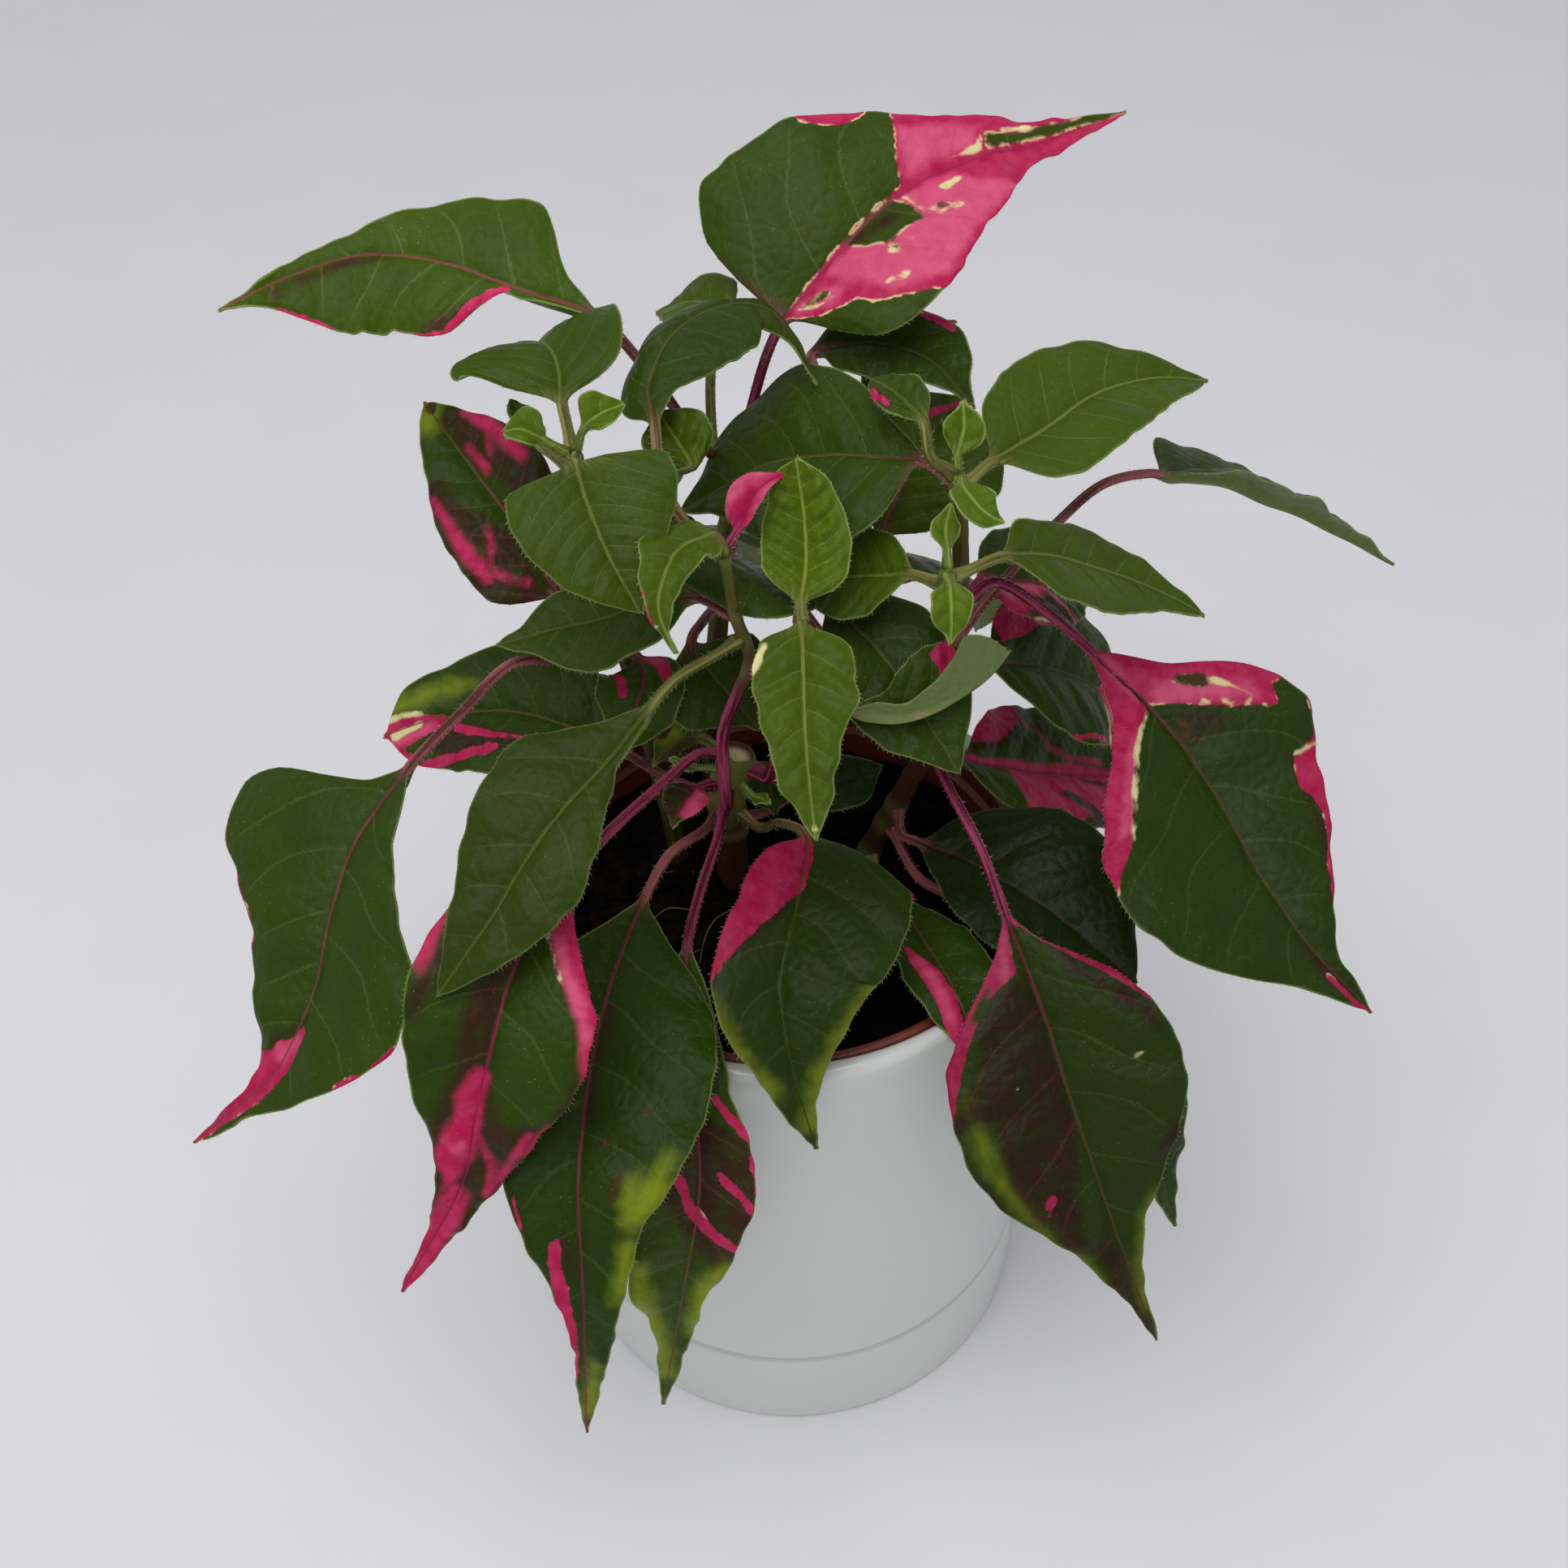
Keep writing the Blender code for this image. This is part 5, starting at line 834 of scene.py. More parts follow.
def blade_height(leaf, blade, seed, s, share, v, full, length):
    """How far the upper skin stands over the midrib's line, and the phase of the side veins there."""
    reach = np.abs(v) * full
    lift = np.radians(np.where(v < 0, *leaf["fold"]))
    height = np.sin(lift) * (np.sqrt(reach ** 2 + CREASE_RADIUS ** 2) - CREASE_RADIUS)
    height = height + blade.camber * full * 4 * np.abs(v) * (1 - np.abs(v))

    # Edges that wave up and down, and halves that sway
    wave = leaf["wave"] * blade.edge_wave / MM
    flank = np.where(v < 0, waves(s, LEFT_WAVES, seed + 2), waves(s, RIGHT_WAVES, seed + 3))
    free = ease(share, 0.04, 0.2) * (1 - 0.7 * ease(share, 0.85, 1.0))
    height = height + wave * np.abs(v) ** 2.5 * flank * free
    height = height + SWAY * wave * waves(s + SWAY_SLANT * v * full, SWAY_WAVES, seed + 4) * free

    # Tissue that swells between the side veins, small blisters, and the sunken midrib
    spacing = np.clip(length / VEIN_PAIRS, *VEIN_SPACING)
    phase = (s - VEIN_SLOPE * reach - VEIN_BOW * reach * np.abs(v)) / spacing
    phase = phase + np.where(v > 0, VEIN_STAGGER, 0.0)
    phase = phase + VEIN_SHAKE * waves(s, VEIN_SHAKE_WAVES, seed + 5)
    relief = leaf["pucker"] * blade.vein_relief / MM
    quilt = (0.5 - 0.5 * np.cos(2 * math.pi * phase)) ** QUILT_FULLNESS * ease(reach, 0.3, 2.5)
    height = height + relief * quilt * (1 - ease(np.abs(v), 0.7, 1.0)) * ease(share, 0.02, 0.12)
    first, second, third, fourth = BLISTER_WAVES
    blister = np.sin(2 * math.pi * (s / first + reach / second))
    blister = blister * np.sin(2 * math.pi * (v * full / third - s / fourth))
    height = height + BLISTER * relief * blister * ease(reach, 0.5, 3.0) * (1 - ease(np.abs(v), 0.8, 1.0))
    return height - RIB_GROOVE * np.exp(-(reach / RIB_GROOVE_WIDTH) ** 2) * (1 - share) ** 0.5, phase


def leaf_surface(leaf, seed, blade):
    """Upper and lower skin of one leaf as grids of points, with the places that its markings are read at."""
    curve, base = leaf_path(leaf)
    at = lengths(curve)
    length = at[-1] - base
    middle = int(np.argmin(abs(at - (base + FACE_FRACTION * length))))
    across, normal = carried_frames(curve, middle, leaf["face"])
    stalk_rows = max(LEAST_STALK_ROWS, int(base / STALK_STEP))
    blade_rows = max(LEAST_BLADE_ROWS, int(length / BLADE_STEP))
    rows = np.concatenate([np.linspace(0, base, stalk_rows, endpoint=False),
                           np.linspace(base, at[-1], blade_rows)])
    centre = read_rows(curve, at, rows)
    side = unit(read_rows(across, at, rows))
    up = unit(read_rows(normal, at, rows))
    s = (rows - base)[:, None]
    share = np.clip(s / length, 0, 1)

    v = lane_places()[None, :]
    uneven = EDGE_UNEVEN * leaf["uneven"] * ease(share, 0.05, 0.25) * (1 - ease(share, 0.85, 1.0))
    drip = 1 - DRIP_TIP * ease(share, 0.96, 1.0)
    left, right = [outline_width(leaf, key, length, share) * drip + uneven * waves(s, EDGE_WAVES, seed + i)
                   for i, key in enumerate(("left", "right"))]
    full = np.where(v < 0, left, right)
    reach = np.abs(v) * full
    height, phase = blade_height(leaf, blade, seed, s, share, v, full, length)
    out = np.sign(v) * reach * np.cos(np.radians(np.where(v < 0, *leaf["fold"])))
    upper = centre[:, None] + side[:, None] * out[..., None] + up[:, None] * height[..., None]

    # The lower skin lies one blade's thickness under the upper one, with the midrib's keel on it
    radius = leaf["stalk_radius"]
    keel = (2 * radius - blade.thickness / MM) * (1 - share) ** KEEL_TAPER + RIB_TIP_KEEL
    at_base, at_tip = KEEL_WIDTHS
    keel_width = radius * (at_base - (at_base - at_tip) * share)
    thick = blade.thickness / MM * (1 - EDGE_THINNING * np.abs(v) ** 8)
    thick = thick + keel * np.exp(-(reach / keel_width) ** 2)
    lower = upper - skin_normals(upper) * thick[..., None]

    taper = radius * (1 + STALK_FLARE * (1 - ease(rows, 0.0, STALK_FLARE_LENGTH)))
    round_upper, round_lower = round_section(centre, side, up, taper, v.shape[1])
    flat = ease(s, -BLEND_BEFORE, BLEND_AFTER)[..., None]
    upper = round_upper * (1 - flat) + upper * flat
    lower = round_lower * (1 - flat) + lower * flat
    places = dict(s=s + 0 * v, t=np.sign(v) * reach, edge=full - reach, phase=phase,
                  stalk=1 - flat[..., 0] + 0 * v, share=share + 0 * v)
    return upper, lower, places


def skin_normals(skin):
    """Which way a grid of points looks at each of them."""
    return unit(np.cross(np.gradient(skin, axis=1), np.gradient(skin, axis=0)))


def gap_to_line(s, t, start, end):
    """How far points on the blade are from a straight line, and how far along it they pass, 0 to 1."""
    s_run, t_run = end[0] - start[0], end[1] - start[1]
    square = max(s_run ** 2 + t_run ** 2, 1e-9)
    along = np.clip(((s - start[0]) * s_run + (t - start[1]) * t_run) / square, 0, 1)
    return np.hypot(s - start[0] - along * s_run, t - start[1] - along * t_run), along


def stroke_depth(stroke, s, t):
    """How deep each point lies inside a brush stroke of points and radii, negative outside."""
    depth = np.full(s.shape, -FAR_OUTSIDE)
    ends = stroke if len(stroke) > 1 else stroke * 2
    for start, end in zip(ends, ends[1:]):
        gap, along = gap_to_line(s, t, start, end)
        depth = np.maximum(depth, start[2] + (end[2] - start[2]) * along - gap)
    return depth


def patch_depth(patch, s, t):
    """How deep each point lies inside a patch with straight sides, negative outside."""
    gap = np.full(s.shape, FAR_OUTSIDE)
    inside = np.zeros(s.shape, bool)
    for start, end in zip(patch, patch[1:] + patch[:1]):
        gap = np.minimum(gap, gap_to_line(s, t, start, end)[0])
        if start[0] != end[0]:
            crossing = start[1] + (s - start[0]) / (end[0] - start[0]) * (end[1] - start[1])
            inside ^= ((start[0] > s) != (end[0] > s)) & (t < crossing)
    return np.where(inside, gap, -gap)


def mark_depth(marks, s, t):
    """How deep each point lies inside any of a leaf's patches and brush strokes, in mm, negative outside."""
    depths = [(stroke_depth if len(mark[0]) == 3 else patch_depth)(mark, s, t) for mark in marks]
    return np.max([np.full(s.shape, -FAR_OUTSIDE), *depths], axis=0)


def ring_faces(rings, count):
    """Quads between closed rings of points, and a strip that closes the first and the last ring."""
    faces = []
    for here in range(0, (rings - 1) * count, count):
        there = here + count
        faces += [(here + i, here + (i + 1) % count, there + (i + 1) % count, there + i)
                  for i in range(count)]
    for start, step in ((0, -1), ((rings - 1) * count, 1)):
        faces += [(start + i, start + i + 1, start + count - 2 - i, start + count - 1 - i)[::step]
                  for i in range(count // 2 - 1)]
    return faces


def skin_mesh(name, points, faces):
    """A smooth mesh of points in millimetres."""
    mesh = bpy.data.meshes.new(name)
    mesh.from_pydata((np.reshape(points, (-1, 3)) * MM).tolist(), [], faces)
    mesh.shade_smooth()
    return mesh


def worked_mesh(name, work):
    """A mesh of what was worked out in a bmesh, which is then let go."""
    mesh = bpy.data.meshes.new(name)
    work.to_mesh(mesh)
    work.free()
    return mesh


def write_field(mesh, name, *values):
    """Three numbers stored at each point of the mesh, for its material to read."""
    field = mesh.attributes.new(name, "FLOAT_VECTOR", "POINT")
    rows = np.stack(np.broadcast_arrays(*values), -1).astype(np.float32)
    field.data.foreach_set("vector", rows.ravel())


def leaf_mesh(name, leaf, number, blade):
    """The closed mesh of one leaf with its places and markings."""
    upper, lower, at = leaf_surface(leaf, SEED + number * 7, blade)
    rings = np.concatenate([upper, lower[:, ::-1]], axis=1)
    mesh = skin_mesh(name, rings, ring_faces(*rings.shape[:2]))
    both = {key: np.concatenate([field, field[:, ::-1]], axis=1).ravel() for key, field in at.items()}
    under = np.concatenate([np.zeros(upper.shape[:2]), np.ones(upper.shape[:2])], axis=1).ravel()
    marks = {kind: mark_depth(leaf.get(kind, []), both["s"], both["t"]) for kind in MARKINGS}
    fading = ease(both["share"], 0.0, leaf["rib_fade"])
    red = leaf["stalk_red"] + (leaf["rib_red"] - leaf["stalk_red"]) * fading
    write_field(mesh, "leaf_place", both["s"] + number * LEAF_OFFSET, both["t"], both["edge"])
    write_field(mesh, "leaf_tone", leaf["age"], under, red)
    write_field(mesh, "leaf_marks", marks["pink"], marks["wine"], marks["isle"])
    write_field(mesh, "leaf_lights", marks["cream"], marks["lime"], both["phase"])
    write_field(mesh, "leaf_stalk", both["stalk"], leaf["border"], both["share"])
    # The third number is the share of the colour that stays: partly the leaf's own tone, partly painted
    # shade
    write_field(mesh, "leaf_spots", marks["rose"], marks["brown"], 1 - leaf["dark"])
    return mesh, upper, lower, at


def hair_mesh(name, upper, lower, at, blade, seed):
    """Short tapered hairs along both edges of a leaf and around its stalk."""
    draw = np.random.default_rng(seed)
    ahead = unit(np.gradient(upper, axis=0))
    roots, ways = [], []
    for edge, inner in ((0, 1), (-1, -2)):
        rim = (upper[:, edge] + lower[:, edge]) / 2
        length = lengths(rim)
        places = np.arange(0, length[-1], blade.hair_gap / MM)
        rows = np.searchsorted(length, places + draw.uniform(0, 0.5, len(places))).clip(0, len(rim) - 1)
        roots.append(rim[rows])
        ways.append(unit(rim - upper[:, inner])[rows] + HAIR_LEAN_EDGE * ahead[rows, edge])
    bare = np.flatnonzero(at["stalk"][:, 0] > 0.5)
    rows = draw.choice(bare, HAIRS_PER_STALK_ROW * len(bare))
    lanes = draw.integers(0, upper.shape[1], len(rows))
    above = draw.random(len(rows)) < 0.5
    skin = np.where(above[:, None], upper[rows, lanes], lower[rows, lanes])
    middle = (upper[rows].mean(axis=1) + lower[rows].mean(axis=1)) / 2
    roots.append(skin)
    ways.append(unit(skin - middle) + HAIR_LEAN_STALK * ahead[rows, lanes])
    root = np.concatenate(roots)
    way = unit(np.concatenate(ways) + draw.normal(0, HAIR_SCATTER, root.shape))
    long = blade.hair_length / MM * draw.uniform(HAIR_SHORTEST, 1.0, (len(root), 1))
    side = unit(np.cross(way, draw.normal(size=root.shape)))
    other = np.cross(way, side)
    turns = [2 * math.pi * corner / 3 for corner in range(3)]
    around = [HAIR_RADIUS * (side * math.cos(turn) + other * math.sin(turn)) for turn in turns]
    middle = root + way * long * HAIR_MIDDLE
    tip = root + way * long + side * long * HAIR_BEND
    points = np.stack([root - HAIR_SUNK * way + step for step in around]
                      + [middle + HAIR_MIDDLE_WIDTH * step for step in around] + [tip], axis=1)
    shape = [(i, (i + 1) % 3, 3 + (i + 1) % 3, 3 + i) for i in range(3)]
    shape += [(3 + i, 3 + (i + 1) % 3, 6) for i in range(3)] + [(2, 1, 0)]
    faces = [tuple(hair * 7 + corner for corner in face) for hair in range(len(root)) for face in shape]
    return skin_mesh(name, points, faces)


def drop_mesh(name, drops, upper, at):
    """Water drops that sit on a blade, each a flattened ball partly sunk in the surface."""
    skin = skin_normals(upper)
    work = bmesh.new()
    for along, across, radius in drops:
        seat = np.unravel_index(np.argmin(np.hypot(at["s"] - along, at["t"] - across)), at["s"].shape)
        turn = Vector(skin[seat]).to_track_quat("Z", "Y").to_matrix()
        for vert in bmesh.ops.create_icosphere(work, subdivisions=3, radius=radius)["verts"]:
            flat = Vector((vert.co.x, vert.co.y, vert.co.z * DROP_FLATNESS))
            vert.co = (Vector(upper[seat]) + turn @ (flat + Vector((0, 0, DROP_RISE * radius)))) * MM
    mesh = worked_mesh(name, work)
    mesh.shade_smooth()
    return mesh


def ribbed_tube(line, radii, seed, ridges, swellings):
    """Rings of a stem: softly ribbed, swollen where its leaves leave it, with places for its markings."""
    at = lengths(line)
    rows = np.linspace(0, at[-1], max(LEAST_STEM_ROWS, int(at[-1] / STEM_STEP)))
    across, normal = carried_frames(line, 0, STEM_FACE)
    centre = read_rows(line, at, rows)
    side = unit(read_rows(across, at, rows))
    up = unit(read_rows(normal, at, rows))
    turn = np.linspace(0, 2 * math.pi, STEM_SIDES, endpoint=False)[None, :]
    radius = np.interp(rows, at, radii)[:, None]
    ribs = ridges * np.cos(STEM_RIBS * turn + STEM_TWIST * rows[:, None])
    knots = sum((np.exp(-((rows - knot) / KNOT_LENGTH) ** 2) for knot in swellings), np.zeros(len(rows)))
    knots = np.minimum(knots, 1.0)[:, None]
    wobble = STEM_WOBBLE * waves(rows, STEM_WAVES, seed)
    shape = radius * (1 + ribs + KNOT_SWELL * knots + wobble[:, None])
    places = dict(s=rows[:, None] + 0 * turn, t=radius * turn, knot=knots + 0 * turn,
                  share=rows[:, None] / at[-1] + 0 * turn)
    return ring_points(centre, side, up, shape, turn), places


def stem_line(spec):
    """The stem's middle line and its radius at each point, sunk into what it grows from."""
    points = list(spec["points"])
    if spec["grows_from"] != "soil":
        root, out = leave_stem(spec["grows_from"], points[0])
        points = [tuple(root - out * (GAP + SHOOT_SUNK)), tuple(root + out * STALK_LEAD)] + points
    line = smooth_curve(points)
    bottom, top = np.array(spec["radius"]) * spec.get("slim", 1.0)
    return line, bottom + (top - bottom) * lengths(line) / lengths(line)[-1]


def stem_knots(line, stem):
    """How far along a stem each leaf and shoot leaves it."""
    ways = [(leaf.get("stalk", []) + leaf["rib"])[0] for leaf in LEAVES.values() if leaf["stem"] == stem]
    ways += [spec["points"][0] for spec in STEMS.values() if spec["grows_from"] == stem]
    return [lengths(line)[nearest_row(line, way)] for way in ways]


def stem_mesh(stem, number, settings):
    """One stem with a dome at its growing tip, or with the dry ring and pith of a cut at its top."""
    spec = STEMS[stem]
    line, radii = stem_line(spec)
    points, at = ribbed_tube(line, radii, SEED + number, settings.rib_depth, stem_knots(line, stem))
    top = points[-1].mean(axis=0)
    ahead = unit(line[-1] - line[-2])
    steps = CUT_RINGS if stem == CUT_STEM else DOME_RINGS
    lid = [top + (points[-1] - top) * wide + ahead * rise * radii[-1] for wide, rise in steps]
    rings = np.concatenate([points, np.array(lid)])
    mesh = skin_mesh(stem, rings, ring_faces(*rings.shape[:2]))
    along, around, knot, share = [
        np.concatenate([at[key], np.repeat(at[key][-1:], len(steps), axis=0)]).ravel()
        for key in ("s", "t", "knot", "share")]
    cut = np.zeros(rings.shape[:2])
    if stem == CUT_STEM:
        cut[-len(steps):] = [[1 - wide] for wide, rise in steps]
    write_field(mesh, "stem_place", along + number * LEAF_OFFSET, around, share)
    write_field(mesh, "stem_tone", spec["red"], knot, cut.ravel())
    write_field(mesh, "stem_flush", 1 - ease(share, *spec.get("pink", (0.0, 0.01))), 0.0, 0.0)
    return mesh


def mesh_object(name, mesh):
    """An object in the scene that shows a mesh."""
    made = bpy.data.objects.new(name, mesh)
    bpy.context.scene.collection.objects.link(made)
    return made


def joined(name, meshes):
    """One object out of several meshes, each with the materials it already has."""
    made = [mesh_object(f"{name}_{index}", mesh) for index, mesh in enumerate(meshes)]
    bpy.ops.object.select_all(action="DESELECT")
    for item in made:
        item.select_set(True)
    bpy.context.view_layer.objects.active = made[0]
    if len(made) > 1:
        bpy.ops.object.join()
    made[0].name = name
    made[0].data.name = name
    return made[0]


def place_piece(piece, node):
    """The piece rides with the plant and stands for its plain solid, which is hidden."""
    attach(piece, BODY)
    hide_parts(node)


def arc(middle_radius, middle_height, size, start, end, steps):
    """Points on a round edge of a profile, with its angles in degrees from straight out."""
    turns = [math.radians(start + (end - start) * i / steps) for i in range(steps + 1)]
    return [(middle_radius + size * math.cos(t), middle_height + size * math.sin(t)) for t in turns]


def turned(name, outline):
    """A profile, down its outer side and back up its inner one, turned about the Z axis."""
    work = bmesh.new()
    verts = [work.verts.new((radius * MM, 0.0, height * MM)) for radius, height in outline]
    edges = [work.edges.new(pair) for pair in zip(verts, verts[1:])]
    bmesh.ops.spin(work, geom=verts + edges, cent=(0, 0, 0), axis=(0, 0, 1), angle=2 * math.pi,
                   steps=TURN_SEGMENTS, use_merge=True)
    bmesh.ops.remove_doubles(work, verts=work.verts, dist=WELD_DISTANCE)
    bmesh.ops.recalc_face_normals(work, faces=work.faces)
    mesh = worked_mesh(name, work)
    mesh.shade_smooth()
    mesh.set_sharp_from_angle(angle=math.radians(SHARP_ANGLE))
    return mesh_object(name, mesh)


def cover_pot_outline(pot):
    """Cylinder with a rounded swollen lip, a thrown groove above the foot and a small foot bevel."""
    lip = (POT_WALL + POT_LIP_SWELL) / 2
    inside = POT_RADIUS - POT_WALL
    corner = inside - POT_INNER_CORNER
    outline = [(0.0, POT_FLOOR), (corner, POT_FLOOR)]
    outline += arc(corner, POT_FLOOR + POT_INNER_CORNER, POT_INNER_CORNER, -90, 0, CORNER_STEPS)
    outline += [(inside, POT_HEIGHT - POT_LIP_BLEND)]
    outline += arc(POT_RADIUS + POT_LIP_SWELL - lip, POT_HEIGHT - lip, lip, 180, 0, LIP_STEPS)
    for step in range(1, LIP_BLEND_STEPS + 1):
        share = step / LIP_BLEND_STEPS
        swell = POT_LIP_SWELL * (1 - float(ease(share, 0.0, 1.0)))
        outline.append((POT_RADIUS + swell, POT_HEIGHT - lip - POT_LIP_BLEND * share))
    for step in range(GROOVE_STEPS + 1):
        offset = 2 * (step / GROOVE_STEPS) - 1
        depth = pot.groove_depth / MM * math.cos(offset * math.pi / 2) ** 2
        outline.append((POT_RADIUS - depth, POT_GROOVE_HEIGHT - offset * (pot.groove_width / MM)))
    outline += arc(POT_RADIUS - POT_FOOT_BEVEL, POT_FOOT_BEVEL, POT_FOOT_BEVEL, 0, -90, CORNER_STEPS)
    return outline + [(0.0, 0.0)]


def nursery_pot_outline():
    """Thin moulded wall with a rolled rim that stands a little below the cover pot's lip."""
    bottom = POT_FLOOR + GAP
    rim_inner = NURSERY_RIM_RADIUS - NURSERY_RIM_WALL
    edge = NURSERY_RIM_WALL / 2
    outline = [
        (0.0, bottom + NURSERY_WALL),
        (NURSERY_BASE_RADIUS - NURSERY_WALL, bottom + NURSERY_WALL),
        (NURSERY_NECK_RADIUS - NURSERY_WALL, NURSERY_RIM_LOW),
        (rim_inner, NURSERY_RIM_LOW + 2 * NURSERY_RIM_EASE),
    ]
    outline += arc(rim_inner + edge, POT_HEIGHT - NURSERY_RIM_DROP - edge, edge, 180, 0, ROLLED_RIM_STEPS)
    outline += [
        (NURSERY_RIM_RADIUS, NURSERY_RIM_LOW + NURSERY_RIM_EASE),
        (NURSERY_RIM_RADIUS - NURSERY_RIM_EASE, NURSERY_RIM_LOW),
        (NURSERY_NECK_RADIUS, NURSERY_RIM_LOW),
        (NURSERY_BASE_RADIUS, bottom),
        (0.0, bottom),
    ]
    return outline


def soil_edge(height):
    """The soil's radius at a height, just inside the nursery pot's tapered wall."""
    slope = (NURSERY_NECK_RADIUS - NURSERY_BASE_RADIUS) / (NURSERY_RIM_LOW - POT_FLOOR - GAP)
    return SOIL_RADIUS - slope * (SOIL_TOP - height)


def soil_height(x, y, soil):
    """The soil's surface: a low dome with lumps of peat in three sizes."""
    place = Vector((x, y, 0.0))
    lumps = sum(strength * noise.noise(place / size) for size, strength in SOIL_LUMPS)
    middle = 1 - (math.hypot(x, y) / soil_edge(SOIL_TOP)) ** 2
    return SOIL_TOP + SOIL_MIDDLE_RISE * middle + soil.lump_height / MM * lumps - SOIL_SETTLED


def soil_mesh(name, soil):
    """Peat with a lumpy top, as one closed solid that fills the nursery pot."""
    edge = soil_edge(SOIL_TOP)
    low = soil_edge(SOIL_BOTTOM) / edge
    turns = [2 * math.pi * side / SOIL_SIDES for side in range(SOIL_SIDES)]
    radii = [edge * (ring + 1) / SOIL_RINGS for ring in range(SOIL_RINGS)]
    top = [(0.0, 0.0)] + [(radius * math.cos(t), radius * math.sin(t)) for radius in radii for t in turns]
    points = [(x, y, soil_height(x, y, soil)) for x, y in top]
    points += [(x * low, y * low, SOIL_BOTTOM) for x, y in top[-SOIL_SIDES:]] + [(0.0, 0.0, SOIL_BOTTOM)]
    sides = [(side, (side + 1) % SOIL_SIDES) for side in range(SOIL_SIDES)]
    faces = [(0, 1 + this, 1 + after) for this, after in sides]
    for here in range(1, 1 + SOIL_RINGS * SOIL_SIDES, SOIL_SIDES):
        there = here + SOIL_SIDES
        faces += [(here + this, there + this, there + after, here + after) for this, after in sides]
    last = len(points) - 1
    foot = last - SOIL_SIDES
    faces += [(foot + after, foot + this, last) for this, after in sides]
    return skin_mesh(name, points, faces)


def clod_mesh(name, soil):
    """Loose crumbs of peat, half sunk in the soil's surface."""
    draw = np.random.default_rng(SEED)
    work = bmesh.new()
    for _ in range(soil.clods):
        radius = (soil_edge(SOIL_TOP) - CLOD_MARGIN) * math.sqrt(draw.uniform(0.0, 1.0))
        turn = draw.uniform(0, 2 * math.pi)
        x, y = radius * math.cos(turn), radius * math.sin(turn)
        size = draw.uniform(*CLOD_SIZES) ** 1.5
        made = bmesh.ops.create_icosphere(work, subdivisions=2, radius=1.0)["verts"]
        stretch = Vector(draw.uniform(*CLOD_STRETCH, 3))
        spin = Matrix.Rotation(draw.uniform(0, math.pi), 3, Vector(unit(draw.normal(size=3))))
        seat = Vector((x, y, soil_height(x, y, soil) + CLOD_RISE * size))
        for vert in made:
            bumpy = 1 + CLOD_BUMPS * noise.noise(vert.co * CLOD_BUMP_RATE + Vector((x, y, size)))
            vert.co = (seat + spin @ (vert.co * stretch * bumpy * size)) * MM
    return worked_mesh(name, work)


def thread_mesh(name, way, radius):
    """A thin round thread along a smooth line, such as a root or a peat fibre."""
    line = smooth_curve(way, THREAD_STEPS)
    across, normal = carried_frames(line, 0, THREAD_FACE)
    turn = np.linspace(0, 2 * math.pi, THREAD_SIDES, endpoint=False)[None, :]
    share = np.linspace(0, 1, len(line))[:, None]
    wide = radius * (THREAD_END + (1 - THREAD_END) * np.sin(math.pi * (0.15 + 0.7 * share)))
    points = ring_points(line, across, normal, wide, turn)
    return skin_mesh(name, points, ring_faces(len(points), THREAD_SIDES))


def linear(code):
    """A linear colour for an sRGB hex value."""
    parts = [int(code[i:i + 2], 16) / 255 for i in (1, 3, 5)]
    return [part / 12.92 if part <= 0.04045 else ((part + 0.055) / 1.055) ** 2.4 for part in parts]


def add_node(tree, kind, *values, **more):
    """Add a node with its settings and links, and return its first output that is in use.

    The values fill or feed the inputs in use, in their order. A keyword with a capital letter does so for
    the input of that name, and any other keyword is a setting.
    """
    made = tree.nodes.new(f"ShaderNode{kind}")
    for key, value in more.items():
        if key.islower():
            setattr(made, key, value)
    sockets = [item for item in made.inputs if item.enabled]
    named = {item.name.replace(" ", "_"): item for item in sockets}
    pairs = [*zip(sockets, values), *((named[key], more[key]) for key in more if not key.islower())]
    for socket, value in pairs:
        if isinstance(value, bpy.types.NodeSocket):
            tree.links.new(value, socket)
        else:
            socket.default_value = (*value, 1) if isinstance(value, Color) else value
    return next(item for item in made.outputs if item.enabled)


def new_material(name, **constants):
    """A Principled material with the given plain values, and a function that adds nodes to it."""
    made = bpy.data.materials.new(name)
    made.use_nodes = True
    shader = made.node_tree.nodes["Principled BSDF"]
    for key, value in constants.items():
        shader.inputs[key.replace("_", " ")].default_value = value
    return made, partial(add_node, made.node_tree)


def feed(made, **outputs):
    """Link outputs of nodes to the named inputs of the material's shader, and return the material."""
    shader = made.node_tree.nodes["Principled BSDF"]
    for key, output in outputs.items():
        made.node_tree.links.new(output, shader.inputs[key.replace("_", " ")])
    return made


def field(add, name):
    """The three numbers of a field that is stored at a mesh's points, and the vector that they make."""
    source = add("Attribute", attribute_name=name).node.outputs["Vector"]
    return add("SeparateXYZ", source).node.outputs, source


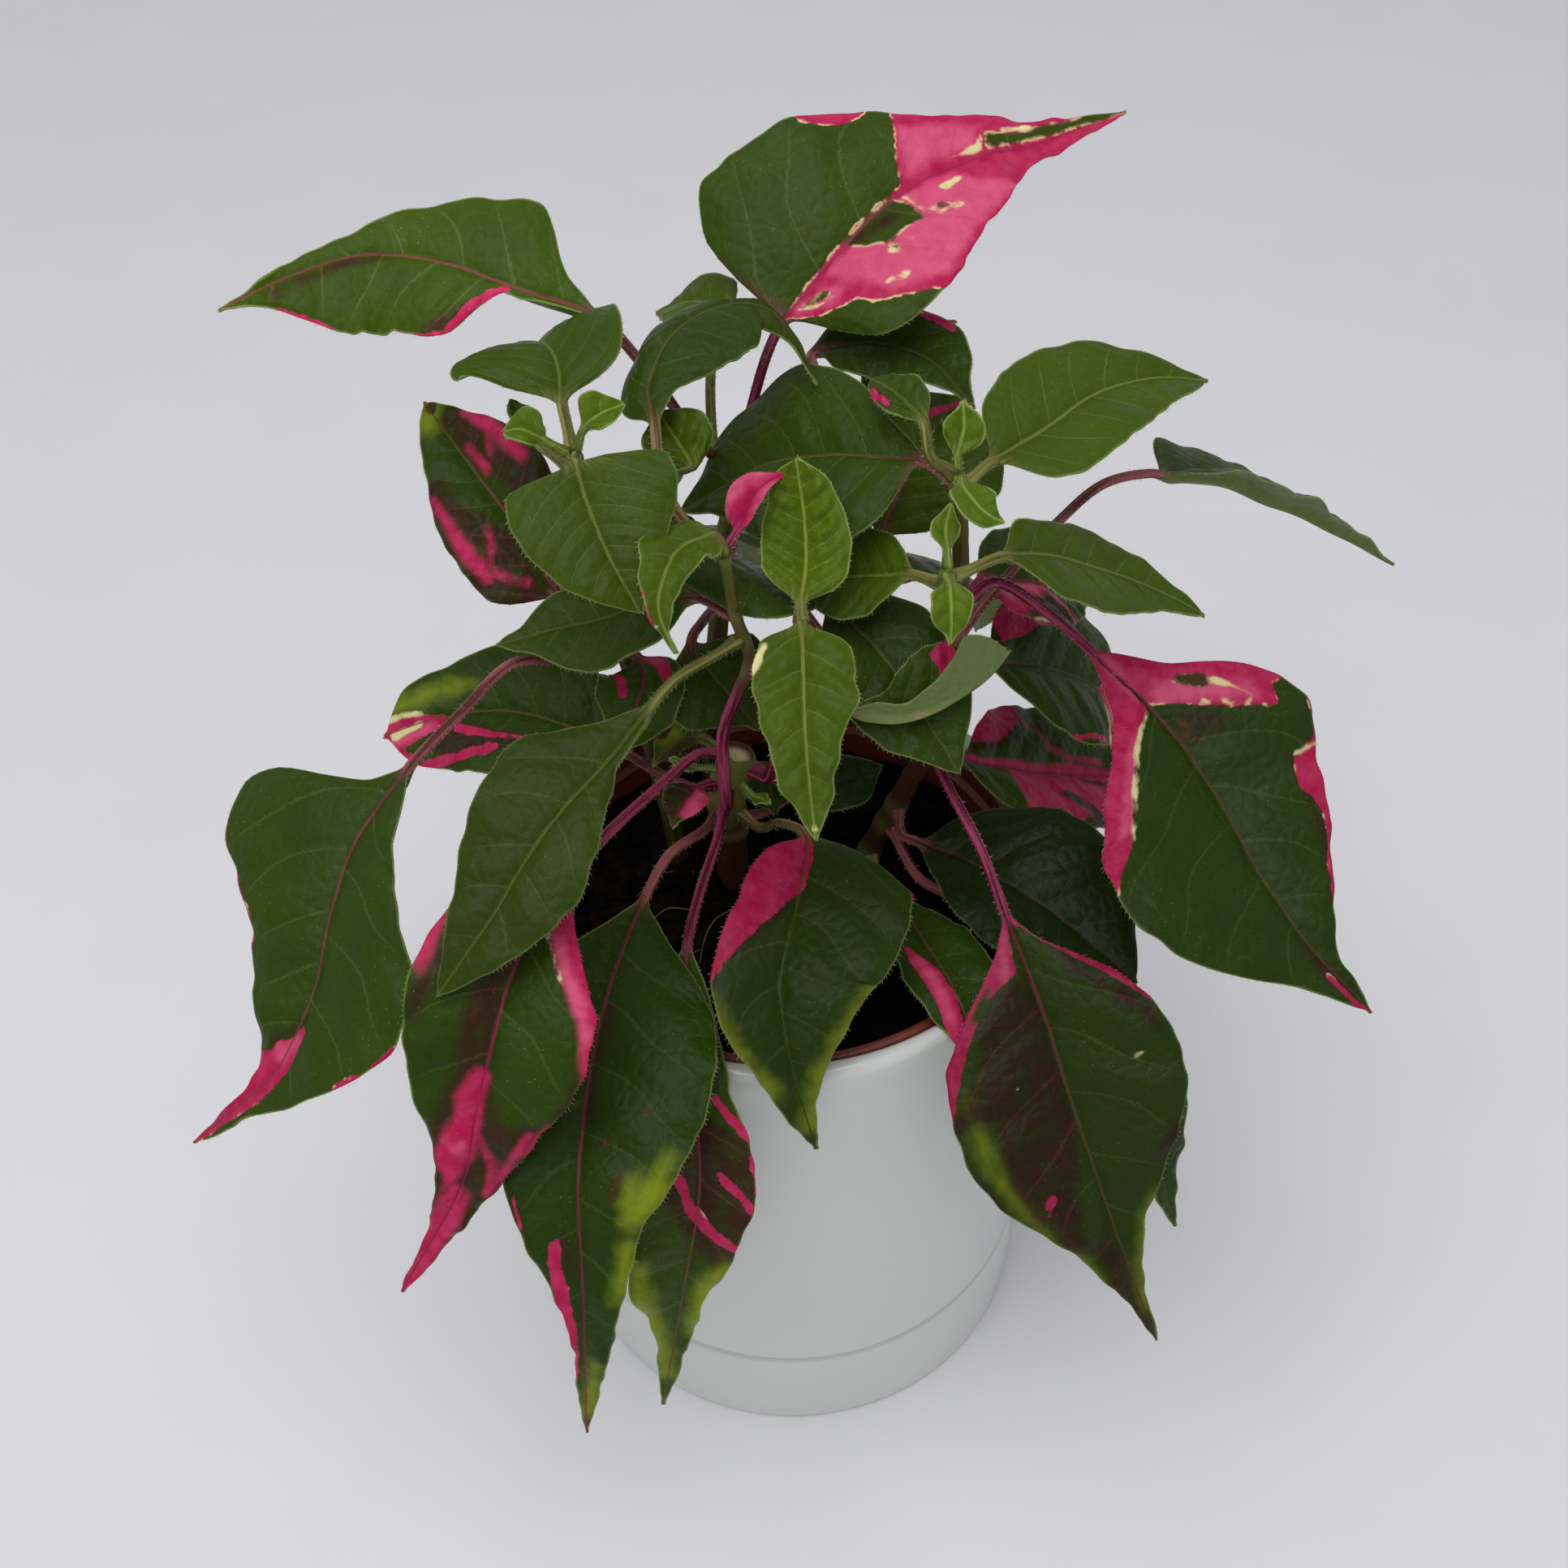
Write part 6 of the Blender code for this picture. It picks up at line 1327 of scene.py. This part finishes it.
def leaf_waxy_blade(tints):
    """Leaf blade: soft green tissue under a thin wax film, with a broad dim gloss over sharp markings."""
    made, add = new_material("leaf_waxy_blade", IOR=1.45, Specular_IOR_Level=0.14)
    (_, across, edge), place = field(add, "leaf_place")
    (age, under, red), _ = field(add, "leaf_tone")
    (pink_depth, wine_depth, isle_depth), _ = field(add, "leaf_marks")
    (cream_depth, lime_depth, phase), _ = field(add, "leaf_lights")
    (stalk, border, share), _ = field(add, "leaf_stalk")
    (rose_depth, brown_depth, tone_and_shade_gain), _ = field(add, "leaf_spots")

    # Markings: each has an edge that wanders a millimetre, like the cells that carry the colour
    blotch = add("TexNoise", place, Scale=0.34, Detail=2.0, **FLAT_NOISE)
    grain = add("TexNoise", place, Scale=1.5, Detail=3.0, **FLAT_NOISE)
    drift = add("TexNoise", place, Scale=0.09, Detail=1.0, **FLAT_NOISE)
    wander = add("Math", blotch, 1.0, -0.5, **TIMES_PLUS)
    ragged = add("Math", grain, 0.45, -0.22, **TIMES_PLUS)
    ragged = add("Math", wander, ragged, operation="ADD")
    pink_depth = add("Math", pink_depth, ragged, operation="ADD")
    wine_depth = add("Math", wine_depth, ragged, operation="ADD")
    isle_depth = add("Math", isle_depth, ragged, operation="SUBTRACT")
    cream_depth = add("Math", cream_depth, wander, operation="ADD")
    lime_depth = add("Math", wander, 2.2, lime_depth, **TIMES_PLUS)
    rose_depth = add("Math", rose_depth, wander, operation="ADD")
    brown_depth = add("Math", brown_depth, grain, operation="ADD")
    blur = add("MapRange", border, 0.05, 0.15, 0.9, 0.14)
    sharp = add("Math", pink_depth, blur, operation="DIVIDE")
    pink, wine_mask, isle, cream, lime, rose, brown = [
        add("MapRange", depth, -soft, soft, **SMOOTH)
        for depth, soft in ((sharp, 1.0), (wine_depth, 1.2), (isle_depth, 0.4), (cream_depth, 0.3),
                            (lime_depth, 2.2), (rose_depth, 1.2), (brown_depth, 0.4))]
    not_isle = add("Math", 1.0, isle, operation="SUBTRACT")
    pink = add("Math", pink, not_isle, **TIMES)
    outside_isle = add("Math", isle_depth, -1.0, **TIMES)
    inside = add("Math", pink_depth, outside_isle, operation="MINIMUM")
    rim = add("MapRange", inside, 0.5, 0.1, **SMOOTH)
    patchy = add("Math", blotch, border, operation="ADD")
    patchy = add("MapRange", patchy, 0.92, 1.05, **SMOOTH)
    for part in (patchy, pink, 0.85):
        rim = add("Math", rim, part, **TIMES)
    cream = add("Math", rim, cream, operation="MAXIMUM")

    # Veins: side veins follow the stored phase, a net of finer ones lies between them
    shaken = add("Math", grain, 0.10, phase, **TIMES_PLUS)
    vein = add("Math", shaken, 1.0, operation="FLOORED_MODULO")
    vein = add("Math", vein, 0.5, operation="SUBTRACT")
    fold = add("Math", vein, operation="ABSOLUTE")
    vein = add("MapRange", fold, 0.462, 0.492, **SMOOTH)
    inner = add("MapRange", edge, 0.3, 4.0)
    vein = add("Math", vein, inner, **TIMES)
    net = add("TexVoronoi", place, Scale=0.42, voronoi_dimensions="2D", feature="DISTANCE_TO_EDGE")
    valley = add("MapRange", net, 0.35, 0.0)
    net = add("MapRange", net, 0.07, 0.0, **SMOOTH)
    faint_net = add("Math", net, 0.18, **TIMES)
    lines = add("Math", vein, faint_net, operation="MAXIMUM")

    # Greens: young tissue is light, old tissue dark, and both drift a little over the blade
    green = add("Mix", age, tints.young_leaf, tints.old_leaf, **COLOURS)
    light = add("Mix", age, tints.young_light, tints.old_light, **COLOURS)
    paler = add("Math", drift, 0.55, **TIMES)
    pale_vein = add("MapRange", age, To_Min=0.2, To_Max=0.07)
    drawn = add("Math", lines, pale_vein, **TIMES)
    limy = add("Math", lime, 0.8, **TIMES)
    hem = add("MapRange", edge, 0.4, 0.1, To_Max=0.5, **SMOOTH)
    for part, layer in ((paler, light), (drawn, tints.pale_vein), (limy, tints.lime),
                        (hem, tints.pale_vein)):
        green = add("Mix", part, green, layer, **COLOURS)

    # Sparse tiny pale specks in the hair's tint, where the slow drift noise is high
    speck = add("TexVoronoi", place, Scale=0.4, voronoi_dimensions="2D")
    speck = add("MapRange", speck, 0.055, 0.02)
    where = add("MapRange", drift, 0.45, 0.62, To_Max=0.22)
    speck = add("Math", speck, where, **TIMES)

    # Wine is green and pink tissue on top of each other, crossed by pink veins
    wine = add("Mix", blotch, tints.wine_dark, tints.wine, **COLOURS)
    pink_lines = add("Math", lines, 0.16, **TIMES)
    wine = add("Mix", pink_lines, wine, tints.pink, **COLOURS)
    flushed = add("MapRange", blotch, 0.3, 0.6, 0.6, 0.9)
    flushed = add("Math", wine_mask, flushed, **TIMES)

    # Pink tissue has no green in it at all: hot pink, rosy where it is thin, darker along its veins
    rosy = add("MapRange", blotch, 0.3, 0.75, To_Max=0.22, **SMOOTH)
    rosy = add("Math", rose, 0.75, rosy, use_clamp=True, **TIMES_PLUS)
    flesh = add("Mix", rosy, tints.pink, tints.rose, **COLOURS)
    deep = add("Math", lines, 0.16, **TIMES)
    flesh = add("Mix", deep, flesh, tints.deep_pink, **COLOURS)

    # Midrib, with the pale or red tint that its stalk has too
    beside = add("Math", across, operation="ABSOLUTE")
    slim = add("MapRange", share, To_Min=0.42, To_Max=0.22)
    rib = add("Math", beside, slim, operation="DIVIDE")
    rib = add("MapRange", rib, 1.1, 0.3, To_Max=0.7, **SMOOTH)
    rib_pale = add("Mix", age, tints.young_vein, tints.old_light, **COLOURS)
    rib_tint = add("Mix", red, rib_pale, tints.rib_red, **COLOURS)

    # All of them on top of each other, then the leaf's own darkening, which is partly its tone and partly
    # painted shade, then its underside and its stalk
    colour = green
    for part, layer in ((flushed, wine), (pink, flesh), (cream, tints.cream), (brown, tints.brown),
                        (speck, tints.hair), (rib, rib_tint)):
        colour = add("Mix", part, colour, layer, **COLOURS)
    tone_and_shade_gain = add("CombineXYZ", tone_and_shade_gain, tone_and_shade_gain, tone_and_shade_gain)
    colour = add("Mix", 1.0, colour, tone_and_shade_gain, blend_type="MULTIPLY", **COLOURS)
    dull = add("Math", under, 0.75, **TIMES)
    drawn_out = add("Mapping", place, Scale=(0.05, 1.5, 1.0))
    stripes = add("TexNoise", drawn_out, Scale=1.0, Detail=2.0, **FLAT_NOISE)
    stripes = add("MapRange", stripes, 0.38, 0.62, **SMOOTH)
    red_stalk = add("Mix", stripes, tints.stalk_dark, tints.stalk_pink, **COLOURS)
    green_stalk = add("Mix", stripes, tints.stem_green, tints.young_vein, **COLOURS)
    stem_tint = add("Mix", red, green_stalk, red_stalk, **COLOURS)
    for part, layer in ((dull, tints.underside), (stalk, stem_tint)):
        colour = add("Mix", part, colour, layer, **COLOURS)

    # Surface: the wax film is uneven, and the finest cells stand out as a 0.2 mm grain
    roughness = add("MapRange", blotch, To_Min=0.26, To_Max=0.46)
    cells = add("TexNoise", place, Scale=5.0, Detail=1.0, **FLAT_NOISE)
    sunk = add("Math", valley, -0.28, **TIMES)
    sunk = add("Math", fold, -1.1, sunk, **TIMES_PLUS)
    height = add("Math", cells, 0.15, sunk, **TIMES_PLUS)
    bump = add("Bump", Strength=0.8, Distance=0.0004, Height=height)
    return feed(made, Base_Color=colour, Roughness=roughness, Normal=bump)


def leaf_hair_pale(tints):
    """Short leaf hairs: clear and pale, so they show as a thin light hem against the dark."""
    return new_material("leaf_hair_pale", Base_Color=(*tints.hair, 1), Roughness=0.6, IOR=1.45,
                        Specular_IOR_Level=0.2)[0]


def water_drop(tints):
    """Drops of clean water: clear, smooth and round."""
    return new_material("water_drop", Base_Color=(*tints.water, 1), Roughness=0.0, IOR=1.333,
                        Transmission_Weight=1.0)[0]


def stem_ribbed_skin(tints):
    """Stem skin: ribbed and fleshy, green where it is young and flushed brown-red along its ribs."""
    made, add = new_material("stem_ribbed_skin", Roughness=0.5, IOR=1.45, Specular_IOR_Level=0.2)
    (_, _, share), place = field(add, "stem_place")
    (red, knot, cut), _ = field(add, "stem_tone")
    (pink, _, _), _ = field(add, "stem_flush")
    drawn_out = add("Mapping", place, Scale=(0.06, 1.1, 1.0))
    stripes = add("TexNoise", drawn_out, Scale=1.0, Detail=3.0, **FLAT_NOISE)
    flush = add("Math", stripes, red, operation="ADD")
    flush = add("MapRange", flush, 0.7, 1.15, **SMOOTH)
    colour = add("Mix", flush, tints.stem_green, tints.stem_brown, **COLOURS)
    banded = add("MapRange", stripes, 0.4, 0.6, **SMOOTH)
    pink_ribs = add("Mix", banded, tints.stalk_dark, tints.stalk_pink, **COLOURS)
    fresh = add("MapRange", share, From_Min=0.6, To_Max=0.6)
    aged = add("MapRange", share, From_Max=0.7, To_Min=0.8, To_Max=0.0)
    not_pink = add("Math", 1.0, pink, operation="SUBTRACT")
    aged = add("Math", aged, not_pink, **TIMES)
    ringed = add("Math", knot, 0.2, **TIMES)
    dry = add("MapRange", cut, 0.02, 0.15)
    pith = add("MapRange", cut, 0.2, 0.6)
    face = add("Mix", pith, tints.stem_brown, tints.pith, **COLOURS)
    for part, layer in ((pink, pink_ribs), (fresh, tints.young_light), (aged, tints.stem_old),
                        (ringed, tints.pale_vein), (dry, face)):
        colour = add("Mix", part, colour, layer, **COLOURS)
    bump = add("Bump", Strength=0.4, Distance=0.00015, Height=stripes)
    return feed(made, Base_Color=colour, Normal=bump)


def stoneware_white_glaze(tints):
    """Stoneware under a white glaze: smooth and glossy, and a little darker along the groove above the foot.
    """
    made, add = new_material("stoneware_white_glaze", IOR=1.5)
    place = add("TexCoord").node.outputs["Object"]
    height = add("SeparateXYZ", place).node.outputs["Z"]
    offset = add("Math", height, POT_GROOVE_HEIGHT * MM, operation="SUBTRACT")
    offset = add("Math", offset, operation="ABSOLUTE")
    # A little darker within 1.4 mm of the groove's middle
    near_groove = add("MapRange", offset, 1.4 * MM, 0.3 * MM, **SMOOTH)
    cloud = add("TexNoise", place, Scale=1 / (30 * MM), Detail=2.0)
    tone = add("Math", cloud, 0.3, near_groove, **TIMES_PLUS)
    colour = add("Mix", tone, tints.glaze, tints.glaze_pooled, **COLOURS)
    gloss = add("MapRange", cloud, To_Min=0.16, To_Max=0.26)
    ripple = add("TexNoise", place, Scale=1 / (9 * MM), Detail=1.0)
    bump = add("Bump", Strength=0.25, Distance=0.0001, Height=ripple)
    return feed(made, Base_Color=colour, Roughness=gloss, Normal=bump)


def polypropylene_moulded_brown(tints):
    """Recycled polypropylene, injection moulded: satin red-brown with fine flow streaks and dust of peat."""
    made, add = new_material("polypropylene_moulded_brown", IOR=1.49)
    place = add("TexCoord").node.outputs["Object"]
    streaks = add("Mapping", place, Scale=(1.0, 1.0, 6.0))
    streaks = add("TexNoise", streaks, Scale=1 / (6 * MM), Detail=3.0)
    colour = add("Mix", streaks, tints.nursery_plastic, tints.nursery_light, **COLOURS)
    dust = add("TexNoise", place, Scale=1 / (1.2 * MM), Detail=2.0)
    dust = add("MapRange", dust, 0.62, 0.7, To_Max=0.8)
    colour = add("Mix", dust, colour, tints.peat, **COLOURS)
    rough = add("MapRange", streaks, To_Min=0.35, To_Max=0.55)
    return feed(made, Base_Color=colour, Roughness=rough)


def peat_damp_crumbs(tints):
    """Damp peat: almost black, matt, with browner fibres and crumbs a millimetre across."""
    made, add = new_material("peat_damp_crumbs", Roughness=0.95, IOR=1.4, Specular_IOR_Level=0.1)
    place = add("TexCoord").node.outputs["Object"]
    crumbs = add("TexVoronoi", place, Scale=1 / (1.1 * MM))
    cloud = add("TexNoise", place, Scale=1 / (3.5 * MM), Detail=4.0)
    brown = add("MapRange", cloud, 0.45, 0.75)
    colour = add("Mix", brown, tints.peat, tints.peat_brown, **COLOURS)
    height = add("Math", crumbs, cloud, operation="ADD")
    bump = add("Bump", Strength=0.9, Distance=0.0006, Height=height)
    return feed(made, Base_Color=colour, Normal=bump)


def root_thread_dry(tints):
    """Dried root threads: pale tan bark, matt, darker where peat clings to it."""
    made, add = new_material("root_thread_dry", Roughness=0.8, IOR=1.4)
    place = add("TexCoord").node.outputs["Object"]
    cling = add("TexNoise", place, Scale=1 / (2.0 * MM), Detail=3.0)
    colour = add("Mix", cling, tints.root, tints.peat_brown, **COLOURS)
    return feed(made, Base_Color=colour)


def painted_board_matt(tints):
    """Matt painted board under the pot: plain and pale, with a trace of roller texture."""
    made, add = new_material("painted_board_matt", Roughness=0.85, IOR=1.45)
    place = add("TexCoord").node.outputs["Object"]
    roller = add("TexNoise", place, Scale=1 / (40 * MM), Detail=2.0)
    colour = add("Mix", roller, tints.board, tints.board_shade, **COLOURS)
    return feed(made, Base_Color=colour)


def tint(name, description, code):
    """A colour that a user can change, given as an sRGB hex value."""
    return bpy.props.FloatVectorProperty(name=name, description=description, default=linear(code), size=3,
                                         min=0.0, max=1.0, subtype="COLOR")


def amount(name, description, value, least=0.0, **more):
    """A plain number that a user can change."""
    return bpy.props.FloatProperty(name=name, description=description, default=value, min=least, **more)


def size(name, description, millimetres, most):
    """A length that a user can change, given in millimetres and kept in metres."""
    return amount(name, description, millimetres * MM, max=most * MM, subtype="DISTANCE", unit="LENGTH",
                  precision=5)


class PlantTints(bpy.types.PropertyGroup):
    young_leaf: tint("Young leaf", "Green of a young blade", "#3c5004")
    young_light: tint("Young leaf, pale", "Palest green of a young blade", "#546a12")
    old_leaf: tint("Old leaf", "Green of an old blade", "#1f3401")
    old_light: tint("Old leaf, pale", "Palest green of an old blade", "#324802")
    pale_vein: tint("Pale vein", "Side veins and hem of a green blade", "#8c9d58")
    young_vein: tint("Young vein", "Midrib and stalk of a young blade", "#7c8c40")
    lime: tint("Lime", "Yellow-green blotches near margins and tips", "#8a991c")
    wine: tint("Wine", "Green and pink tissue on top of each other", "#3c1812")
    wine_dark: tint("Wine, dark", "Wine tissue where the green is thick", "#241e06")
    pink: tint("Pink", "Hot pink tissue without green", "#b4144c")
    rose: tint("Rose", "Pink tissue where it is thin", "#d9587e")
    deep_pink: tint("Deep pink", "Veins in the pink tissue", "#950c44")
    cream: tint("Cream", "Thin borders between pink and green", "#e3d79c")
    rib_red: tint("Red midrib", "Midrib of a splashed blade", "#8a1c48")
    underside: tint("Underside", "Matt grey-green of a blade's lower side", "#76874f")
    stalk_dark: tint("Stalk, dark", "Dark stripes of a red stalk", "#521324")
    stalk_pink: tint("Stalk, pink", "Light stripes of a red stalk", "#9c3a5c")
    stem_green: tint("Stem, green", "Young stem skin", "#4e5a22")
    stem_brown: tint("Stem, brown", "Flushed ribs of an older stem", "#4e2a1c")
    hair: tint("Hair", "Short pale hairs on edges and stalks", "#b7bd92")
    water: tint("Water", "Drops on the wet leaf", "#ffffff")
    stem_old: tint("Stem, old", "Corky skin near the foot of a stem", "#231a0b")
    brown: tint("Brown", "Dry spots on a blade", "#43300f")
    pith: tint("Pith", "Dry pith in a cut stem", "#c9bd93")
    glaze: tint("Glaze", "White glaze of the cover pot", "#d2d4d1")
    # Glaze colour used along the groove above the foot
    glaze_pooled: tint("Glaze, pooled", "Glaze where it lies thick", "#bcbfbc")
    nursery_plastic: tint("Nursery pot", "Recycled plastic of the nursery pot", "#5f2318")
    nursery_light: tint("Nursery pot, pale", "Flow streaks in the recycled plastic", "#7d3626")
    peat: tint("Peat", "Damp peat", "#050302")
    peat_brown: tint("Peat, brown", "Drier crumbs and fibres", "#1c110a")
    root: tint("Root", "Dry root threads", "#8a7355")
    board: tint("Board", "Painted board that the pot stands on", "#e6e6e8")
    board_shade: tint("Board, shaded", "Slightly thinner paint", "#e2e2e4")


class PlantBlades(bpy.types.PropertyGroup):
    thickness: size("Thickness", "Thickness of a leaf blade", 0.36, 1.0)
    edge_wave: size("Edge wave", "How far a blade's edge waves up and down", 0.5, 3.0)
    vein_relief: size("Vein relief", "How far the tissue swells between two side veins", 0.3, 1.0)
    hair_length: size("Hair length", "Longest hairs on edges and stalks", 0.8, 3.0)
    hair_gap: size("Hair gap", "Space between two hairs along an edge", 0.8, 5.0)
    camber: amount("Camber", "Arch of each half of a blade, as a share of its width", 0.06, max=0.2)


class PlantStems(bpy.types.PropertyGroup):
    rib_depth: amount("Rib depth", "Depth of a stem's ribs, as a share of its radius", 0.045, max=0.2)


class PlantPots(bpy.types.PropertyGroup):
    groove_depth: size("Groove depth", "Depth of the groove above the cover pot's foot", 0.5, 1.5)
    groove_width: size("Groove half width", "Half the width of that groove", 1.5, 4.0)


class PlantSoil(bpy.types.PropertyGroup):
    lump_height: size("Lump height", "How far the peat's lumps rise and sink", 1.3, 3.0)
    clods: bpy.props.IntProperty(name="Clods", description="Loose crumbs on the peat", default=420, min=0,
                                 max=2000)


class PlantStudio(bpy.types.PropertyGroup):
    floor_size: amount("Floor", "Side of the painted board", 6.0, 1.0, subtype="DISTANCE", unit="LENGTH")
    softbox_size: amount("Softbox", "Side of the light above the plant", 0.7, 0.1, subtype="DISTANCE",
                         unit="LENGTH")
    softbox_power: amount("Softbox power", "Light of the softbox", 4.6, subtype="POWER", unit="POWER")
    room_light: amount("Room light", "Strength of the even light all around", 0.6)
    room_tint: tint("Room tint", "Colour of the even light all around", "#f6f6fa")


def finish(make):
    """The material that a function makes. It is made once and has the function's name."""
    return bpy.data.materials.get(make.__name__) or make(bpy.context.scene.plant_tints)


def finished(mesh, make):
    """The mesh, shown in the material that a function makes."""
    mesh.materials.append(finish(make))
    return mesh


def leaf_parts(name, spec, kind, number, blade):
    """A leaf's blade, its hairs and its water drops, each with its material."""
    leaf = {**ANY_LEAF, **LEAF_KINDS[kind], **spec}
    mesh, upper, lower, at = leaf_mesh(name, leaf, number, blade)
    hairs = hair_mesh(f"{name}_hairs", upper, lower, at, blade, SEED + number)
    parts = [finished(mesh, leaf_waxy_blade), finished(hairs, leaf_hair_pale)]
    if "drops" in leaf:
        parts.append(finished(drop_mesh(f"{name}_drops", leaf["drops"], upper, at), water_drop))
    return parts


class PLANT_OT_cover_pot(bpy.types.Operator):
    """Turn the glazed cover pot"""
    bl_idname = "plant.cover_pot"
    bl_label = "Cover pot"

    def execute(self, context):
        pot = turned("cover_pot_thrown", cover_pot_outline(context.scene.plant_pots))
        finished(pot.data, stoneware_white_glaze)
        place_piece(pot, "cover_pot")
        return {"FINISHED"}


class PLANT_OT_nursery_pot(bpy.types.Operator):
    """Turn the thin nursery pot with its rolled rim"""
    bl_idname = "plant.nursery_pot"
    bl_label = "Nursery pot"

    def execute(self, context):
        pot = turned("nursery_pot_moulded", nursery_pot_outline())
        finished(pot.data, polypropylene_moulded_brown)
        place_piece(pot, "nursery_pot")
        return {"FINISHED"}


class PLANT_OT_soil(bpy.types.Operator):
    """Fill in the lumpy peat with its loose crumbs and root threads"""
    bl_idname = "plant.soil"
    bl_label = "Soil"

    def execute(self, context):
        soil = context.scene.plant_soil
        meshes = [finished(soil_mesh("peat", soil), peat_damp_crumbs),
                  finished(clod_mesh("crumbs", soil), peat_damp_crumbs)]
        for radius, way in SOIL_THREADS:
            rising = [(x, y, soil_height(x, y, soil) + lift) for x, y, lift in way]
            meshes.append(finished(thread_mesh("thread", rising, radius), root_thread_dry))
        place_piece(joined("peat_with_threads", meshes), "soil")
        return {"FINISHED"}


class PLANT_OT_stems(bpy.types.Operator):
    """Grow the ribbed stems and shoots with their smallest leaves"""
    bl_idname = "plant.stems"
    bl_label = "Stems"

    def execute(self, context):
        for number, stem in enumerate(STEMS):
            meshes = [finished(stem_mesh(stem, number, context.scene.plant_stems), stem_ribbed_skin)]
            for tip_number, (name, spec) in enumerate(SHOOT_TIPS.items(), start=len(LEAVES) + 1):
                if spec["stem"] == stem:
                    meshes += leaf_parts(name, spec, "tip", tip_number, context.scene.plant_blades)
            place_piece(joined(f"{stem}_ribbed", meshes), stem)
        return {"FINISHED"}


class PLANT_OT_leaves(bpy.types.Operator):
    """Grow every leaf with its stalk, veins, waves and markings"""
    bl_idname = "plant.leaves"
    bl_label = "Leaves"

    def execute(self, context):
        for number, (name, spec) in enumerate(LEAVES.items(), start=1):
            kind = spec.get("kind", "old_green")
            parts = leaf_parts(name, spec, kind, number, context.scene.plant_blades)
            place_piece(joined(f"{name}_grown", parts), name)
        return {"FINISHED"}


class PLANT_OT_studio(bpy.types.Operator):
    """Set up the painted board, the soft light and the camera"""
    bl_idname = "plant.studio"
    bl_label = "Studio"

    def execute(self, context):
        studio = context.scene.plant_studio
        half = studio.floor_size / 2
        mesh = bpy.data.meshes.new("board")
        mesh.from_pydata([(-half, -half, 0), (half, -half, 0), (half, half, 0), (-half, half, 0)], [],
                         [(0, 1, 2, 3)])
        mesh.materials.append(finish(painted_board_matt))
        mesh_object("board", mesh)

        lamp = bpy.data.lights.new("softbox", "AREA")
        lamp.shape = "SQUARE"
        lamp.size = studio.softbox_size
        lamp.energy = studio.softbox_power
        softbox = bpy.data.objects.new("softbox", lamp)
        softbox.location = SOFTBOX_PLACE
        softbox.rotation_euler = (AIMED_AT - SOFTBOX_PLACE).to_track_quat("-Z", "Y").to_euler()
        context.scene.collection.objects.link(softbox)

        world = bpy.data.worlds.new("room")
        context.scene.world = world
        world.use_nodes = True
        room = world.node_tree.nodes["Background"]
        room.inputs["Color"].default_value = (*studio.room_tint, 1)
        room.inputs["Strength"].default_value = studio.room_light

        pitch = math.radians(CAMERA_PITCH)
        roll = math.radians(CAMERA_ROLL)
        ahead = Vector((0, math.cos(pitch), -math.sin(pitch)))
        level = Vector((1, 0, 0))
        above = level.cross(ahead)
        right = math.cos(roll) * level + math.sin(roll) * above
        up = math.cos(roll) * above - math.sin(roll) * level
        turn = Matrix((right, up, -ahead)).transposed().to_4x4()
        lens = bpy.data.cameras.new("camera")
        lens.sensor_width = SENSOR_WIDTH
        lens.lens = FOCAL_PIXELS * SENSOR_WIDTH / IMAGE_SIDE
        lens.clip_start = CAMERA_NEAREST
        camera = bpy.data.objects.new("camera", lens)
        camera.matrix_world = Matrix.Translation((CAMERA_AIM - CAMERA_DISTANCE * ahead) * MM) @ turn
        context.scene.collection.objects.link(camera)
        context.scene.camera = camera
        context.scene.view_settings.view_transform = "Standard"
        return {"FINISHED"}


class PLANT_PT_panel(bpy.types.Panel):
    """Sidebar panel that lists the pieces of the plant"""
    bl_label = "Potted alternanthera"
    bl_idname = "PLANT_PT_panel"
    bl_space_type = "VIEW_3D"
    bl_region_type = "UI"
    bl_category = "Plant"

    def draw(self, context):
        for operator in OPERATORS:
            self.layout.operator(operator.bl_idname)
        for name in GROUPS:
            box = self.layout.box()
            group = getattr(context.scene, name)
            for key in group.__annotations__:
                box.prop(group, key)


GROUPS = {"plant_tints": PlantTints, "plant_blades": PlantBlades, "plant_stems": PlantStems,
          "plant_pots": PlantPots, "plant_soil": PlantSoil, "plant_studio": PlantStudio}
OPERATORS = (PLANT_OT_studio, PLANT_OT_cover_pot, PLANT_OT_nursery_pot, PLANT_OT_soil, PLANT_OT_stems,
             PLANT_OT_leaves)


def register():
    for name, group in GROUPS.items():
        bpy.utils.register_class(group)
        setattr(bpy.types.Scene, name, bpy.props.PointerProperty(type=group))
    for operator in OPERATORS:
        bpy.utils.register_class(operator)
    bpy.utils.register_class(PLANT_PT_panel)


def unregister():
    bpy.utils.unregister_class(PLANT_PT_panel)
    for operator in reversed(OPERATORS):
        bpy.utils.unregister_class(operator)
    for name, group in reversed(GROUPS.items()):
        delattr(bpy.types.Scene, name)
        bpy.utils.unregister_class(group)


def main():
    """Make every piece."""
    register()
    bpy.ops.plant.studio()
    bpy.ops.plant.cover_pot()
    bpy.ops.plant.nursery_pot()
    bpy.ops.plant.soil()
    bpy.ops.plant.stems()
    bpy.ops.plant.leaves()


if __name__ == "__main__":
    main()
